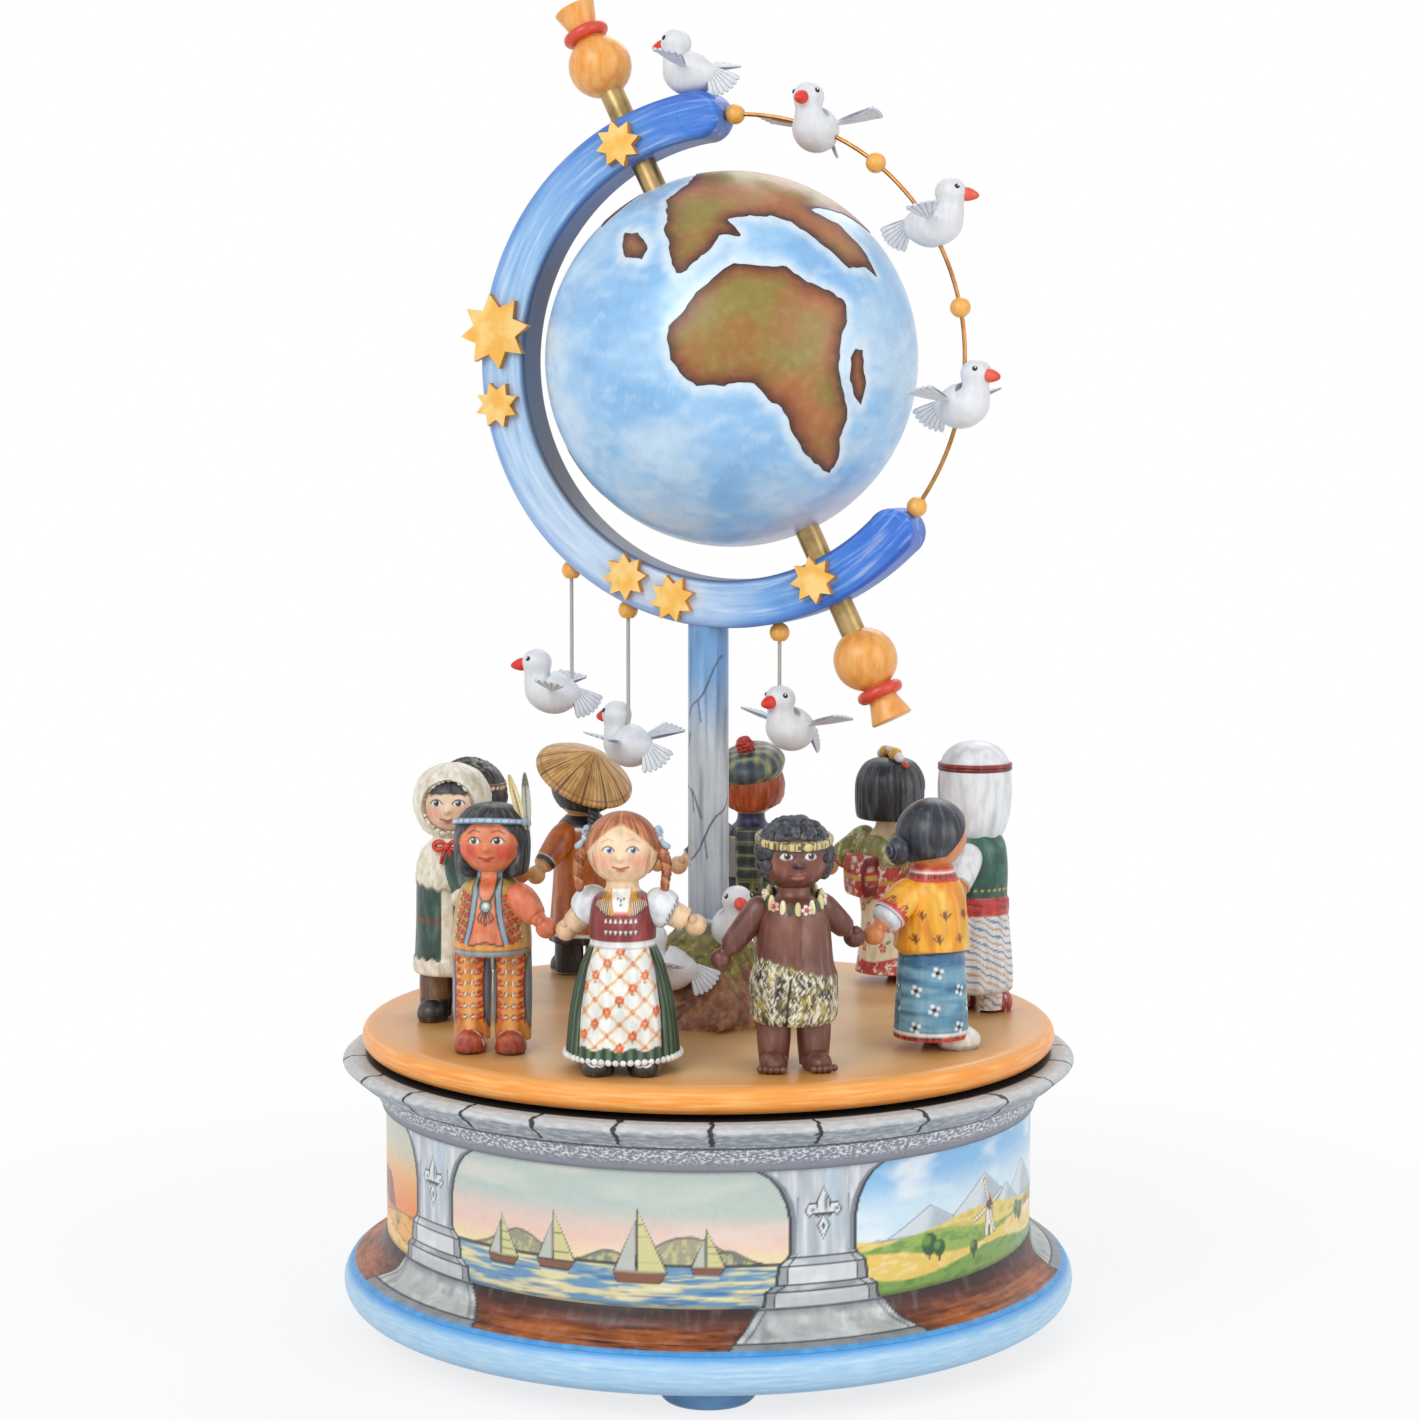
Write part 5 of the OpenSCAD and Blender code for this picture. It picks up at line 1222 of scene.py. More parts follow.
LANDS = {
    "africa": [(12, 16), (19, 12), (26, 10), (30, 3), (35, -1), (40, -5), (40, -8), (38, -12), (34, -17),
        (31, -23), (31, -29), (32, -35), (32, -40), (28, -46), (29, -52), (23, -57), (16, -51), (12, -47),
        (9, -39), (9, -34), (9, -30), (6, -26), (3, -19), (-1, -17), (-6, -16), (-13, -12), (-16, -8),
        (-17, -2), (-15, 4), (-13, 7), (-8, 8), (-4, 11), (0, 13), (5, 14)],
    "madagascar": [(39, -20), (42, -21), (41, -26), (42, -30), (41, -34), (39, -37), (36, -34),
        (35, -29), (37, -22)],
    "europe_asia": [(-5, 21), (-3, 20), (3, 22), (8, 24), (13, 27), (19, 24), (18, 28), (18, 32), (26, 30),
        (33, 27), (37, 24), (40, 18), (43, 13), (45, 9), (47, 4), (55, 3), (59, -1), (59, 3), (59, 11),
        (57, 16), (56, 20), (51, 24), (50, 27), (58, 26), (68, 23), (80, 16), (92, 20), (104, 8), (108, 18),
        (120, 28), (124, 38), (138, 46), (158, 56), (178, 66), (150, 71), (105, 77), (68, 72), (40, 69),
        (26, 63), (18, 58), (8, 55), (2, 52), (0, 44), (-4, 37), (-3, 32), (-5, 28)],
    "north_isle": [(-20, 46), (-14, 42), (-11, 36), (-14, 31), (-21, 35), (-21, 40)],
    "north_america": [(-199, 66), (-174, 70), (-149, 70), (-129, 72), (-114, 70), (-119, 62), (-128, 59),
        (-116, 53), (-112, 60), (-99, 58), (-90, 52), (-100, 45), (-108, 40), (-115, 31), (-114, 26),
        (-118, 30), (-131, 27), (-131, 20), (-124, 21), (-122, 16), (-117, 10), (-126, 14.5), (-139, 20),
        (-147, 30), (-152, 34), (-158, 42), (-164, 54), (-184, 60), (-199, 60)],
    "greenland": [(-55, 70), (-70, 77), (-40, 83), (-20, 78), (-25, 70), (-43, 60)],
    "south_america": [(-131, 8), (-124, 12), (-112, 9), (-102, 1), (-87, -6), (-91, -17), (-100, -26),
        (-109, -37), (-117, -43), (-121, -53), (-126, -50), (-124, -35), (-123, -18),
        (-133, -5), (-130, 3)],
    "australia": [(114, -22), (122, -17), (131, -12), (137, -15), (142, -11), (146, -19), (153, -27),
        (150, -37), (140, -37), (131, -31), (116, -34.5)],
    "islands_east": [(96, 5), (106, -5), (118, -8), (130, -4), (117, 4), (108, 1)],
    "japan": [(131, 33), (140, 36), (143, 43), (139, 40), (133, 35.5)],
    "new_zealand": [(168, -46), (174, -41), (177, -38), (173, -35), (172, -41)],
}
FACING = 2.5


def on_globe(lon, lat, r):
    """A point of the globe: longitude and latitude about its axle."""
    lon, lat = np.radians(np.asarray(lon, float) - FACING), np.radians(np.asarray(lat, float))
    q = np.stack([np.cos(lat) * np.sin(lon), np.sin(lat), np.cos(lat) * np.cos(lon)], -1) * r
    # Turn the zero meridian to the viewer, then lean the pole with the axle
    spin = ARC_TURN
    q = np.stack([q[..., 0] * math.cos(spin) - q[..., 2] * math.sin(spin), q[..., 1],
        q[..., 0] * math.sin(spin) + q[..., 2] * math.cos(spin)], -1)
    c, s = math.cos(AXLE_TILT), math.sin(AXLE_TILT)
    return in_crescent(np.stack([q[..., 0] * c - q[..., 1] * s, q[..., 0] * s + q[..., 1] * c, q[..., 2]],
        -1))


def coast(points, seed):
    """A closed outline made finer and a little ragged."""
    p = np.array(points + points[:1], float)
    fine = curve(p, 1.6, smooth=False)[:-1]
    n = mottle(np.c_[fine, fine[:, :1] * 0], 3.0, seed)
    k = mottle(np.c_[fine, fine[:, :1] * 0 + 9], 3.0, seed + 1)
    return fine + (np.c_[n, k] - 0.5) * 2.4


def paint_globe():
    outlines = {name: coast(pts, k) for k, (name, pts) in enumerate(LANDS.items())}
    lon = np.linspace(-180, 180, 300, endpoint=False)[None]
    lat = np.linspace(-89.2, 89.2, 150)[:, None]
    p = on_globe(lon * np.ones_like(lat), lat * np.ones_like(lon), GLOBE_R)
    d = np.full(p.shape[:2], 1e9)
    for pts in outlines.values():
        edge = on_globe(pts[:, 0], pts[:, 1], GLOBE_R)
        for k in range(0, len(edge), 2):
            d = np.minimum(d, np.linalg.norm(p - edge[k], axis=-1))
    q = p - GLOBE_AT
    c = Canvas(d, d, "a2cff4")
    cloud = mottle(q * np.array([0.7, 0.7, 1.2]), 15, 3, 4)
    fine = mottle(q * np.array([0.6, 0.6, 1.6]), 3.2, 8, 3)
    # Painted shade: the sea is darker towards the bottom of the globe
    c.put(rise(10, -45, q[..., 2]), "86bbea", 0.7)
    c.strokes(cloud, (0.44, 0.68, "cbe3f8", 0.7), (0.5, 0.3, "78b2e8", 0.6))
    c.strokes(fine, (0.55, 0.72, "d9ebfa", 0.3), (0.45, 0.3, "84b9e9", 0.3))
    c.put(rise(-58, -80, lat) * np.ones_like(d), "d5d3e8", 0.8)
    c.put(rise(4.2, 0.5, d), "e2f0fb", 0.85)
    m = Model().grid(p, c.c)
    m.make("globe_sea", brushed("globe_gloss", 0.3, 0.25, 0.1, 0.03, (1, 1, 1), coat=0.2), "globe",
        "globe_paint", ("globe",))
    m = Model()
    for number, (name, pts) in enumerate(outlines.items()):
        # The outline is filled with triangles, halved until they follow the ball
        flat = [mathutils.Vector((u * math.cos(math.radians(v)), v, 0)) for u, v in pts]
        tris = mathutils.geometry.tessellate_polygon([flat])
        mesh_v, mesh_f = [tuple(v) for v in pts], [tuple(t) for t in tris]
        for _ in range(5):
            mesh_v, mesh_f = split_long(mesh_v, mesh_f, 3.2)
        v = np.array(mesh_v)
        raised = on_globe(v[:, 0], v[:, 1], GLOBE_R + size("land_rise"))
        coast_p = on_globe(pts[:, 0], pts[:, 1], GLOBE_R + size("land_rise"))
        away = np.min(np.linalg.norm(raised[:, None] - coast_p[None], axis=-1), 1)
        c = Canvas(away, away, "b2723f")
        g = mottle(raised, 16, number + 2, 2)
        c.put(rise(0.38, 0.62, g), "8a8236", 0.85)
        c.put(rise(0.55, 0.3, mottle(raised, 9, number + 12, 2)), "a5602f", 0.6)
        c.strokes(away, (6.0, 1.5, "84431f", 0.75), (2.6, 0.8, "5f2c17", 0.85), (0.9, 0.2, "331409", 0.95))
        normal = np.cross(raised[[f[1] for f in mesh_f]] - raised[[f[0] for f in mesh_f]],
            raised[[f[2] for f in mesh_f]] - raised[[f[0] for f in mesh_f]])
        out = (normal * (raised[[f[0] for f in mesh_f]] - GLOBE_AT)).sum(-1) > 0
        m.add(raised, [f if o else f[::-1] for f, o in zip(mesh_f, out)], c.c)
        low = on_globe(pts[:, 0], pts[:, 1], GLOBE_R - 0.2)
        strip = np.stack([low, coast_p])
        area = np.sum(pts[:, 0] * np.roll(pts[:, 1], -1) - np.roll(pts[:, 0], -1) * pts[:, 1])
        m.grid(strip if area > 0 else strip[:, ::-1], tone("3a1a10"), low=False, high=False)
    m.make("globe_land", brushed("land_paint", 0.36, 0.4, 0.14, 0.05, (1, 1, 1), coat=0.1), "globe",
        "globe_paint")


class MUSICBOX_OT_globe(bpy.types.Operator):
    """Globe with a clouded sea and raised painted land."""

    bl_idname = "musicbox.globe"
    bl_label = "Globe"

    def execute(self, context):
        paint_globe()
        return {"FINISHED"}


def split_long(verts, faces, limit):
    """Halves the edges longer than the limit, in degrees, of a triangle mesh."""
    verts, made, out = list(verts), {}, []

    def middle(a, b):
        key = (min(a, b), max(a, b))
        du = (verts[a][0] - verts[b][0]) * math.cos(math.radians((verts[a][1] + verts[b][1]) / 2))
        if math.hypot(du, verts[a][1] - verts[b][1]) <= limit:
            return None
        if key not in made:
            made[key] = len(verts)
            verts.append(tuple((verts[a][k] + verts[b][k]) / 2 for k in (0, 1)))
        return made[key]

    for a, b, c in faces:
        x, y, z = middle(a, b), middle(b, c), middle(c, a)
        if x is not None and y is not None and z is not None:
            out += [(a, x, z), (x, b, y), (z, y, c), (x, y, z)]
        elif x is not None and y is not None:
            out += [(x, b, y), (a, x, y), (a, y, c)]
        elif y is not None and z is not None:
            out += [(y, c, z), (b, y, z), (b, z, a)]
        elif z is not None and x is not None:
            out += [(z, a, x), (c, z, x), (c, x, b)]
        elif x is not None:
            out += [(a, x, c), (x, b, c)]
        elif y is not None:
            out += [(b, y, a), (y, c, a)]
        elif z is not None:
            out += [(c, z, b), (z, a, b)]
        else:
            out.append((a, b, c))
    return verts, out


DOVE_LEN, DOVE_R, WING, TAIL, BEAD_AT = 16.5, 6.3, 12.5, 9.0, 77.85


def feather_fan(model, reach, spread, root, place, feathers=6):
    """A thin fan of feathers with scalloped ends and grey lines, on the X axis."""
    a = np.radians(np.linspace(-spread / 2, spread / 2, feathers * 8 + 1))
    lap = abs(np.sin((a / math.radians(spread) + 0.5) * math.pi * feathers))
    s = np.linspace(0, 1, 15)[:, None]
    far = reach * (0.9 + 0.1 * lap**0.6)[None]
    x = -root + (far * np.cos(a) + root) * s
    y = far * np.sin(a) * s
    c = Canvas(x, y, "e2e5ea")
    line = fall(0.0, 0.34, lap)[None] * rise(0.2, 0.5, s)
    c.put(line * np.ones_like(x), "6f7b8e", 0.85)
    c.put(rise(0.75, 1.0, s) * np.ones_like(x), "b9c6d6", 0.45)
    c.put(rise(0.3, 0.5, s) * rise(0.62, 0.5, s) * (lap < 0.5)[None], "93a3b8", 0.6)
    lift = 0.45 * (0.35 + 0.65
        * np.sin(np.pi * np.clip(s, 0.08, 0.92))) * np.ones_like(x) + 0.12 * lap[None]
    both = [np.stack([x, y, lift], -1), np.stack([x, y, -lift], -1)]
    model.grid(place(both[0]), c.c, wrap=False, flip=True)
    model.grid(place(both[1]), c.c, wrap=False)
    for k in (0, -1):
        side = np.stack([both[1][:, k], both[0][:, k]])
        model.grid(place(side), c.c[:, k][None].repeat(2, 0), wrap=False, flip=k == 0)
    tip = np.stack([both[1][-1], both[0][-1]])
    model.grid(place(tip), c.c[-1][None].repeat(2, 0), wrap=False)


def dove_shapes(skin, fans, place):
    """One dove that looks along +X with its body round the origin."""
    # Body, neck and head as rings along a bent line from tail to crown
    spine = [(-8.4, 1.2, 0.2), (-7.6, 0.9, 2.2), (-5.6, 0.3, 4.4), (-2.6, 0.0, 6.0), (0.4, 0.2, 6.3),
        (2.8, 1.2, 5.6), (4.0, 3.4, 4.3), (4.3, 5.4, 3.75), (4.4, 7.0, 4.0), (4.45, 8.8, 4.35),
        (4.5, 10.8, 3.7), (4.5, 12.2, 2.2), (4.5, 12.75, 0.3)]
    s = curve(spine, 0.55)
    w = np.gradient(s[:, :2], axis=0)
    w /= np.linalg.norm(w, axis=1)[:, None]
    a = np.linspace(0, 2 * math.pi, 36, endpoint=False)
    side = np.stack([-w[:, 1], w[:, 0]], 1)
    x = s[:, :1] + s[:, 2:] * np.cos(a) * side[:, :1]
    z = s[:, 1:2] + s[:, 2:] * np.cos(a) * side[:, 1:]
    y = s[:, 2:] * np.sin(a) * np.ones_like(x)
    p = np.stack([x, y, z], -1)
    c = Canvas(x, z, "ffffff")
    c.c[:] = ink("dove_white")
    # Painted shade: grey-blue under the body
    c.put(rise(-3.0, -7.5, z), "c3cad6", 0.5)
    c.put(rise(-4, -8, x) * rise(1.5, 3.5, z), "b8c2d0", 0.5)
    skin.grid(place(p), c.c, flip=True)
    beak = curve([[0.1, 4.4], [0.8, 3.9], [1.5, 2.6], [1.9, 1.2], [1.8, 0.0]], 0.3)[::-1]
    g = turn_points(ring_angles(20)[None], beak[:, :1], beak[:, 1:])
    c = Canvas(g[..., 0], g[..., 2], "e2352a")
    c.put(rise(0.2, 1.4, g[..., 0]), "f2765e", 0.6)
    skin.grid(place(to_axis(g, (7.9, 0, 8.3), (8.9, 0, 8.15))), c.c)
    for s_ in (-1, 1):
        skin.ball(place(np.array([6.2, s_ * 3.35, 10.0])[None])[0], 0.78, "16181c", 8, 12)
        # White dot on each eye: a painted highlight
        skin.ball(place(np.array([6.6, s_ * 3.8, 10.35])[None])[0], 0.26, "f4f6f8", 6, 8)
        feather_fan(fans, WING + 1.6, 40, 1.8,
            lambda q, s_=s_: place(turned_about(turned_about(turned_about(q, (0, 0, 1), s_ * 98), (0, 1, 0),
            -10), (1, 0, 0), s_ * 14) + np.array([-1, s_ * (DOVE_R - 1.6), 1.4])), 5)
    feather_fan(fans, TAIL, 76, 1.5,
        lambda q: place(turned_about(turned_about(turned_about(q, (1, 0, 0), 56), (0, 1, 0), 48), (0, 0, 1),
        180) + np.array([-DOVE_LEN / 2 + 1.8, 0, 1.2])), 7)


def on_arc(a, r):
    """A point of the crescent's plane, by its angle in degrees and radius."""
    a = math.radians(a)
    return in_crescent(np.array([r * math.cos(a), r * math.sin(a), 0.0]))


def carve_doves():
    paint = brushed("dove_lacquer", 0.45, 0.5, 0.12, 0.05)
    wood = brushed("wing_paint", 0.5, 0.8, 0.15, 0.06)
    places = [(on_arc(99, 81.1), 150), (on_arc(68.5, 67.9), -118), (on_arc(31.5, 69.6), -6),
        (on_arc(-10.9, 69.0), -38), (np.array([7.2, -11.5, DECK + 27.0]), -78),
        (np.array([-11.4, -19.2, DECK + 16.74]), 172)]
    skin, fans = Model(), Model()
    for at, facing in places:
        dove_shapes(skin, fans, lambda q, at=at, facing=facing: turned_about(q, (0, 0, 1), facing) + at)
    skin.make("dove_bodies_painted", paint, "turntable", "dove_paint", ("dove_bodies",))
    fans.make("dove_wings_painted", wood, "turntable", "wing_wood", ("dove_wings",))
    for side, angle, drop, facing, shift in (("left", -129.7, 29.5, 171, -6.4),
            ("middle", -114.2, 33.0, 140, 0.0), ("right", -79.2, 21.0, -133, 3.4)):
        bead = on_arc(angle, BEAD_AT)
        along = np.array([math.cos(ARC_TURN), math.sin(ARC_TURN), 0]) * shift
        at = bead - np.array([0, 0, drop + DOVE_R]) + along
        skin, fans = Model(), Model()
        dove_shapes(skin, fans, lambda q, at=at, facing=facing: turned_about(q, (0, 0, 1), facing) + at)
        skin.tube([bead + np.array([0, 0, 0.2]), bead - np.array([0, 0, drop * 0.5]),
            bead - np.array([0, 0, drop + 2.0])], [0.55, 0.55, 0.55], "b9b4ac", 10, 2.0)
        body = "dove_" + side
        skin.make("hanging_dove_%s_painted" % side, paint, body, "dove_paint", ("hanging_dove_" + side,))
        fans.make("hanging_dove_%s_wings" % side, wood, body, "wing_wood")


class MUSICBOX_OT_doves(bpy.types.Operator):
    """Six fixed doves and three that swing on lines."""

    bl_idname = "musicbox.doves"
    bl_label = "Doves"

    def execute(self, context):
        carve_doves()
        return {"FINISHED"}


# Children


class Child:
    """One carved child: local millimetres, with -Y the face side and Z over the disc."""

    def __init__(self, name):
        self.name = name
        self.k = ORDER.index(name)
        self.turn = math.radians(CHILD_F[self.k] + 90)
        self.at = self.spot(self.k)

    @staticmethod
    def spot(k):
        a = math.radians(CHILD_A[k % 10])
        return np.array([math.cos(a), math.sin(a)]) * RING[k % 10]

    def world(self, p):
        c, s = math.cos(self.turn), math.sin(self.turn)
        return np.stack([p[..., 0] * c - p[..., 1] * s + self.at[0], p[..., 0] * s + p[..., 1] * c
            + self.at[1], p[..., 2] + DECK], -1)

    def ring(self, r, z):
        """Points of a level ring round the child, in the frame."""
        a = np.linspace(0, 2 * math.pi, 96, endpoint=False)
        return self.world(np.stack([r * np.cos(a), r * np.sin(a), 0 * a + z], -1))

    def make(self, part, model, stands_for=None, finish=None, world=False, sharp=40):
        return model.make("%s_%s" % (self.name, part), finish or brushed("figure_lacquer", 0.38, 0.45, 0.28,
            0.05, coat=0.12), "turntable", self.name + "_paint", (self.name + "_" + stands_for,)
            if stands_for else (), None if world else self.world, sharp)

    def turned(self, model, profile, paint, fold=None, cols=190, step=None, at=None, smooth=True, low=True):
        """A turned form: paint gets a canvas with u round it and v up it, the angle and the radius."""
        prof = curve(profile, step or size("paint_step"), smooth)
        a = ring_angles(cols)[None] * np.ones((len(prof), 1))
        r, z = prof[:, :1] * np.ones_like(a), prof[:, 1:] * np.ones_like(a)
        if fold is not None:
            r = r + fold(a, z, r)
        c = Canvas(a * r, z, "ffffff")
        paint(c, a, z, r)
        p = turn_points(a, r, z)
        model.grid(at(p) if at else p, c.c, low=low)
        return model

    def arms(self, sh_r, sh_z, before, after, sleeve, wrist, paint, shape=None, part="arms_carved",
            stands_for="arms"):
        """Two arms to the neighbours; paint gets the canvas, with v along the arm, and the arm's length."""
        m = Model()
        for j, hand_z in ((self.k - 1, before), (self.k + 1, after)):
            d = self.spot(j) - self.at
            far = np.linalg.norm(d)
            u = d / far
            a = np.array([*(self.at + u * sh_r), DECK + sh_z])
            b = np.array([*(self.at + u * (far / 2 - HAND_R - 0.4)), DECK + hand_z])
            n = np.linalg.norm(b - a)
            w = n - HAND_R
            prof = shape(n) if shape else [[0.1, -sleeve * 0.85], [sleeve * 0.72, -sleeve * 0.6],
                [sleeve, 0.3], [sleeve * 0.98, n * 0.3], [wrist + 0.7, w - 1.6], [wrist, w - 1.0]]
            ang = np.linspace(-48, 88, 12)
            hand = [[HAND_R * math.cos(math.radians(t)), n + HAND_R * math.sin(math.radians(t))]
                for t in ang]
            prof = np.vstack([curve(prof, 0.45), curve(hand, 0.4)])
            t = ring_angles(64)[None]
            r, z = prof[:, :1] * np.ones_like(t), prof[:, 1:] * np.ones_like(t)
            c = Canvas(t * r, z, "ffffff")
            paint(c, t * np.ones_like(r), n)
            m.grid(to_axis(turn_points(t, r, z), a, b), c.c)
            side = np.cross((b - a) / n, [0, 0, 1.0])
            m.ball(b - (b - a) / n * 0.8 + side * HAND_R * 0.72 * (1 if side[1] < 0 else -1)
                + np.array([0, 0, 1.2]), 1.25, c.c[-2, 0], 8, 12, (1, 1, 1.25))
        return self.make(part, m, stands_for, world=True)

    def shoes(self, model, w, length, h, dy, tip, paint):
        for s in (-1, 1):
            t = np.linspace(0.06, 0.94, 26)[:, None]
            half = h * 0.75 * np.sin(np.pi * t) ** 0.6 * (0.86 + 0.2 * t)
            a = ring_angles(30)[None]
            x = half * np.sin(a)
            z = np.maximum(h * 0.35 + half * np.cos(a), 0.05)
            y = (0.5 - t) * length * np.ones_like(a)
            p = np.stack([x, y, z], -1)
            c = Canvas(y, z, "1a1a1c")
            paint(c, x, y, z)
            p = turned_about(p, (0, 0, 1), s * tip) + np.array([s * w, dy, 0])
            model.grid(p, c.c, flip=True)

    def legs(self, model, w, r1, r2, z0, z1, paint):
        for s in (-1, 1):
            self.turned(model, [[r1, z0], [(r1 + r2) / 2 + 0.25, (z0 + z1) / 2], [r2, z1]], paint, cols=72,
                at=seat(s * w, 0, 0))

    def head(self, z0, skin, blush, lips, iris, brow, hair, line, thick=0.8, gaze=0.0, eye=1.0, paint=None,
            bumps=None, parting=True, lid="3a2a22"):
        """The head with its painted face and hair; line gives where the hair starts over each x."""
        a = ring_angles(176, 0.55)[None]
        e = np.linspace(-math.pi / 2, math.pi / 2, 124)[1:-1, None]
        d = turn_points(a, np.cos(e), np.sin(e))
        x, y, z = (d[..., k] * HEAD_R for k in range(3))
        front = y < 1.0
        c = Canvas(x, z, skin)
        # Painted shade under the jaw
        c.put(rise(-4, -9, z), tone(skin) * np.array([0.8, 0.72, 0.66]), 0.6)
        c.only = front
        for s in (-1, 1):
            c.oval(s * 4.7, -2.3, 2.7, 2.3, blush, 2.2, much=0.75)
        # Painted shade under the nose and a painted highlight on its tip
        c.oval(0, -1.9, 1.25, 0.75, tone(skin) * np.array([0.86, 0.78, 0.74]), 0.7)
        c.oval(0, -1.2, 0.7, 0.6, tone(skin) * 1.06, 0.6, much=0.7)
        for s in (-1, 1):
            ex, ez = s * 3.15, 0.75
            c.oval(ex, ez, 1.62 * eye, 0.98 * eye, "f7f6f2", 0.14, s * -0.06)
            c.oval(ex + gaze, ez + 0.05, 0.82 * eye, 0.9 * eye, iris, 0.14)
            c.oval(ex + gaze, ez + 0.05, 0.42 * eye, 0.48 * eye, "141214", 0.12)
            # White dot on the iris: a painted highlight
            c.oval(ex + gaze - 0.3, ez + 0.42, 0.22, 0.22, "ffffff", 0.1)
            arch = [(ex - 1.75 * eye, ez - 0.1), (ex - 1.0 * eye, ez + 0.78 * eye), (ex, ez + 1.08 * eye),
                (ex + 1.0 * eye, ez + 0.78 * eye), (ex + 1.75 * eye, ez - 0.1)]
            c.line(arch, 0.34, lid)
            c.line([(q[0], ez - (q[1] - ez) * 0.9) for q in arch], 0.16, lid, much=0.5)
            c.line([(ex + s * -1.5, ez + 2.4), (ex + s * 0.1, ez + 2.85), (ex + s * 1.8, ez + 1.9)], 0.38,
                brow, 0.16, 0.75)
        c.line([(-2.0, -3.75), (-0.8, -3.85), (0, -4.05), (0.8, -3.85), (2.0, -3.75)], 0.5, lips)
        c.oval(0, -4.5, 1.25, 0.55, tone(lips) * 1.25, 0.25, much=0.9)
        c.line([(-2.2, -3.6), (-1.0, -4.1), (0, -4.22), (1.0, -4.1), (2.2, -3.6)], 0.16, tone(lips) * 0.45)
        if paint:
            paint(c)
        c.only = 1.0
        over = rise(-0.25, 0.25, z - line(x, y)) if hair else np.zeros_like(x)
        if hair:
            ang = np.arctan2(x, -y)
            strand = marks(ang, z, 26, 0.16, 1.5, 5)
            c.put(over, hair[0])
            c.put(over * rise(0.5, 0.75, strand), hair[1], 0.85)
            c.put(over * rise(0.48, 0.25, strand), hair[2], 0.8)
            if parting:
                c.put(over * fall(0.1, 0.4, abs(x)) * front * rise(5, 7, z), hair[1], 0.9)
        r = HEAD_R + over * thick + 0.95 * np.exp(-((x / 1.0) ** 2 + ((z + 1.2) / 0.95) ** 2)) * front
        r = r + 0.3 * np.exp(-((x / 2.0) ** 2 + ((z + 4.2) / 0.9) ** 2)) * front
        if bumps is not None:
            r = r + bumps(d, over)
        return Model().grid(d * r[..., None] + np.array([0, 0, z0]), c.c)


def skin_shade(c, colour, n):
    """Bare arm: warmer towards the hand."""
    c.fill(colour)
    c.put(rise(n - 5.5, n - 1.0, c.v), tone(colour) * np.array([0.97, 0.88, 0.84]), 0.8)
    for k in (-0.5, 0.0, 0.5):
        c.put(fall(0.1, 0.3, abs(c.u / 3 - k)) * rise(n + 0.2, n + 1.4, c.v), tone(colour) * 0.72, 0.55)


def folds(a, count, depth, sharp=1.0):
    """Even folds round a turned form."""
    return depth * (0.5 + 0.5 * np.cos(a * count)) ** sharp


def hairline(*points):
    """Height where the hair starts, by the angle from the front in degrees."""
    angle, height = zip(*points)
    return lambda x, y: np.interp(np.degrees(np.arctan2(abs(x), -y)), angle, height)


def head_radius(z):
    """Radius of a head at a height over its middle."""
    return np.sqrt(np.maximum(HEAD_R**2 - z**2, 4.0))


def face_hole(radius, mid):
    """Draws a hood in under the face round an opening in its front."""

    def fold(a, z, r):
        d = np.hypot(r * np.sin(a), z - mid)
        inside = fall(radius - 0.5, radius + 0.3, d) * (np.cos(a) > 0)
        return inside * np.minimum(head_radius(z) - 0.5 - r, 0)

    return fold


def zigzag(u, pitch, high):
    """Height of a zigzag line over u."""
    return high * (abs((u / pitch) % 1 - 0.5) * 2)


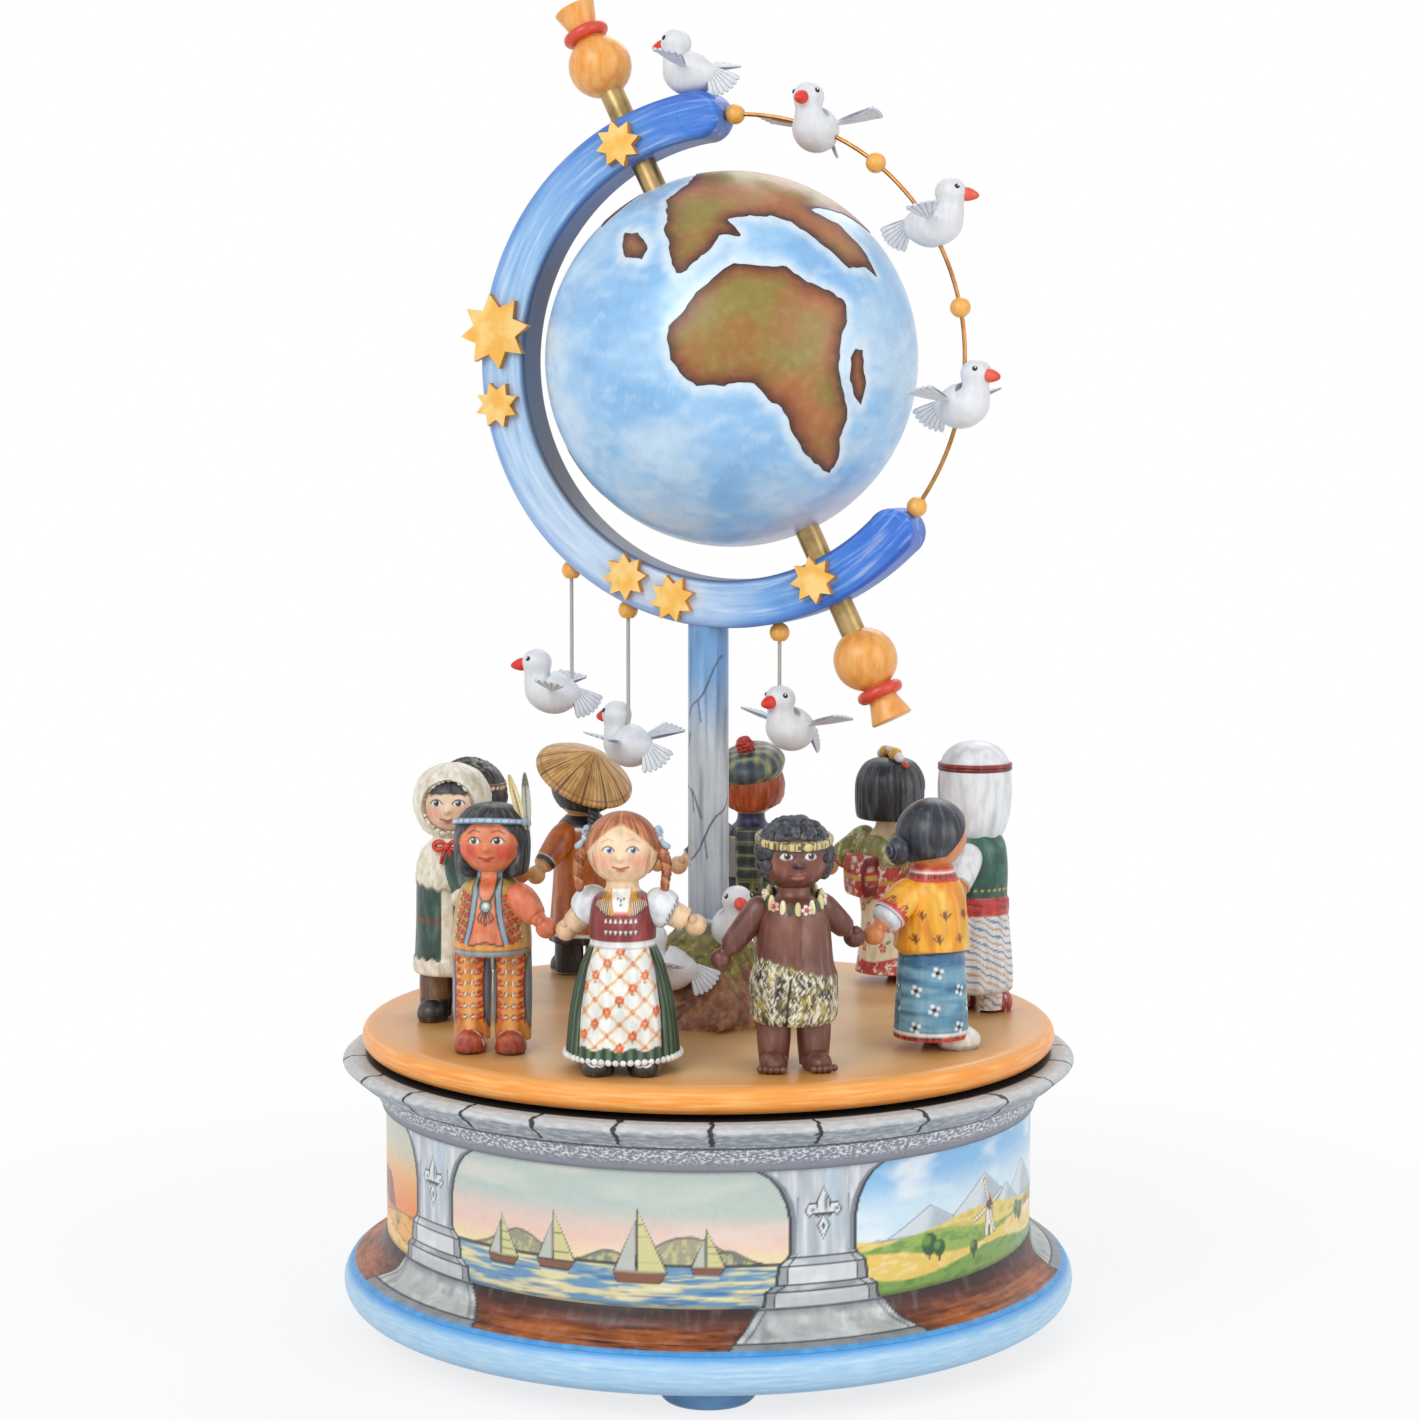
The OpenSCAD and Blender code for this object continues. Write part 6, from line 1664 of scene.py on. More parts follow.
def carve_apron_girl():
    kid = Child("apron_girl")
    m = Model()

    def dress_paint(c, a, z, r):
        u = c.u
        c.fill("2f4a33")
        # Painted highlights and painted shade in stripes along the pleats of the skirt
        pleat = np.cos(a * 34)
        c.put(rise(0.1, 0.9, pleat) * (z < 33.5), "5b7d52", 0.9)
        c.put(rise(-0.2, -0.9, pleat) * (z < 33.5), "132419", 0.8)
        half = np.interp(z, [5, 7, 17, 27, 33], [11.6, 11.8, 11.6, 10.2, 8.2])
        low = 7.6 - 0.5 * np.cos(u * 0.9)
        on = fall(-0.15, 0.15, abs(u) - half) * rise(low - 0.15, low + 0.15, z) * (z < 34)
        c.put(fall(0.3, 0.75, abs(abs(u) - half - 0.35)) * (z > 7) * (z < 33.4), "14201a", 0.95)
        c.only = on
        c.fill("f6f5ef")
        c.put(rise(half - 2.2, half, abs(u)), "d5d8d6", 0.7)
        c.put(rise(0.5, 0.2, marks(u, z, 0.5, 0.12, 2.2, 4)), "dfe2de", 0.6)
        q = 3.4
        for s in (-1, 1):
            k = (u + s * (z - 8.2) * 1.12) / (2 * q)
            d = abs(k - np.round(k)) * 2 * q / 1.5
            wig = 0.12 * np.sin(z * 3)
            c.put(fall(0.22, 0.5, d + wig), "eab86c", 0.85)
        for i in range(-4, 5):
            for j in range(0, 9):
                fx, fz = i * q, 8.2 + j * q / 1.12
                if (i + j) % 2 == 0:
                    big = (i - j) % 4 == 0
                    c.flower(fx, fz, 0.85 if big else 0.42, "dd5a3a" if big else "c9403a", "f0b040",
                        6 if big else 4)
                    if big:
                        c.oval(fx, fz - 1.6, 0.5, 0.3, "7f9a52", 0.12)
        c.only = 1.0
        c.band(33.2, 35.0, "f2f3f2")
        c.band(33.0, 33.4, "aab3bd", much=0.7)
        top = rise(34.7, 35.0, z) * rise(47.2, 46.6, z)
        c.put(top, "8c2f30")
        c.put(top * rise(0.5, 0.72, marks(u, z, 1, 0.3, 3, 2)), "a8484a", 0.7)
        c.put(top * rise(7.0, 11.0, abs(u)), "5a1c22", 0.8)
        for row in (37.4, 40.2):
            c.dots(row, 1.35, 0.62, "2a0f12", 0, -5.2, 5.2)
            c.dots(row, 1.35, 0.42, "f6ece8", 0, -5.2, 5.2)
        chest = [(-2.0, 42.2), (2.0, 42.2), (2.7, 48.4), (-2.7, 48.4)]
        c.blob(chest, "f7f7f5", 0.15)
        c.line([(-2.0, 42.2), (2.0, 42.2)], 0.7, "d85a48")
        for px, pz in ((0, 44.4), (-0.8, 46.0), (0.8, 46.0), (0, 45.6)):
            c.oval(px, pz, 0.28, 0.28, "2d3350", 0.1)
        for s in (-1, 1):
            c.line([(s * 2.4, 42.4), (s * 3.2, 48.2)], 1.2, "d9a24a")
            for k in range(8):
                x0 = s * (2.9 + 0.62 * k)
                c.line([(x0, 45.4 - 0.06 * k), (x0 + s * 0.5, 41.4 + 0.32 * k)], 0.55, "1c1212")
                c.line([(x0, 45.6 - 0.06 * k), (x0 + s * 0.45, 41.8 + 0.32 * k)], 0.3, "f3dfc0")
            c.oval(s * 4.2, 46.2, 1.5, 1.0, "c98a2e", 0.3)
            c.oval(s * 4.9, 46.4, 0.5, 0.5, "5d7a34", 0.2)
        c.put(rise(47.0, 47.5, z) * (abs(u) > 3.1), "f5d3ae")
        c.put(rise(48.2, 48.6, z), "f5d3ae")

    prof = [[14.4, 3.6], [15, 4.4], [15, 6], [13.8, 17], [11.4, 27], [8.7, 33.4], [8.75, 35], [8.8, 39],
        [7.7, 45], [4.5, 48], [4.4, 53]]

    def pleats(a, z, r):
        skirt = rise(33, 24, z)
        apron = fall(0.72, 0.86, abs(a))
        return skirt * (folds(a, 34, -0.55) * (1 - apron) + apron * (0.35 + 0.15 * np.cos(a * 9)))

    kid.turned(m, prof, dress_paint, pleats, cols=240)
    kid.make("dress", m, "body")
    bead_row("apron_girl_hem_beads", kid.ring(15.1, 4.3), 50, 0.92, ("f6f6f2", "e9ecf0"), "turntable",
        "apron_girl_paint")
    s = Model()
    kid.shoes(s, 6, 12.6, 6.2, -8, 8,
        lambda c, x, y, z: c.put(rise(0.4, 0.8, mottle(np.stack([x, y, z], -1), 2, 1)), "3a3a3e", 0.6))
    for side in (-1, 1):
        for k in (-1, 1):
            s.tube([(side * 6, -13.3, 3.4), (side * 6 + k * 1.2, -13.6, 4.4),
                (side * 6 + k * 2.3, -13.3, 3.9), (side * 6 + k * 1.0, -13.6, 3.0), (side * 6, -13.5, 3.3)],
                [0.34] * 5, "dfe6ee", 8, 0.4)
    kid.make("shoes", s, finish=brushed("shoe_lacquer", 0.25, 0.5, 0.3, 0.04, coat=0.4))

    def arm_paint(c, t, n):
        skin_shade(c, "f6d3ab", n)
        cuff = n * 0.36
        c.put(rise(cuff + 0.15, cuff - 0.15, c.v), "eef2f7")
        c.put(rise(cuff + 0.1, cuff - 0.4, c.v) * rise(0.5, 0.25, marks(t, c.v, 4, 0.2, 1.2, 3)),
            "c7d2e0", 0.6)
        c.dots(cuff - 0.55, 1.5, 0.36, "23262e")
        c.put(fall(0.05, 0.3, abs(c.v - cuff)), "9aa3ad", 0.8)

    def puff(n):
        return [[0.1, -4.6], [3.4, -3.6], [5.0, -0.8], [5.2, n * 0.18], [4.5, n * 0.32], [3.6, n * 0.365],
            [3.4, n * 0.38], [3.3, n * 0.55], [3.0, n * 0.75], [2.5, n - HAND_R - 1.6],
            [2.3, n - HAND_R - 1.0]]

    kid.arms(9.5, 43, 35, 38, 4.9, 2.4, arm_paint, puff)

    def line(x, y):
        return np.where(y < 2.0, 6.9 - 0.34 * np.maximum(abs(x) - 0.3, 0) - 0.055 * x**2 + rise(-1.5, 3, y)
            * -4, -6.6 + 0.0 * x)

    def wisps(c):
        for s in (-1, 1):
            for k in range(3):
                c.line([(s * (7.6 - 0.3 * k), 0.5 - k), (s * (7.2 - 0.5 * k), -4.2 - 0.8 * k)], 0.2,
                    "b9683c", much=0.8)

    h = kid.head(58.2, "f9d9b2", "f3a98a", "c4695c", "5f7f9c", "d2a27c", ("b4643a", "dd9a68", "7e3a1e"),
        line, 0.7, 0.25, 0.92, wisps, lid="7d5a4a")
    kid.make("head_painted", h, "head")
    b = Model()
    for s in (-1, 1):
        start, end = np.array([s * 9.4, 0.2, 59.4]), np.array([s * 11.2, -1.2, 49.4])
        for strand in range(3):
            pts, rad = [], []
            for t in np.linspace(0, 1, 22):
                w = 2 * math.pi * (t * 2.6 + strand / 3)
                off = np.array([math.cos(w), math.sin(w), 0]) * 0.8 * (1 - 0.35 * t)
                pts.append(start + (end - start) * t + off
                    + np.array([s * 1.2 * math.sin(math.pi * t), 0, 0]))
                rad.append(1.1 - 0.3 * t)
            b.tube(pts, rad, ("b4683e", "c98454", "96502c")[strand], 10, 0.45)
        tip = end + np.array([0, 0, -0.6])
        b.ball(tip, 1.25, "a85c34", 8, 12, (1, 1, 1.6))
    kid.make("braids", b, finish=brushed("hair_lacquer", 0.42, 0.9, 0.5, 0.1, coat=0.1))
    r = Model()
    for s in (-1, 1):
        at = np.array([s * 9.6, -0.2, 61.0])
        for k in (-1, 1):
            loop = [at, at + np.array([s * (0.6 - 0.8 * k), -1.0, 1.7 * k + 0.3]),
                at + np.array([s * (1.0 - 1.2 * k), 0.4, 2.4 * k + 0.2]),
                at + np.array([s * 0.6, 0.8, 1.0 * k]), at]
            r.tube(loop, [0.55, 0.8, 0.9, 0.7, 0.5], "bcd2e4", 10, 0.4)
        r.ball(at, 1.1, "dbe7f0", 8, 12)
    kid.make("ribbons", r)


class MUSICBOX_OT_apron_girl(bpy.types.Operator):
    """Girl with braids, bodice and a flowered apron over a pleated skirt."""

    bl_idname = "musicbox.apron_girl"
    bl_label = "Apron girl"

    def execute(self, context):
        carve_apron_girl()
        return {"FINISHED"}


def carve_curly_boy():
    kid = Child("curly_boy")
    skin = "6d4035"

    def body(c, a, z, r):
        u = c.u
        c.fill(skin)
        c.put(rise(0.5, 0.7, marks(u, z, 1, 1, 6, 3)), "8a5645", 0.6)
        c.line([(0.2, 43), (0.7, 37), (0.3, 30)], 0.5, "3d201c", 0.4, 0.7)
        # Painted highlights on the chest
        for s in (-1, 1):
            c.oval(s * 3.8, 37.4, 2.8, 4.4, "8a5644", 2.4, much=0.6)
        top = 27.6 - 0.26 * np.clip(u, -9, 9) + 0.35 * np.sin(u * 2.1)
        fur = fall(-0.25, 0.25, z - top)
        c.put(fur, "8b7d50")
        c.put(fur * rise(0.5, 0.6, marks(u, z, 0.7, 0.7, 1.6, 8)), "b9a548", 0.9)
        c.put(fur * rise(0.48, 0.4, marks(u, z, 0.6, 0.7, 1.7, 12)), "26231f", 0.9)
        for k in (-0.6, 0.2, 0.8):
            c.put(fur * rise(0.6, 0.66, marks(u + k * z, z, 1.7, 0.5, 1.0, 5 + 9 * k)), "efe8cf", 0.9)
            c.put(fur * rise(0.62, 0.68, marks(u - k * z, z, 1.7, 0.5, 1.0, 35 + 9 * k)), "1d1a17", 0.8)
        c.line([(-3.6, 12), (-3.0, 19), (-2.2, 25.5)], 0.7, "241712")

    m = Model()
    fur_lump = lambda a, z, r: rise(27, 25, z) * (0.7 * marks(a * r, z, 1.2, 0.35, 1.4, 5)
        - 0.2) - 0.5 * np.exp(-(((a * r + 3.2) / 0.8) ** 2)) * (z < 25)
    kid.turned(m, [[9.9, 12.6], [10.6, 13.2], [11.4, 15], [11.4, 24], [10.4, 29], [9.9, 34], [9.3, 39],
        [7.5, 44], [4.5, 46.5], [4.4, 52]], body, fur_lump, 220)
    kid.make("body_painted", m, "body")
    m = Model()
    # Legs painted lighter down the front: a painted highlight
    kid.legs(m, 5.3, 3.8, 4.6, 1, 15,
        lambda c, a, z, r: c.fill(skin).put(rise(0.3, 1.0, np.cos(a)) * rise(4, 9, z), "80503f", 0.5))
    kid.shoes(m, 5.6, 13, 5.2, -2.6, 14,
        lambda c, x, y, z: c.fill(skin).put(rise(1.0, 0.2, z), "3a211c", 0.6))
    for s in (-1, 1):
        for k in range(5):
            p = turned_about(np.array([[-2.9 + 1.45 * k, -6.2 + 0.25 * abs(k - 2) ** 1.5, 1.2]]), (0, 0, 1),
                s * 14)[0] + np.array([s * 5.6, -2.6, 0])
            m.ball(p, 1.0, "6f4236", 8, 10)
    kid.make("legs_painted", m)
    kid.arms(9, 42.4, 29, 33, 3.6, 2.3, lambda c, t, n: skin_shade(c, skin, n))
    base = hairline((0, 4.9), (40, 4.4), (50, 0.5), (58, -4.5), (80, -6.2), (180, -7.4))

    def detail(c):
        c.oval(0, -1.7, 1.9, 0.95, "4a2620", 0.5)
        for s in (-1, 1):
            c.oval(s * 0.75, -2.0, 0.42, 0.3, "2a1210", 0.15)
        c.line([(-2.4, -4.3), (-1, -3.9), (0, -4.15), (1, -3.9), (2.4, -4.3)], 0.6, "8d4a42")
        c.oval(0, -4.9, 1.7, 0.7, "b87468", 0.25)
        c.line([(-2.5, -4.3), (0, -4.42), (2.5, -4.3)], 0.2, "351512")

    broad = lambda d, over: 0.45 * np.exp(-((d[..., 0] * HEAD_R / 1.8) ** 2
        + ((d[..., 2] * HEAD_R + 1.6) / 0.9) ** 2)) * (d[..., 1] < 0)
    kid.make("head_painted", kid.head(56.6, skin, "93503c", "9a574c", "5a3018", "2a1a18",
        ("2c2d33", "4b4e57", "17181c"), base, 0.5, 0.2, 1.08, detail, broad, False, "1d1210"), "head")
    a = np.radians(np.arange(0, 360, 8))[None]
    rows = np.linspace(0, 1, 14)[:, None]
    foot = np.interp(np.degrees(np.arccos(np.cos(a))), [0, 40, 50, 58, 80, 180],
        [5.8, 5.2, 1.6, -3.4, -5.2, -6.4])
    lat = np.arcsin(foot / 9.6) * (1 - rows) + math.radians(86) * rows
    p = kid.world(turn_points(a, 9.55 * np.cos(lat), 9.55 * np.sin(lat) + 56.6)).reshape(-1, 3)
    faces = ring_faces(14, a.shape[1])
    tufts("curly_boy_curls", p, faces, 0.6e6, 1.7, 0.8, ("191a1f", "4d515c"), "turntable",
        "curly_boy_paint", 3, 0.62, brushed("hair_lacquer", 0.42, 0.9, 0.5, 0.1, coat=0.1))
    m = Model()

    def band(c, a, z, r):
        c.fill("d9c88e")
        spot = marks(a * 10, r, 1.1, 0.8, 0.55, 8)
        c.strokes(spot, (0.54, 0.64, "e9d27c", 1.0), (0.5, 0.42, "2c2a25", 0.9))

    kid.turned(m, [[9.3, -1.0], [10.1, -0.95], [10.35, 0], [10.1, 0.95], [9.3, 1.0]], band, None, 240, 0.25,
        seat(0, 0, 60.9, 7))
    for k in range(LEAVES):
        t = 2 * math.pi * k / LEAVES
        d = np.array([math.sin(t), -math.cos(t), 0])
        sag = 3.4 * (0.5 + 0.5 * math.cos(t)) ** 2
        d, low = d * (1 + 0.03 * sag), -sag
        m.ball(d * 7.0 + np.array([0, 0, 45.9 + low - 0.9 * (k % 2)]), 1.9,
            ("e4d79a", "4d6a34", "efe6b4", "2f4a2c")[k % 4], 8, 12, (0.5, 0.5, 1.45))
        if k % 4 == 1:
            for j in range(5):
                e = np.array([d[1], -d[0], 0]) * 0.95 * math.cos(j * 1.257) + np.array([0, 0,
                    0.95 * math.sin(j * 1.257)])
                m.ball(d * 7.8 + e + np.array([0, 0, 46.4 + low]), 0.6,
                    ("f4dfe0", "f0b9b4", "f7efe6")[k // 2 % 3], 6, 8)
            m.ball(d * 8.2 + np.array([0, 0, 46.4 + low]), 0.5, "d85a4a", 6, 8)
    kid.make("band_and_necklace", m)


class MUSICBOX_OT_curly_boy(bpy.types.Operator):
    """Boy with knotted curls, a leaf necklace and a fur skirt."""

    bl_idname = "musicbox.curly_boy"
    bl_label = "Curly boy"

    def execute(self, context):
        carve_curly_boy()
        return {"FINISHED"}


def carve_blouse_girl():
    kid = Child("blouse_girl")

    def body(c, a, z, r):
        u = c.u
        c.fill("5d93b0")
        s = marks(u + 1.5 * z, z, 0.1, 0.55, 1.2, 3)
        c.strokes(s, (0.5, 0.66, "86b4c9", 0.75), (0.48, 0.32, "2f6189", 0.8))
        for row in range(4):
            for k in range(5):
                at = (k - 2 + (0, 0.45, 0.1, 0.6)[row]) * 13.0
                for du, dv in ((1.15, 0.5), (-1.15, -0.4), (0.4, -1.1), (-0.4, 1.1)):
                    c.oval(at + du, 7.0 + 5.0 * row + dv, 0.62, 0.55, "f4f6f6", 0.15)
                c.oval(at, 7.0 + 5.0 * row, 0.72, 0.62, "14171d", 0.15)
        c.band(3.0, 5.0, "2a1c22", 0.1)
        c.put((z < 5.0) * rise(0.52, 0.6, marks(u, z, 1.0, 0.6, 1.0, 5)), "d9702c", 0.95)
        c.put((z < 4.9) * rise(0.1, -0.1, z - 3.5 - zigzag(u, 1.7, 1.1)), "c8322a", 0.95)
        c.band(4.8, 5.5, "f4f4f0", 0.12)
        edge = 26.3 + 1.5 * abs(np.sin(a))
        top = rise(-0.15, 0.15, z - edge)
        # Dark outline and painted shadow under the lower edge of the blouse
        c.put(fall(0.3, 0.7, abs(z - edge + 0.3)), "23415e", 0.85)
        c.put(top, "f7b02a")
        s = marks(u, z, 0.8, 0.16, 2.2, 3)
        c.strokes(s, (0.52, 0.7, "fbcd5c", 0.8), (0.48, 0.3, "e8861f", 0.7), on=top)
        for k in range(9):
            for row in (30.4, 36.8):
                x0 = (k - 4) * 6.6 + (3.3 if row > 35 else 0)
                for d in (-58, -20, 20, 58):
                    t = math.radians(90 + d)
                    c.line([(x0 + 0.5 * math.cos(t), row + 0.5 * math.sin(t)),
                        (x0 + 1.7 * math.cos(t), row + 2.1 * math.sin(t))], 0.48, "8e4a1c")
                c.line([(x0, row - 0.6), (x0, row + 1.9)], 0.44, "7a2f16")
        neck = z > 46.4
        c.put(neck * 1.0, "cf3b2e")
        c.put(neck * fall(0.2, 0.42, abs(z - 47.3 - zigzag(u, 1.6, 1.0))), "2a1a1c", 0.9)
        c.band(48.4, 49.2, "f5efe4", 0.12)
        c.put(rise(50.2, 50.5, z), "d98a50")

    m = kid.turned(Model(), [[10.2, 3.4], [10.6, 3.8], [10.3, 10], [9.7, 22], [9.4, 26.6], [10.1, 27.6],
        [10.4, 29], [9.9, 36], [8.9, 43], [6.6, 47.6], [5.4, 50.4], [4.4, 51], [4.4, 53]], body,
        lambda a, z, r: rise(28, 31, z) * rise(44, 40, z) * folds(a, 11, -0.3) - 0.35 * rise(27.2, 26.4, z),
        220)
    kid.make("dress", m, "body")
    m = Model()
    kid.shoes(m, 4.6, 13, 6, -6, 6,
        lambda c, x, y, z: c.fill("eeece4").put(rise(1.6, 0.6, z), "9aa0a4", 0.8))
    kid.make("shoes", m)

    def sleeve(c, t, n):
        skin_shade(c, "d98a50", n)
        cuff = n - 7.6
        c.only = rise(n - 3.8, n - 4.1, c.v)
        s = marks(t, c.v, 4, 0.2, 1.6, 3)
        c.fill("f7b02a").strokes(s, (0.5, 0.7, "fbcd5c", 0.8), (0.48, 0.3, "e8861f", 0.7))
        for k in range(6):
            for q in (-0.5, 0.0, 0.5):
                c.line([((k - 2.5) * 4.6 + q, n * 0.3), ((k - 2.5) * 4.6 + 3 * q, n * 0.3 + 2.6)],
                    0.45, "8e4a1c")
        c.put(rise(0.1, -0.1, cuff - 1.9 - c.v + zigzag(c.u, 1.7, 1.2)), "c9362b")
        c.put(rise(cuff + 0.1, cuff + 0.4, c.v), "e6ebf0")
        c.put(rise(cuff + 0.4, cuff + 3.4, c.v) * rise(0.5, 0.3, marks(c.u, c.v, 1, 0.2, 1.4, 6)),
            "b4c4d4", 0.7)

    kid.arms(8.6, 43, 33, 34, 4.3, 2.4, sleeve,
        lambda n: [[0.1, -3.8], [3.2, -2.8], [4.4, 0.2], [4.7, n * 0.3], [4.7, n * 0.55], [3.9, n - 8.0],
        [3.6, n - 7.6], [4.2, n - 6.8], [4.2, n - 5.2], [3.4, n - 4.3], [2.4, n - 4.0], [2.3, n - 3.6]])
    line = hairline((0, 5.6), (45, 4.2), (72, -0.5), (95, -4.6), (180, -6.8))
    m = kid.head(58.4, "dd9156", "d0653c", "b4483a", "2a1c18", "2a2226",
        ("272a34", "59627a", "101218"), line, 0.8)
    m.ball((0, 10.7, 54.8), 4.0, "2b2e3a", 18, 26, (1.0, 0.75, 1.0))
    for k in range(3):
        t = np.linspace(0, 2 * math.pi, 40)
        m.tube(np.stack([(1.4 + k) * np.cos(t), 0 * t + 13.55 - 0.55 * k - 0.28 * k * k,
            54.8 + (1.4 + k) * np.sin(t)], -1), [0.4] * 40, "4d566a", 6, 0.5)
    kid.make("head_painted", m, "head")


class MUSICBOX_OT_blouse_girl(bpy.types.Operator):
    """Girl with a bun, a wide blouse and a banded skirt."""

    bl_idname = "musicbox.blouse_girl"
    bl_label = "Blouse girl"

    def execute(self, context):
        carve_blouse_girl()
        return {"FINISHED"}


def carve_headcloth_boy():
    kid = Child("headcloth_boy")

    def trousers(c, a, z, r):
        c.fill("e4e7ea")
        wave = z + 0.5 * c.u + 0.35 * np.sin(c.u * 1.3)
        k = (wave / 4.4) % 1
        c.put(fall(0.05, 0.1, abs(k - 0.25)), "c9965c", 0.95)
        c.put(fall(0.05, 0.1, abs(k - 0.75)), "5f7488", 0.95)

    def body(c, a, z, r):
        u = c.u
        trousers(c, a, z, r)
        c.put(rise(10, 7, z), "cfd3d8", 0.6)
        fringe = (z > 24.6) * (z < 29.6) * (marks(u, z, 1.4, 0.1, 0.9, 2) > 0.5) * (abs(u - 9) < 8)
        c.put(fringe * 1.0, "3f7a4c")
        c.band(28.8, 34.2, "c5342b")
        c.put((z > 28.9) * (z < 34.1) * rise(0.5, 0.65, marks(u, z, 0.25, 1.2, 1.2, 6)), "e0604a", 0.8)
        c.put((z > 28.9) * (z < 34.1) * rise(0.46, 0.34, marks(u, z, 0.25, 1.2, 1.2, 9)), "7d1d1c", 0.8)
        top = rise(33.9, 34.3, z)
        vest = top * rise(2.2, 2.6, abs(u) - 0.12 * (z - 34))
        c.put(top, "f2f2ee")
        c.put(vest, "1f5040")
        c.put(vest * rise(0.52, 0.7, marks(u, z, 0.6, 0.6, 2.0, 4)), "35705a", 0.8)
        c.put(top * fall(0.25, 0.5, abs(abs(u) - 2.9 - 0.12 * (z - 34))), "e2b54c")
        c.dots(36.4, 2.0, 0.42, "e9c462")
        c.put(rise(52.4, 52.8, z), "d79b68")

    m = kid.turned(Model(), [[9.4, 6], [11.2, 6.8], [11.7, 9], [11.3, 18], [10.1, 28.6], [10.2, 30],
        [10.1, 33], [9.6, 34.4], [9.7, 42], [8.9, 49], [6.4, 53.5], [4.4, 56], [4.4, 60]], body,
        lambda a, z, r: rise(28, 20, z) * folds(a, 11, -0.45) - 0.8 * np.exp(-((a / 0.1) ** 2))
        * rise(20, 12, z), 210)
    kid.make("body_painted", m, "body")
    m = Model()
    kid.legs(m, 5, 3.6, 3.6, 1, 8.4, trousers)

    def shoe(c, x, y, z):
        c.fill("b8312a").put(rise(1.0, 0.3, z), "3a1512", 0.8)
        c.put(fall(0.5, 0.8, abs(y - 0.6)), "7d1f1c", 0.9)
        k = np.round(x / 1.3)
        c.put(fall(0.3, 0.5, np.hypot(x - k * 1.3, y - 0.6)), "f6efe4")

    kid.shoes(m, 5.2, 13, 6.4, -4, 10, shoe)
    kid.make("legs_painted", m)

    def sleeve(c, t, n):
        skin_shade(c, "d79b68", n)
        c.only = rise(n - 4.2, n - 4.5, c.v)
        c.fill("eceef0")
        c.put(rise(0.48, 0.3, marks(t, c.v, 3, 0.25, 1.8, 7)), "c6ced8", 0.6)
        c.put(fall(0.15, 0.4, abs(c.v - n + 4.6)), "8f9aa8", 0.8)

    kid.arms(8.6, 46, 37, 38, 4.2, 2.4, sleeve)
    m = kid.head(66, "dba06c", "cf7450", "b2503f", "3a2416", "2c1c16", None, None)
    kid.make("head_painted", m, "head")

    def cloth(c, a, z, r):
        c.fill("eceff2")
        s = marks(a * 9, z, 0.5, 0.06, 1.6, 3)
        c.put(rise(0.46, 0.3, s) * rise(4, 0, z), "b4c3d2", 0.6)
        c.put(rise(-9, -15, z), "c9d3dd", 0.5)
        c.band(-15.8, -15.0, "9fb0c2", much=0.7)
        d = np.hypot(r * np.sin(a), z + 3.4)
        c.put(fall(0.3, 0.8, abs(d - 7.4)) * (np.cos(a) > 0), "a8b4c4", 0.8)

    hole = face_hole(7.2, -3.4)
    m = kid.turned(Model(), [[6.0, -15.6], [7.2, -15.4], [8.8, -13], [10.2, -8], [10.7, -2], [10.5, 3],
        [9.9, 6.4], [8.6, 9.2], [6, 11.4], [2.6, 12.5], [0.2, 12.7]], cloth,
        lambda a, z, r: hole(a, z, r) + rise(3, -8, z) * folds(a, 8, -0.55, 1.6) * rise(0.5, 1.2, abs(a)),
        180, at=seat(0, 0, 66.0), low=False)
    t = np.linspace(0, 2 * math.pi, 90)
    for k, col in ((0.5, "8e2622"), (-0.5, "6d1a1a")):
        m.tube(np.stack([10.1 * np.cos(t), 10.1 * np.sin(t), 0 * t + 71.4 + k], -1), [0.66] * 90,
            col, 12, 0.6)
    kid.make("headcloth_painted", m)


class MUSICBOX_OT_headcloth_boy(bpy.types.Operator):
    """Boy in a white headcloth, a green vest and striped trousers."""

    bl_idname = "musicbox.headcloth_boy"
    bl_label = "Headcloth boy"

    def execute(self, context):
        carve_headcloth_boy()
        return {"FINISHED"}


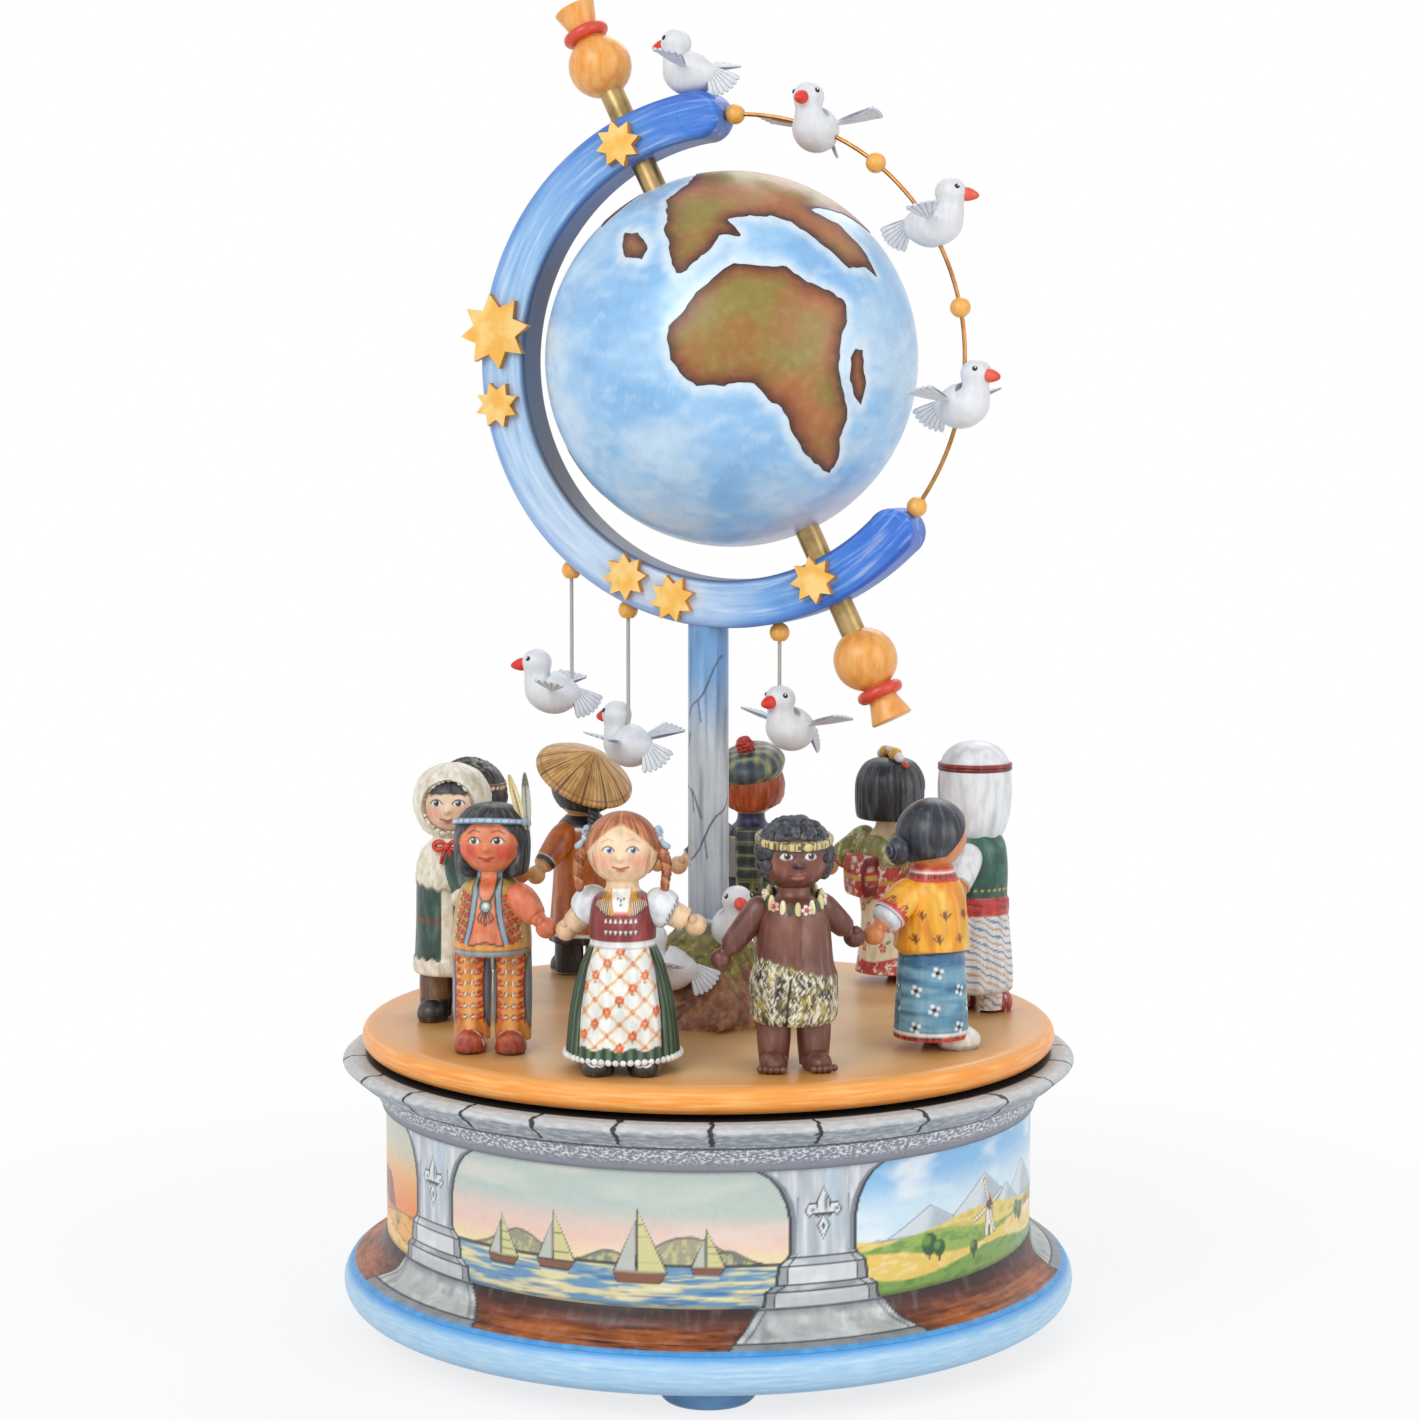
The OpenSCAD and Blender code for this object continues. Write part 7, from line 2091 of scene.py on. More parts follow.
def carve_kimono_girl():
    kid = Child("kimono_girl")

    def silk(c, u, z):
        c.fill("efe2c2")
        c.put(rise(0.5, 0.7, marks(u, z, 0.6, 0.3, 2.4, 4)), "f8f1de", 0.8)
        for k in range(9):
            for j in range(4):
                c.flower((k - 4) * 6.9 + 3.4 * (j % 2), 11.5 + 6.0 * j, 0.95, "cf3b34", "f2c14a")
                c.oval((k - 4) * 6.9 + 3.4 * (j % 2) + 2.2, 13.2 + 6.0 * j, 0.9, 0.4, "7e8c46", 0.15, 0.6)

    def body(c, a, z, r):
        u = c.u
        silk(c, u, z)
        low = rise(8.2 + 0.8 * np.sin(a * 3), 7.6 + 0.8 * np.sin(a * 3), z)
        c.put(low, "c23a34")
        c.put(low * rise(0.6, 0.7, marks(u, z, 1, 1, 0.9, 6)), "f4e6dc")
        c.band(26.4, 36.4, "c8443c")
        c.put((z > 26.5) * (z < 36.3) * rise(0.58, 0.68, marks(u, z, 1, 1, 1.2, 9)), "f6ece2")
        c.band(30.6, 32.0, "e0a848")
        c.put((z > 36.4) * 1.0, "8e8a4c")
        c.put((z > 36.4) * rise(0.54, 0.62, marks(u, z, 1, 1, 2.0, 5)), "d9d6a4", 0.9)
        for s in (-1, 1):
            c.line([(s * 4.2, 47), (s * 1.4, 41), (-s * 1.0, 36.4)], 1.3, "f3ede0")
        c.put(rise(45.2, 45.6, z), "efcfa8")

    m = kid.turned(Model(), [[10.4, 3.2], [10.8, 3.6], [10.2, 6], [9.0, 18], [9.3, 26], [9.9, 26.8],
        [10.0, 36], [9.5, 36.6], [8.4, 43], [4.6, 47.6], [4.4, 53]], body,
        lambda a, z, r: rise(26, 20, z) * folds(a, 9, -0.3), 200)
    # Bow of the obi: a padded box with a pattern
    s = np.linspace(0, 1, 26)[:, None]
    t = np.linspace(0, 2 * math.pi, 72, endpoint=False)[None]
    x = 7.4 * np.sign(np.cos(t)) * abs(np.cos(t)) ** 0.45 * (0.86 + 0.14 * np.sin(np.pi * s) ** 0.4)
    y = 9.2 + 4.1 * np.sign(np.sin(t)) * abs(np.sin(t)) ** 0.5 * (0.8 + 0.2 * np.sin(np.pi * s) ** 0.4)
    z = 27.0 + 12.5 * s + 0 * t
    c = Canvas(x, z, "c8443c")
    c.put(rise(0.58, 0.66, marks(x + y, z, 1, 1, 1.3, 3)), "f7ece4")
    c.put(rise(0.6, 0.7, marks(x - y, z, 1, 1, 1.5, 13)), "8f2622", 0.8)
    c.band(32.2, 33.8, "e6b256")
    c.line([(-7, 27.6), (-7, 39)], 0.6, "7d1f1e")
    m.grid(np.stack([x, y + 0 * s, z], -1), c.c)
    kid.make("kimono", m, "body")
    m = Model()
    kid.shoes(m, 4.4, 11, 5.6, -6, 0, lambda c, x, y, z: c.fill("f2efe8").put(rise(1.9, 1.7, z), "b98a58"))
    kid.make("shoes", m)

    def sleeve(c, t, n):
        skin_shade(c, "efcfa8", n)
        c.only = rise(n - 4.0, n - 4.3, c.v)
        c.fill("857f42")
        swirl = marks(c.u + 2 * np.sin(c.v * 0.8), c.v + 1.4 * np.sin(c.u), 1, 1, 2.2, 3)
        c.put(fall(0.02, 0.05, abs(swirl - 0.5)), "e3dfb4", 0.9)
        c.put(rise(0.62, 0.7, swirl), "c9c489", 0.8)
        c.put(rise(n - 5.4, n - 5.1, c.v), "c23a34")

    kid.arms(8.4, 43, 34, 34, 4.6, 3, sleeve,
        lambda n: [[0.1, -3.9], [3.4, -2.9], [4.6, 0.2], [4.4, n * 0.3], [4.3, n * 0.6], [3.9, n - 4.5],
        [3.5, n - 4.1], [2.3, n - 3.9], [2.2, n - 3.4]])
    kid.make("head_painted", kid.head(58.4, "f3d6b0", "eda58c", "c4333a", "1e1614", "1a1618", None, None),
        "head")

    def bob(c, a, z, r):
        s = marks(a * 9, z, 1.4, 0.08, 1.2, 3)
        c.fill("1d1e23").strokes(s, (0.54, 0.7, "565b66", 0.8), (0.45, 0.3, "08090b", 0.8))

    hole = face_hole(6.8, -3.0)
    m = kid.turned(Model(), [[7.4, -8.6], [8.8, -8.4], [10.3, -7.4], [10.8, -2], [10.4, 4], [8, 8.4],
        [4.4, 10.2], [1, 10.6], [0.1, 10.6]], bob,
        lambda a, z, r: hole(a, z, r) + folds(a, 40, -0.18), 200, at=seat(0, 0, 58.4))
    m.tube([(-6.4, 0, 69.2), (0, 0.3, 70.1), (6.4, 0, 69.2)], [1.0, 1.1, 1.0], "c8332c", 12)
    for k in (-1, 1):
        m.ball((k * 3.7, 0, 70.0), 2.1, "e2b24a", 14, 20)
        m.ball((k * 6.6, 0, 69.3), 1.5, "f6f2ea", 12, 16)
        m.ball((k * 1.1, -0.2, 71.0), 1.2, "f6f2ea", 10, 14)
        m.ball((k * 8.2, -1.4, 67.0), 1.1, "d8422f", 10, 14)
    kid.make("bob_painted", m)


class MUSICBOX_OT_kimono_girl(bpy.types.Operator):
    """Girl with a black bob, beads, a flowered kimono and a red obi."""

    bl_idname = "musicbox.kimono_girl"
    bl_label = "Kimono girl"

    def execute(self, context):
        carve_kimono_girl()
        return {"FINISHED"}


def plaid(c, u, v, pitch, ground, stripe, line):
    """Crossed stripes with thin bright lines."""
    c.fill(ground)
    for w in (u, v):
        k = abs((w / pitch) % 1 - 0.5) * pitch
        c.put(rise(pitch * 0.22, pitch * 0.16, k), stripe, 0.62)
        c.put(fall(0.1, 0.28, abs(k - pitch * 0.42)), line, 0.75)


def carve_tam_boy():
    kid = Child("tam_boy")
    ground, stripe, line = "4c5d58", "242f4c", "a9a45c"

    def body(c, a, z, r):
        plaid(c, c.u, z, 4.4, ground, stripe, line)
        # Painted shade in the pleats of the kilt
        c.put(rise(-0.4, -0.95, np.cos(a * 26)) * (z < 29), "141a24", 0.5)
        top = rise(28.6, 29.0, z)
        c.put(top, "8a919b")
        c.put(top * rise(0.5, 0.7, marks(c.u, z, 0.5, 0.8, 2, 2)), "a7aeb6", 0.8)
        c.put(top * fall(0.2, 0.45, abs(c.u)) * (z < 44), "3a4048", 0.9)
        c.dots(34.0, 60, 0.6, "e3bf4e")
        c.dots(38.0, 60, 0.6, "e3bf4e")
        c.band(28.4, 29.8, "2b2f36")
        c.put(rise(41.6, 41.9, z), "27305a")
        c.band(41.7, 42.2, "e3bf4e", 0.1)
        c.put(rise(50.4, 50.8, z), "f3cfa8")

    m = kid.turned(Model(), [[9.6, 14.6], [10.3, 15], [10.6, 17], [9.8, 25], [8.9, 28.8], [9.2, 30],
        [9.2, 37], [8.3, 43], [4.6, 46.6], [4.4, 52]], body,
        lambda a, z, r: rise(28, 22, z) * folds(a, 26, -0.45), 210)
    kid.make("body_painted", m, "body")
    # Scarf over the shoulder with a fringe
    s = np.linspace(0, 1, 50)[:, None]
    t = np.linspace(0, 2 * math.pi, 48, endpoint=False)[None]
    x = 4.2 * np.sign(np.cos(t)) * abs(np.cos(t)) ** 0.5 + 0 * s
    y = 3.4 * np.sign(np.sin(t)) * abs(np.sin(t)) ** 0.6 + 0.3 * np.sin(s * 9) + 0 * t
    z = 20.0 * s + 0 * t
    c = Canvas(x, z, "ffffff")
    plaid(c, x, z, 4.0, "3b4a44", "1b2433", "8f9468")
    fringe = rise(3.4, 3.1, z)
    c.put(fringe * (abs((x + y) % 1.1 - 0.55) > 0.3), "8f9468")
    c.put(fringe * (abs((x + y) % 1.1 - 0.55) < 0.28), "141a2a")
    p = np.stack([x, y * (0.7 + 0.3 * np.sin(np.pi * np.clip(s, 0.05, 0.95))), z], -1)
    kid.make("scarf", Model().grid(turned_about(p, (1, 0, 0), -4) + np.array([-0.8, 7.4, 25.2]), c.c))
    m = Model()

    def sock(c, a, z, r):
        c.fill("efe6d4")
        k = abs(((c.u + z * 1.2) / 3.2) % 1 - 0.5) + abs(((c.u - z * 1.2) / 3.2) % 1 - 0.5)
        c.put(rise(0.62, 0.7, k), "a83a30", 0.9)
        c.band(11.0, 12.6, "41544e")
        c.put(rise(12.5, 12.8, z), "f0c8a2")

    kid.legs(m, 4.8, 3.7, 3.9, 1, 16.6, sock)
    kid.shoes(m, 5.2, 12, 6, -3, 8,
        lambda c, x, y, z: c.put(rise(0.5, 0.7, mottle(np.stack([x, y, z], -1), 2, 1)), "3c3b40", 0.6))
    kid.make("legs_painted", m)

    def sleeve(c, t, n):
        skin_shade(c, "f3cfa8", n)
        c.only = rise(n - 4.0, n - 4.3, c.v)
        c.fill("8a919b").put(rise(0.5, 0.7, marks(t, c.v, 3, 0.3, 1.5, 3)), "a7aeb6", 0.8)
        c.put(rise(n - 6.0, n - 5.8, c.v), "27305a").put(fall(0.1, 0.3, abs(c.v - n + 5.9)), line)

    kid.arms(8.2, 42.6, 33, 33, 4, 2.4, sleeve)
    line_of = hairline((0, 4.6), (50, 3.8), (75, -0.5), (95, -5.0), (180, -7.2))
    kid.make("head_painted", kid.head(57.4, "f6d2ac", "f0a080", "c4604c", "4a6f8c", "9a4420",
        ("b24a20", "d9763c", "7c2c12"), line_of, 1.1,
        bumps=lambda d, over: over * 0.9 * (mottle(d * np.array([26, 26, 6.0]), 3.0, 4) - 0.4)), "head")
    tilt = seat(0, 0, 62.2, -22, 10)
    m = Model()

    def cap(c, a, z, r):
        plaid(c, r * np.sin(a), z * 0.7 - r * np.cos(a), 3.6, "5d6f6a", stripe, line)
        c.put(rise(0.2, -0.4, z), "20284a")
        c.dots(-0.9, 1.7, 0.45, "f2efe4")

    kid.turned(m, [[8.0, -1.8], [9.6, -1.4], [10.4, -0.2], [11.2, 2.2], [9.6, 5], [6.4, 6.9], [1, 7.4],
        [0.1, 7.4]], cap, None, 190, 0.3, tilt)
    kid.make("cap_painted", m)
    a = ring_angles(24)[None]
    e = np.linspace(-1.5, 1.5, 12)[:, None]
    p = kid.world(tilt(turn_points(a, 2.5 * np.cos(e), 9.0 + 2.5 * np.sin(e))).reshape(-1, 3))
    faces = ring_faces(12, 24)
    m = Model()
    m.ball(tilt(np.array([[0, 0, 9.0]]))[0], 2.55, "b5281f", 12, 18)
    kid.make("pompom_heart", m)
    tufts("tam_boy_pompom", p, faces, 2.2e6, 0.5, 1.3, ("a81f18", "e2503a"), "turntable",
        "tam_boy_paint", 5)


class MUSICBOX_OT_tam_boy(bpy.types.Operator):
    """Red-haired boy with a plaid cap, scarf and kilt."""

    bl_idname = "musicbox.tam_boy"
    bl_label = "Cap boy"

    def execute(self, context):
        carve_tam_boy()
        return {"FINISHED"}


def carve_straw_hat_child():
    kid = Child("straw_hat_child")

    def robe(c, u, z):
        c.fill("c4641f")
        s = marks(u, z, 0.8, 0.22, 2.0, 3)
        c.strokes(s, (0.5, 0.7, "df8838", 0.7), (0.46, 0.3, "9a4416", 0.6))

    def body(c, a, z, r):
        robe(c, c.u, z)
        c.put(rise(12.9, 12.6, z), "1c1b1e")
        c.band(12.7, 13.6, "f2ede2", 0.12)
        c.line([(0.6, 13), (0.6, 30), (4.8, 40), (2.2, 49)], 0.9, "1a191c")
        c.line([(1.2, 13), (1.2, 30), (5.5, 40)], 0.3, "f2ede2")
        c.put(rise(46.0, 46.3, z), "1a191c")
        c.band(45.6, 46.2, "f2ede2", 0.1)
        c.put(rise(49.6, 49.9, z), "eebf86")

    m = kid.turned(Model(), [[10.4, 10.2], [11, 10.6], [11, 12.6], [10.2, 22], [9.5, 32], [9.6, 40],
        [8.4, 46], [5.6, 49.4], [4.4, 50.5], [4.4, 54]], body,
        lambda a, z, r: rise(40, 16, z) * folds(a, 12, -0.4), 200)
    kid.make("robe", m, "body")
    m = Model()
    kid.legs(m, 5, 4.2, 4.2, 1, 12,
        lambda c, a, z, r: c.fill("1d1d21").put(rise(0.4, 1, np.cos(a * 5)), "36363c", 0.6))
    kid.shoes(m, 5.2, 12, 6.2, -3, 6, lambda c, x, y, z: c.put(rise(1.2, 0.9, z), "e9e4d8"))
    kid.make("legs_painted", m)

    def sleeve(c, t, n):
        skin_shade(c, "eebf86", n)
        c.only = rise(n - 4.0, n - 4.3, c.v)
        s = marks(t, c.v, 3, 0.3, 1.5, 3)
        c.fill("c4641f").strokes(s, (0.5, 0.7, "df8838", 0.7), (0.46, 0.3, "9a4416", 0.6))
        c.put(rise(n - 5.8, n - 5.6, c.v), "1a191c").put(fall(0.1, 0.3, abs(c.v - n + 5.8)), "f2ede2")

    kid.arms(8.4, 44, 34, 33, 4.2, 2.4, sleeve)
    line = hairline((0, 5.0), (60, 3.4), (80, -1.5), (100, -5.5), (180, -7.0))
    m = kid.head(58, "f1c48c", "e2905e", "b2503f", "1e1614", "1a1618",
        ("1c1c20", "4a4d56", "08080a"), line, 0.8)
    for strand in range(3):
        pts = []
        for t in np.linspace(0, 1, 26):
            w = 2 * math.pi * (t * 3.2 + strand / 3)
            pts.append(np.array([1.5 * t + 0.75 * math.cos(w), 8.9 + 4.0 * t + 0.75 * math.sin(w),
                55 - 14.0 * t]))
        m.tube(pts, [1.15] * 20 + [1.0, 0.9, 0.8, 0.7, 0.6, 0.4], ("1b1b1f", "2c2d33", "111114")[strand], 9,
            0.45)
    m.tube([(1.4, 12.2, 42.2), (1.6, 12.7, 41.0)], [1.6, 1.6], "c8332c", 12)
    kid.make("head_painted", m, "head")

    def straw(c, a, z, r):
        c.fill("d9a45c")
        reed = np.cos(a * 60)
        c.strokes(reed, (0.1, 1, "efc682", 0.7), (-0.3, -1, "a8702f", 0.6))
        c.put(fall(0.04, 0.1, abs((a * 12 / (2 * math.pi)) % 1 - 0.5)), "74451c", 0.85)
        c.put(rise(0.5, 0.7, marks(a * 9, r, 1.2, 0.3, 1.4, 6)), "9a6428", 0.6)
        c.put(fall(0.14, 0.34, abs(r - 14.6)), "8a5724", 0.7)

    tilt = seat(0, 0.6, 61.8, -32, -12)
    m = kid.turned(Model(), [[8.6, 0.4], [15.0, -0.6], [15.6, 0.0], [15.2, 0.8], [11.5, 3.6], [7.0, 6.2],
        [2.6, 8.4], [0.1, 9.2]], straw, None, 240, 0.35, tilt)
    kid.make("straw_hat", m)


class MUSICBOX_OT_straw_hat_child(bpy.types.Operator):
    """Child in a pointed straw hat, a queue and an orange robe."""

    bl_idname = "musicbox.straw_hat_child"
    bl_label = "Straw hat child"

    def execute(self, context):
        carve_straw_hat_child()
        return {"FINISHED"}


def carve_beaded_child():
    kid = Child("beaded_child")

    def coat(c, s):
        c.fill("8e4a34").strokes(s, (0.5, 0.7, "b56a4a", 0.8), (0.48, 0.3, "5c2a1e", 0.8))

    def body(c, a, z, r):
        coat(c, marks(c.u, z, 0.8, 0.3, 2, 3))
        for row, col in ((16.0, "f1ead8"), (18.0, "4f8fa8"), (20.0, "e0b24a"), (36.0, "f1ead8")):
            c.dots(row, 1.6, 0.5, col)
        c.band(8.8, 12.2, "efe9dc")
        c.put(rise(0.46, 0.3, marks(c.u, z, 1.4, 0.6, 1.1, 5)) * (z < 12), "b3a892", 0.8)
        c.put(rise(49.2, 49.6, z), "cf8a58")

    m = kid.turned(Model(), [[9.6, 8.8], [10.6, 9.4], [10.9, 11], [9.9, 24], [9, 32], [9.2, 40], [8, 46],
        [4.6, 49.6], [4.4, 54]], body,
        lambda a, z, r: rise(12.4, 11.8, z) * 0.7 * marks(a * r, z, 1, 1, 1.4, 5), 190)
    kid.make("coat", m, "body")
    m = Model()
    kid.legs(m, 4.8, 4, 4, 1, 10.6, lambda c, a, z, r: c.fill("6d5138"))
    kid.shoes(m, 5, 12, 6, -3, 8,
        lambda c, x, y, z: c.fill("a06a42").put(fall(0.3, 0.6, abs(y - 1)), "f1ead8", 0.9))
    kid.make("legs_painted", m)

    def sleeve(c, t, n):
        skin_shade(c, "cf8a58", n)
        on = rise(n - 4.0, n - 4.3, c.v)
        keep_c = c.c.copy()
        coat(c, marks(t, c.v, 3, 0.3, 1.5, 3))
        c.c = keep_c + (c.c - keep_c) * on[..., None]
        c.put(on * rise(n - 6.8, n - 6.4, c.v), "efe9dc")

    kid.arms(8.4, 44, 34, 35, 4, 2.4, sleeve, part="sleeves", stands_for=None)
    line = hairline((0, 4.4), (55, 3.4), (75, -1.5), (95, -6.0), (180, -7.2))
    spikes = lambda d, over: over * (0.7 + 1.1 * mottle(d * np.array([22, 22, 9.0]), 2.6, 4))
    m = kid.head(60, "d4905c", "c46a44", "a8483a", "2a1a12", "1e1614", ("241c1a", "4e4340", "0f0c0c"), line,
        0.7, bumps=spikes, parting=False)

    def band(c, a, z, r):
        c.fill("7a4a2a")
        c.dots(0.0, 1.9, 0.55, "f1ead8")

    kid.turned(m, [[10.2, -1.3], [11.0, -1.2], [11.2, 0], [10.9, 1.2], [10.0, 1.3]], band, None, 150, 0.3,
        seat(0, 0, 63.8, -6), smooth=False)
    kid.make("head_painted", m, "head")


class MUSICBOX_OT_beaded_child(bpy.types.Operator):
    """Child with a beaded headband, a fringed coat and fur cuffs."""

    bl_idname = "musicbox.beaded_child"
    bl_label = "Beaded child"

    def execute(self, context):
        carve_beaded_child()
        return {"FINISHED"}


def carve_hood_child():
    kid = Child("hood_child")

    def fur(c, on, u, v, seed=3):
        c.put(on, "ece3cf")
        s = marks(u, v, 1.3, 0.7, 1.3, seed)
        c.strokes(s, (0.52, 0.66, "f6f1e4", 0.9), (0.45, 0.3, "cbbd9f", 0.6), on=on)

    def body(c, a, z, r):
        u = c.u
        c.fill("28463a")
        s = marks(u, z, 0.8, 0.3, 1.8, 5)
        c.strokes(s, (0.5, 0.7, "44695a", 0.7), (0.48, 0.3, "12241d", 0.8))
        wave = 0.4 * np.sin(u * 1.7)
        fur(c, rise(18.6, 18.2, z + wave), u, z)
        fur(c, fall(1.5, 1.9, abs(u) + wave * 0.5) * (z < 40), u, z, 8)
        hem = z - 39.3 + 0.9 * np.cos(a * 2) + wave
        fur(c, rise(-0.3, 0.3, hem), u, z, 12)
        c.put(fall(0.2, 0.6, abs(hem)), "8d7d62", 0.7)
        c.band(28.6, 30.2, "5a3a22", much=(abs(u) > 1.8) * 1.0)

    lump = lambda a, z, r: (rise(19, 18, z) + rise(38.6, 40.1, z) * rise(50.6, 48.6, z)) * (0.9
        * marks(a * r, z, 1, 1, 1.5, 5) - 0.1)
    m = kid.turned(Model(), [[9.6, 13.6], [10.6, 14], [11, 16.4], [10.5, 28], [10.3, 38], [9.6, 45.6],
        [7.2, 50.6], [5.6, 52.2], [5.4, 56.6]], body, lump, 210)
    kid.make("coat", m, "body")
    m = Model()
    kid.legs(m, 5, 4.4, 4.6, 1, 16,
        lambda c, a, z, r: c.fill("6b4a30").put(rise(0.5, 0.7, marks(c.u, z, 1, 0.4, 1.4, 2)), "8d6a48",
        0.8).put(rise(6.2, 5.9, z), "17171a"))

    def boot(c, x, y, z):
        c.put(rise(0.5, 0.7, mottle(np.stack([x, y, z], -1), 2, 1)), "38383c", 0.6)
        for k in range(4):
            c.put(fall(0.12, 0.3, abs(y - 1.6 + 1.2 * k - 0.35 * abs(x))) * (abs(x) < 1.9) * (z > 2.4),
                "d8d2c4", 0.9)
        c.put(rise(0.9, 0.6, z), "5a3a22")

    kid.shoes(m, 5.4, 12.5, 6.2, -3, 6, boot)
    kid.make("legs_painted", m)

    def sleeve(c, t, n):
        skin_shade(c, "f0d0b0", n)
        c.only = rise(n - 4.0, n - 4.3, c.v)
        s = marks(t, c.v, 3, 0.3, 1.5, 3)
        c.fill("28463a").strokes(s, (0.5, 0.7, "44695a", 0.7), (0.48, 0.3, "12241d", 0.8))
        fur(c, rise(n - 7.0, n - 6.6, c.v), c.u, c.v)

    kid.arms(8.6, 46, 32, 33, 4.4, 2.4, sleeve,
        lambda n: [[0.1, -3.8], [3.2, -2.8], [4.4, 0.2], [4.3, n * 0.3], [3.6, n - 7.0], [4.0, n - 6.6],
        [4.0, n - 4.6], [2.5, n - 4.1], [2.3, n - 3.6]])
    line = hairline((0, 3.4), (40, 3.0), (62, 1.0), (75, -3), (180, -7))
    kid.make("head_painted", kid.head(62.2, "f3d6b6", "ee9d84", "c9685a", "3a2a20", "2a221e",
        ("1b1b1f", "44474f", "09090b"), line, 0.5, parting=False), "head")

    def hood(c, a, z, r):
        fur(c, np.ones_like(z), a * 9, z, 4)
        d = np.hypot(r * np.sin(a), z + 0.6)
        # Painted shade inside the face opening, between the fur and the face
        c.put(fall(7.4, 8.0, d) * (np.cos(a) > 0), "8d7a5c", 0.9)

    hole = face_hole(7.6, -0.6)
    m = kid.turned(Model(), [[4.6, -9.8], [5.6, -9.6], [9, -6.9], [11.2, -1], [10.5, 4.6], [7.8, 8.7],
        [3.6, 10.9], [0.6, 11.4], [0.1, 11.4]], hood,
        lambda a, z, r: hole(a, z, r) + 0.7 * (marks(a * 9, z, 1, 1, 2.2, 6) - 0.5), 180,
        at=seat(0, 0.6, 62.2))
    for k in (-1, 1):
        m.tube([(0, -9.3, 50.9), (k * 1.8, -9.9, 52.2), (k * 3.6, -9.4, 51.5), (k * 3.2, -9.4, 50.0),
            (k * 1.4, -9.7, 50.2), (0, -9.4, 50.9)], [0.45, 0.75, 0.85, 0.8, 0.7, 0.45], "cf3a2f", 10, 0.4)
        m.tube([(k * 0.3, -9.6, 50.6), (k * 1.2, -10.4, 48.0), (k * 1.7, -10.6, 46.0)], [0.6, 0.62, 0.5],
            "b92c24", 8, 0.4)
    m.ball((0, -9.9, 50.9), 1.05, "d9493c", 10, 14)
    kid.make("hood_painted", m)
    t = np.linspace(0, 2 * math.pi, 60, endpoint=False)
    w = np.linspace(-0.9, 0.9, 6)[:, None]
    x, z = (8.1 + w) * np.cos(t), (8.1 + w) * np.sin(t) - 0.6
    y = -np.sqrt(np.maximum(10.4**2 - x**2 - (z * 0.9) ** 2, 4.0)) + 1.0
    p = kid.world(np.stack([x, y, z + 62.2], -1).reshape(-1, 3))
    faces = ring_faces(6, 60)
    tufts("hood_child_fur_edge", p, faces, 1.6e6, 0.95, 0.8, ("cdbf9f", "fdfaf0"), "turntable",
        "hood_child_paint", 4)


class MUSICBOX_OT_hood_child(bpy.types.Operator):
    """Child in a fur hood, a cape with a bow and a dark green coat."""

    bl_idname = "musicbox.hood_child"
    bl_label = "Hood child"

    def execute(self, context):
        carve_hood_child()
        return {"FINISHED"}


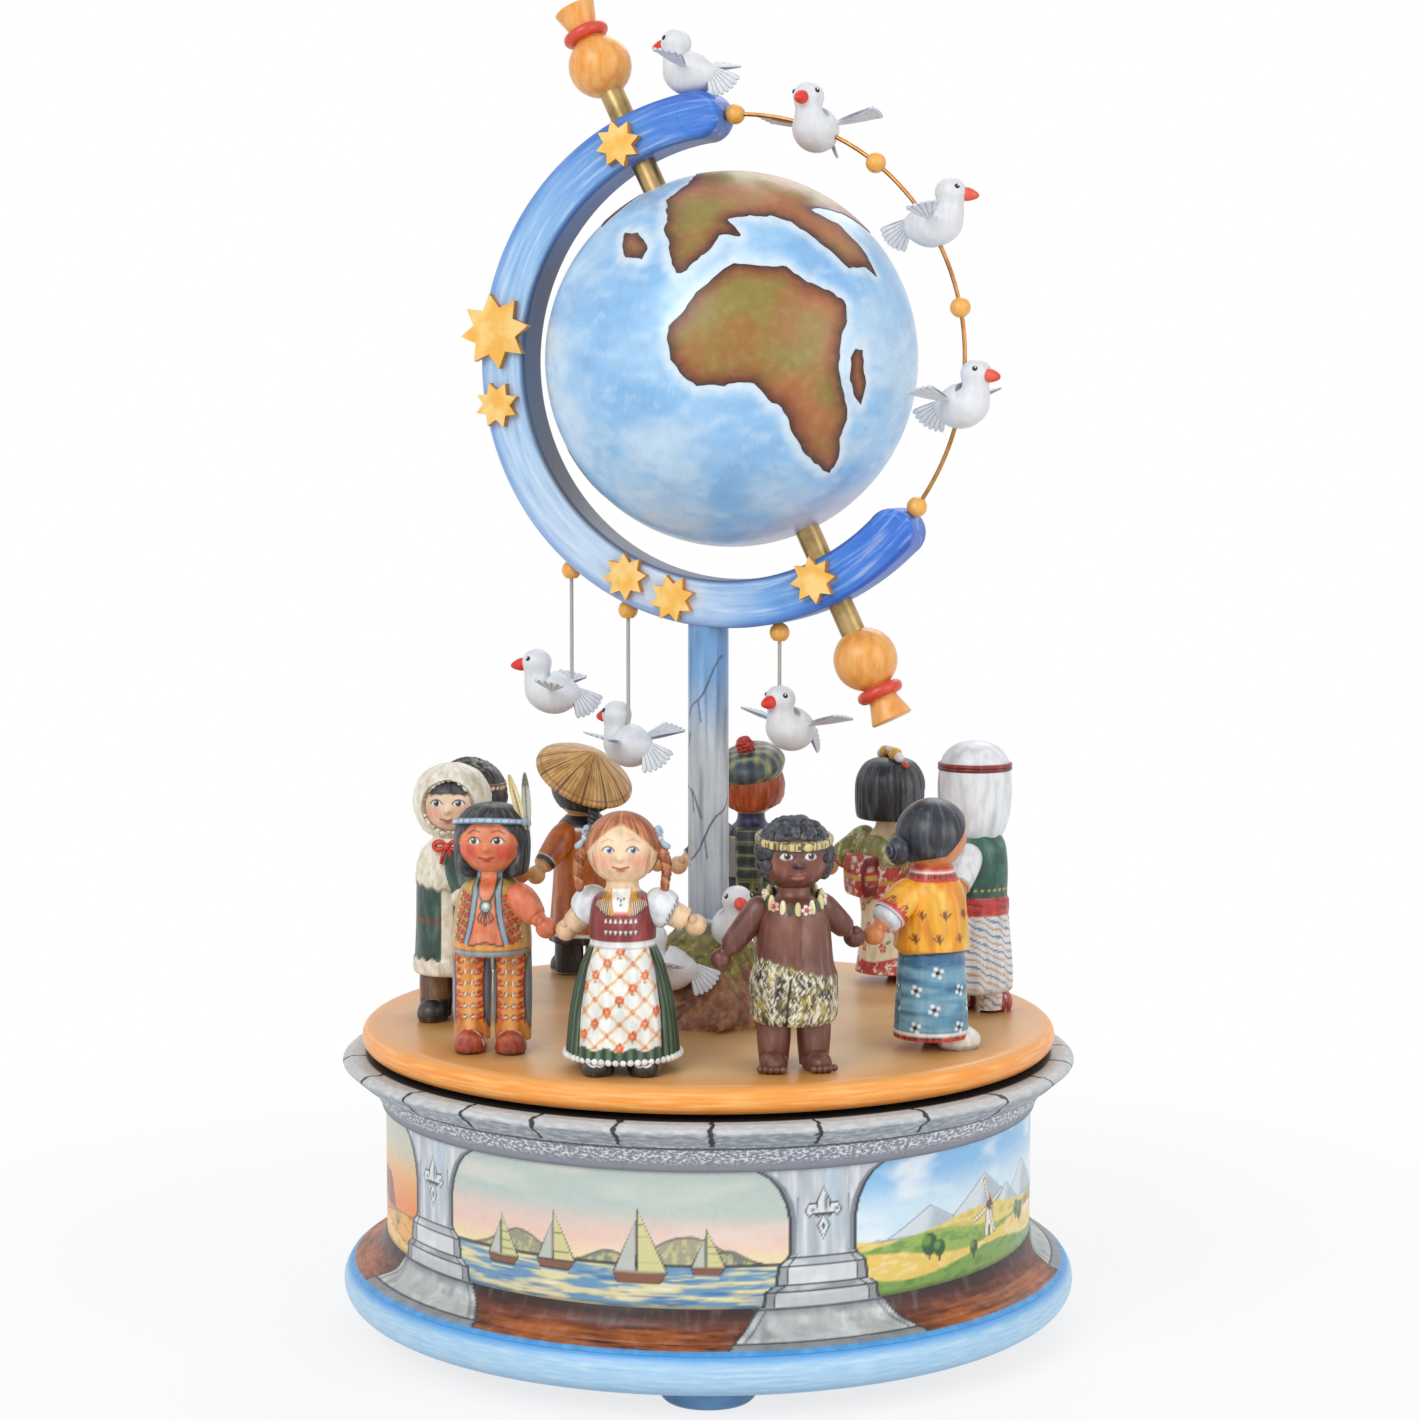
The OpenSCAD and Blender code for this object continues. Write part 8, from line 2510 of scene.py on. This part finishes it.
def carve_feather_boy():
    kid = Child("feather_boy")
    skin = "e27b52"

    def body(c, a, z, r):
        u = c.u
        c.fill(skin)
        c.put(rise(0.5, 0.7, marks(u, z, 0.6, 0.6, 3, 3)), "ee9a70", 0.6)
        edge = edge_at(z)
        vest = rise(edge - 0.12, edge + 0.12, abs(u))
        c.put(vest, "c9a04e")
        c.put(vest * rise(0.5, 0.7, marks(u, z, 0.8, 0.4, 1.8, 5)), "e3c47e", 0.7)
        c.put(vest * rise(0.47, 0.3, marks(u, z, 0.8, 0.4, 1.8, 6)), "94702c", 0.7)
        for d, w, col in ((0.0, 0.5, "2f2a28"), (0.8, 1.3, "93a9b8"), (1.7, 0.4, "2f2a28")):
            c.put(fall(w / 2 - 0.1, w / 2 + 0.1, abs(abs(u) - edge - d)), col)
        for s in (-1, 1):
            for k in range(6):
                z0 = 31.0 + 2.3 * k
                rib = [(s * (edge_at(z0) + 2.2), z0), (s * (edge_at(z0) + 5.4), z0 + 1.2)]
                c.only = vest
                c.line(rib, 1.5, "4a1c16").line(rib, 1.05, "cf5040")
                c.only = 1.0
                c.oval(s * (edge_at(z0) + 6.1), z0 + 1.0, 0.34, 0.34, "f7f2e8", 0.1)
        c.band(26.8, 30.4, "e5a04a")
        c.put(fall(0.15, 0.4, abs(z - 30.4 - 0.5 * np.cos(u * 0.6))) * (1 - vest), "4a2418", 0.95)
        c.band(27.0, 28.2, "93a9b8", 0.12)
        c.band(28.2, 28.6, "2f2a28", 0.1)
        for s in (-1, 1):
            c.line([(s * 3.0, 47.5), (s * 2.0, 43.6), (s * 0.5, 41.2)], 0.7, "3a4a2c")
            for k in range(3):
                c.line([(s * 0.5 * k, 39.4), (s * (0.4 + 0.9 * k), 36.4 + 0.5 * k),
                    (s * 0.8 * k, 35.4 + 0.5 * k)], 0.42, "1f2a2a")
        c.oval(0, 40.6, 1.7, 1.7, "2a2a2a", 0.12)
        c.oval(0, 40.6, 1.25, 1.25, "9db8b4", 0.2)
        c.oval(0, 40.9, 0.6, 0.6, "f7f7f2", 0.2)

    edge_at = lambda z: 2.4 + 0.011 * (46 - z) ** 2
    m = kid.turned(Model(), [[9.4, 26.8], [10.3, 27.2], [10.7, 28.4], [10.6, 33], [9.8, 40], [8, 45],
        [4.6, 47.8], [4.4, 52]], body, None, 220)
    kid.make("vest", m, "body")
    m = Model()

    def leg(c, a, z, r):
        u = c.u
        c.fill("e8973f")
        s = marks(u, z, 1, 0.3, 1.8, 3)
        c.strokes(s, (0.5, 0.7, "f5b566", 0.8), (0.48, 0.3, "bf6a20", 0.7))
        for s in (-1, 1):
            flap = fall(-0.2, 0.2, np.hypot((abs(u - s * 7.0) - 0.4) / 2.2, (z - 17) / 9.5) - 1)
            c.put(fall(0.04, 0.16, abs(np.hypot((u - s * 7.0) / 2.9, (z - 17) / 9.8) - 1)), "1d1c1e", 0.95)
            c.put(flap, "8496a6", 0.95)
            for k in range(6):
                z0 = 9.0 + 3.1 * k
                c.line([(s * 2.0, z0), (s * 4.2, z0 + 0.5), (s * 2.4, z0 + 1.3), (s * 4.2, z0 + 1.9)],
                    0.62, "b5382a")
                c.oval(s * 1.0, z0 + 0.8, 0.62, 0.62, "3a2a20", 0.1)
                c.oval(s * 1.0, z0 + 0.8, 0.4, 0.4, "f7f2e8", 0.1)
            c.line([(s * 4.4, 27.5), (s * 4.4, 8)], 0.4, "3a2018")
        c.put(rise(6.6, 6.2, z + 0.5 * abs(u)), "e07a34")

    kid.legs(m, 5.6, 4.9, 5.1, 3.2, 30, leg)

    def shoe(c, x, y, z):
        c.fill("a8452c").put(rise(0.5, 0.7, mottle(np.stack([x, y, z], -1), 1.6, 2)), "c8673f", 0.7)
        for k in range(3):
            c.put(fall(0.3, 0.5, np.hypot(x - np.round(x / 1.4) * 1.4, y + 1.5 * k - 1.0)), "f6efe4",
                (z > 2.2) * 1.0)
        c.put(rise(0.9, 0.6, z), "5a2416")

    kid.shoes(m, 5.4, 13, 6.2, -3, 8, shoe)
    kid.make("legs_painted", m)

    def sleeve(c, t, n):
        skin_shade(c, skin, n)
        c.put(rise(0.5, 0.72, marks(t, c.v, 2, 0.4, 2.2, 3)), "f09a72", 0.6)

    kid.arms(9, 42.5, 33, 35, 4.2, 2.3, sleeve)
    line = hairline((0, 6.6), (28, 4.8), (50, 1.8), (66, -3), (75, -7.5), (180, -8))

    def warm(c):
        for s in (-1, 1):
            c.oval(s * 4.6, -2.2, 2.2, 1.7, "d3412e", 1.6, much=0.55)

    kid.make("head_painted", kid.head(57.4, "ea8a5e", "dc5238", "b43a30", "3a2014", "2a1a16",
        ("19191d", "43464e", "08080a"), line, 0.6, -0.1, 1.0, warm, lid="20120e"), "head")

    def hair(c, a, z, r):
        s = marks(a * 9, z, 1.6, 0.07, 1.2, 3)
        c.fill("1a1a1e").strokes(s, (0.54, 0.7, "4c5059", 0.8), (0.45, 0.3, "070709", 0.8))

    def part(a, z, r):
        open_at = np.interp(z, [-10, -6, -2, 3, 6.5, 9],
            [0.66, 0.84, 0.92, 0.78, 0.2, 0.0]) + 0.05 * np.sin(z * 1.3)
        inside = fall(open_at - 0.08, open_at + 0.08, abs(a))
        return inside * np.minimum(head_radius(z) - 1.8 - r, 0) + folds(a, 44, -0.2)

    m = kid.turned(Model(), [[6.0, -9.8], [8.0, -9.7], [9.8, -8.2], [10.4, -3], [10.3, 1], [9.4, 5.4],
        [6, 9], [1, 10.2], [0.1, 10.2]], hair, part, 220, at=seat(0, 1.2, 57.4))
    kid.make("hair_painted", m)

    def band(c, a, z, r):
        c.fill("a9d3ea")
        c.put(rise(0.5, 0.7, marks(c.u, z, 0.5, 1, 1.5, 3)), "d9eef7", 0.8)
        c.dots(0, 2.2, 0.32, "c0624a")
        c.put(abs(abs(z) - 0.62) < 0.16, "4a6a80", 0.9)

    m = kid.turned(Model(), [[9.4, -0.8], [10.5, -0.75], [10.65, 0], [10.5, 0.75], [9.4, 0.8]], band, None,
        150, 0.3, seat(0, 0.7, 62.0, -10), smooth=False)
    m.ball((9.6, -3.4, 62.8), 1.2, "9fb4c0", 12, 16, (0.8, 0.9, 1.1))
    for x0, lean, col, tip in ((9.4, -17, "f0dfa0", "d8c070"), (10.2, -4, "b9bcae", "4a4c4a")):
        s = np.linspace(0, 1, 40)[:, None]
        t = np.linspace(-1, 1, 15)[None]
        half = 1.25 * np.sin(np.pi * np.clip(s * 0.92 + 0.06, 0, 1)) ** 0.6
        c = Canvas(t * half, s * 15.5 + 0 * t, col)
        c.put(fall(0.12, 0.3, abs(c.u)), "6b5a40", 0.9)
        c.put(rise(11.0, 12.6, c.v + 0.5 * abs(c.u)), tip, 0.9)
        c.put((abs((c.v - abs(c.u) * 0.9) % 1.1 - 0.55) < 0.16), "b9ab8f", 0.5)
        thick = 0.42 * (1 - 0.7 * t**2) + 0.0 * s
        for side in (1, -1):
            p = np.stack([t * half, side * thick + 0 * s, s * 15.5 + 0 * t], -1)
            p = turned_about(turned_about(p, (0, 1, 0), lean), (1, 0, 0), -6) + np.array([x0, -1.6, 60.4])
            m.grid(p, c.c, wrap=False, flip=side > 0)
    kid.make("band_and_feathers", m)


class MUSICBOX_OT_feather_boy(bpy.types.Operator):
    """Boy with long black hair, two feathers and a fringed vest."""

    bl_idname = "musicbox.feather_boy"
    bl_label = "Feather boy"

    def execute(self, context):
        carve_feather_boy()
        return {"FINISHED"}


# Sidebar and run

STEPS = (
    MUSICBOX_OT_stage,
    MUSICBOX_OT_base,
    MUSICBOX_OT_movement,
    MUSICBOX_OT_turntable,
    MUSICBOX_OT_crescent,
    MUSICBOX_OT_globe,
    MUSICBOX_OT_doves,
    MUSICBOX_OT_apron_girl,
    MUSICBOX_OT_curly_boy,
    MUSICBOX_OT_blouse_girl,
    MUSICBOX_OT_headcloth_boy,
    MUSICBOX_OT_kimono_girl,
    MUSICBOX_OT_tam_boy,
    MUSICBOX_OT_straw_hat_child,
    MUSICBOX_OT_beaded_child,
    MUSICBOX_OT_hood_child,
    MUSICBOX_OT_feather_boy,
)


class MUSICBOX_PT_panel(bpy.types.Panel):
    """Lists the steps that dress the music box."""

    bl_idname = "MUSICBOX_PT_panel"
    bl_label = "Music Box"
    bl_space_type = "VIEW_3D"
    bl_region_type = "UI"
    bl_category = "Music Box"

    def draw(self, context):
        for group in (context.scene.music_box_colours, context.scene.music_box_sizes):
            for key in group.__annotations__:
                self.layout.prop(group, key)
        for step in STEPS:
            self.layout.operator(step.bl_idname)


CLASSES = (MusicBoxColours, MusicBoxSizes, *STEPS, MUSICBOX_PT_panel)


def register():
    for cls in CLASSES:
        bpy.utils.register_class(cls)
    bpy.types.Scene.music_box_colours = bpy.props.PointerProperty(type=MusicBoxColours)
    bpy.types.Scene.music_box_sizes = bpy.props.PointerProperty(type=MusicBoxSizes)


def unregister():
    del bpy.types.Scene.music_box_sizes
    del bpy.types.Scene.music_box_colours
    for cls in reversed(CLASSES):
        bpy.utils.unregister_class(cls)


def main():
    register()
    for step in STEPS:
        group, name = step.bl_idname.split(".")
        getattr(getattr(bpy.ops, group), name)()


if __name__ == "__main__":
    main()
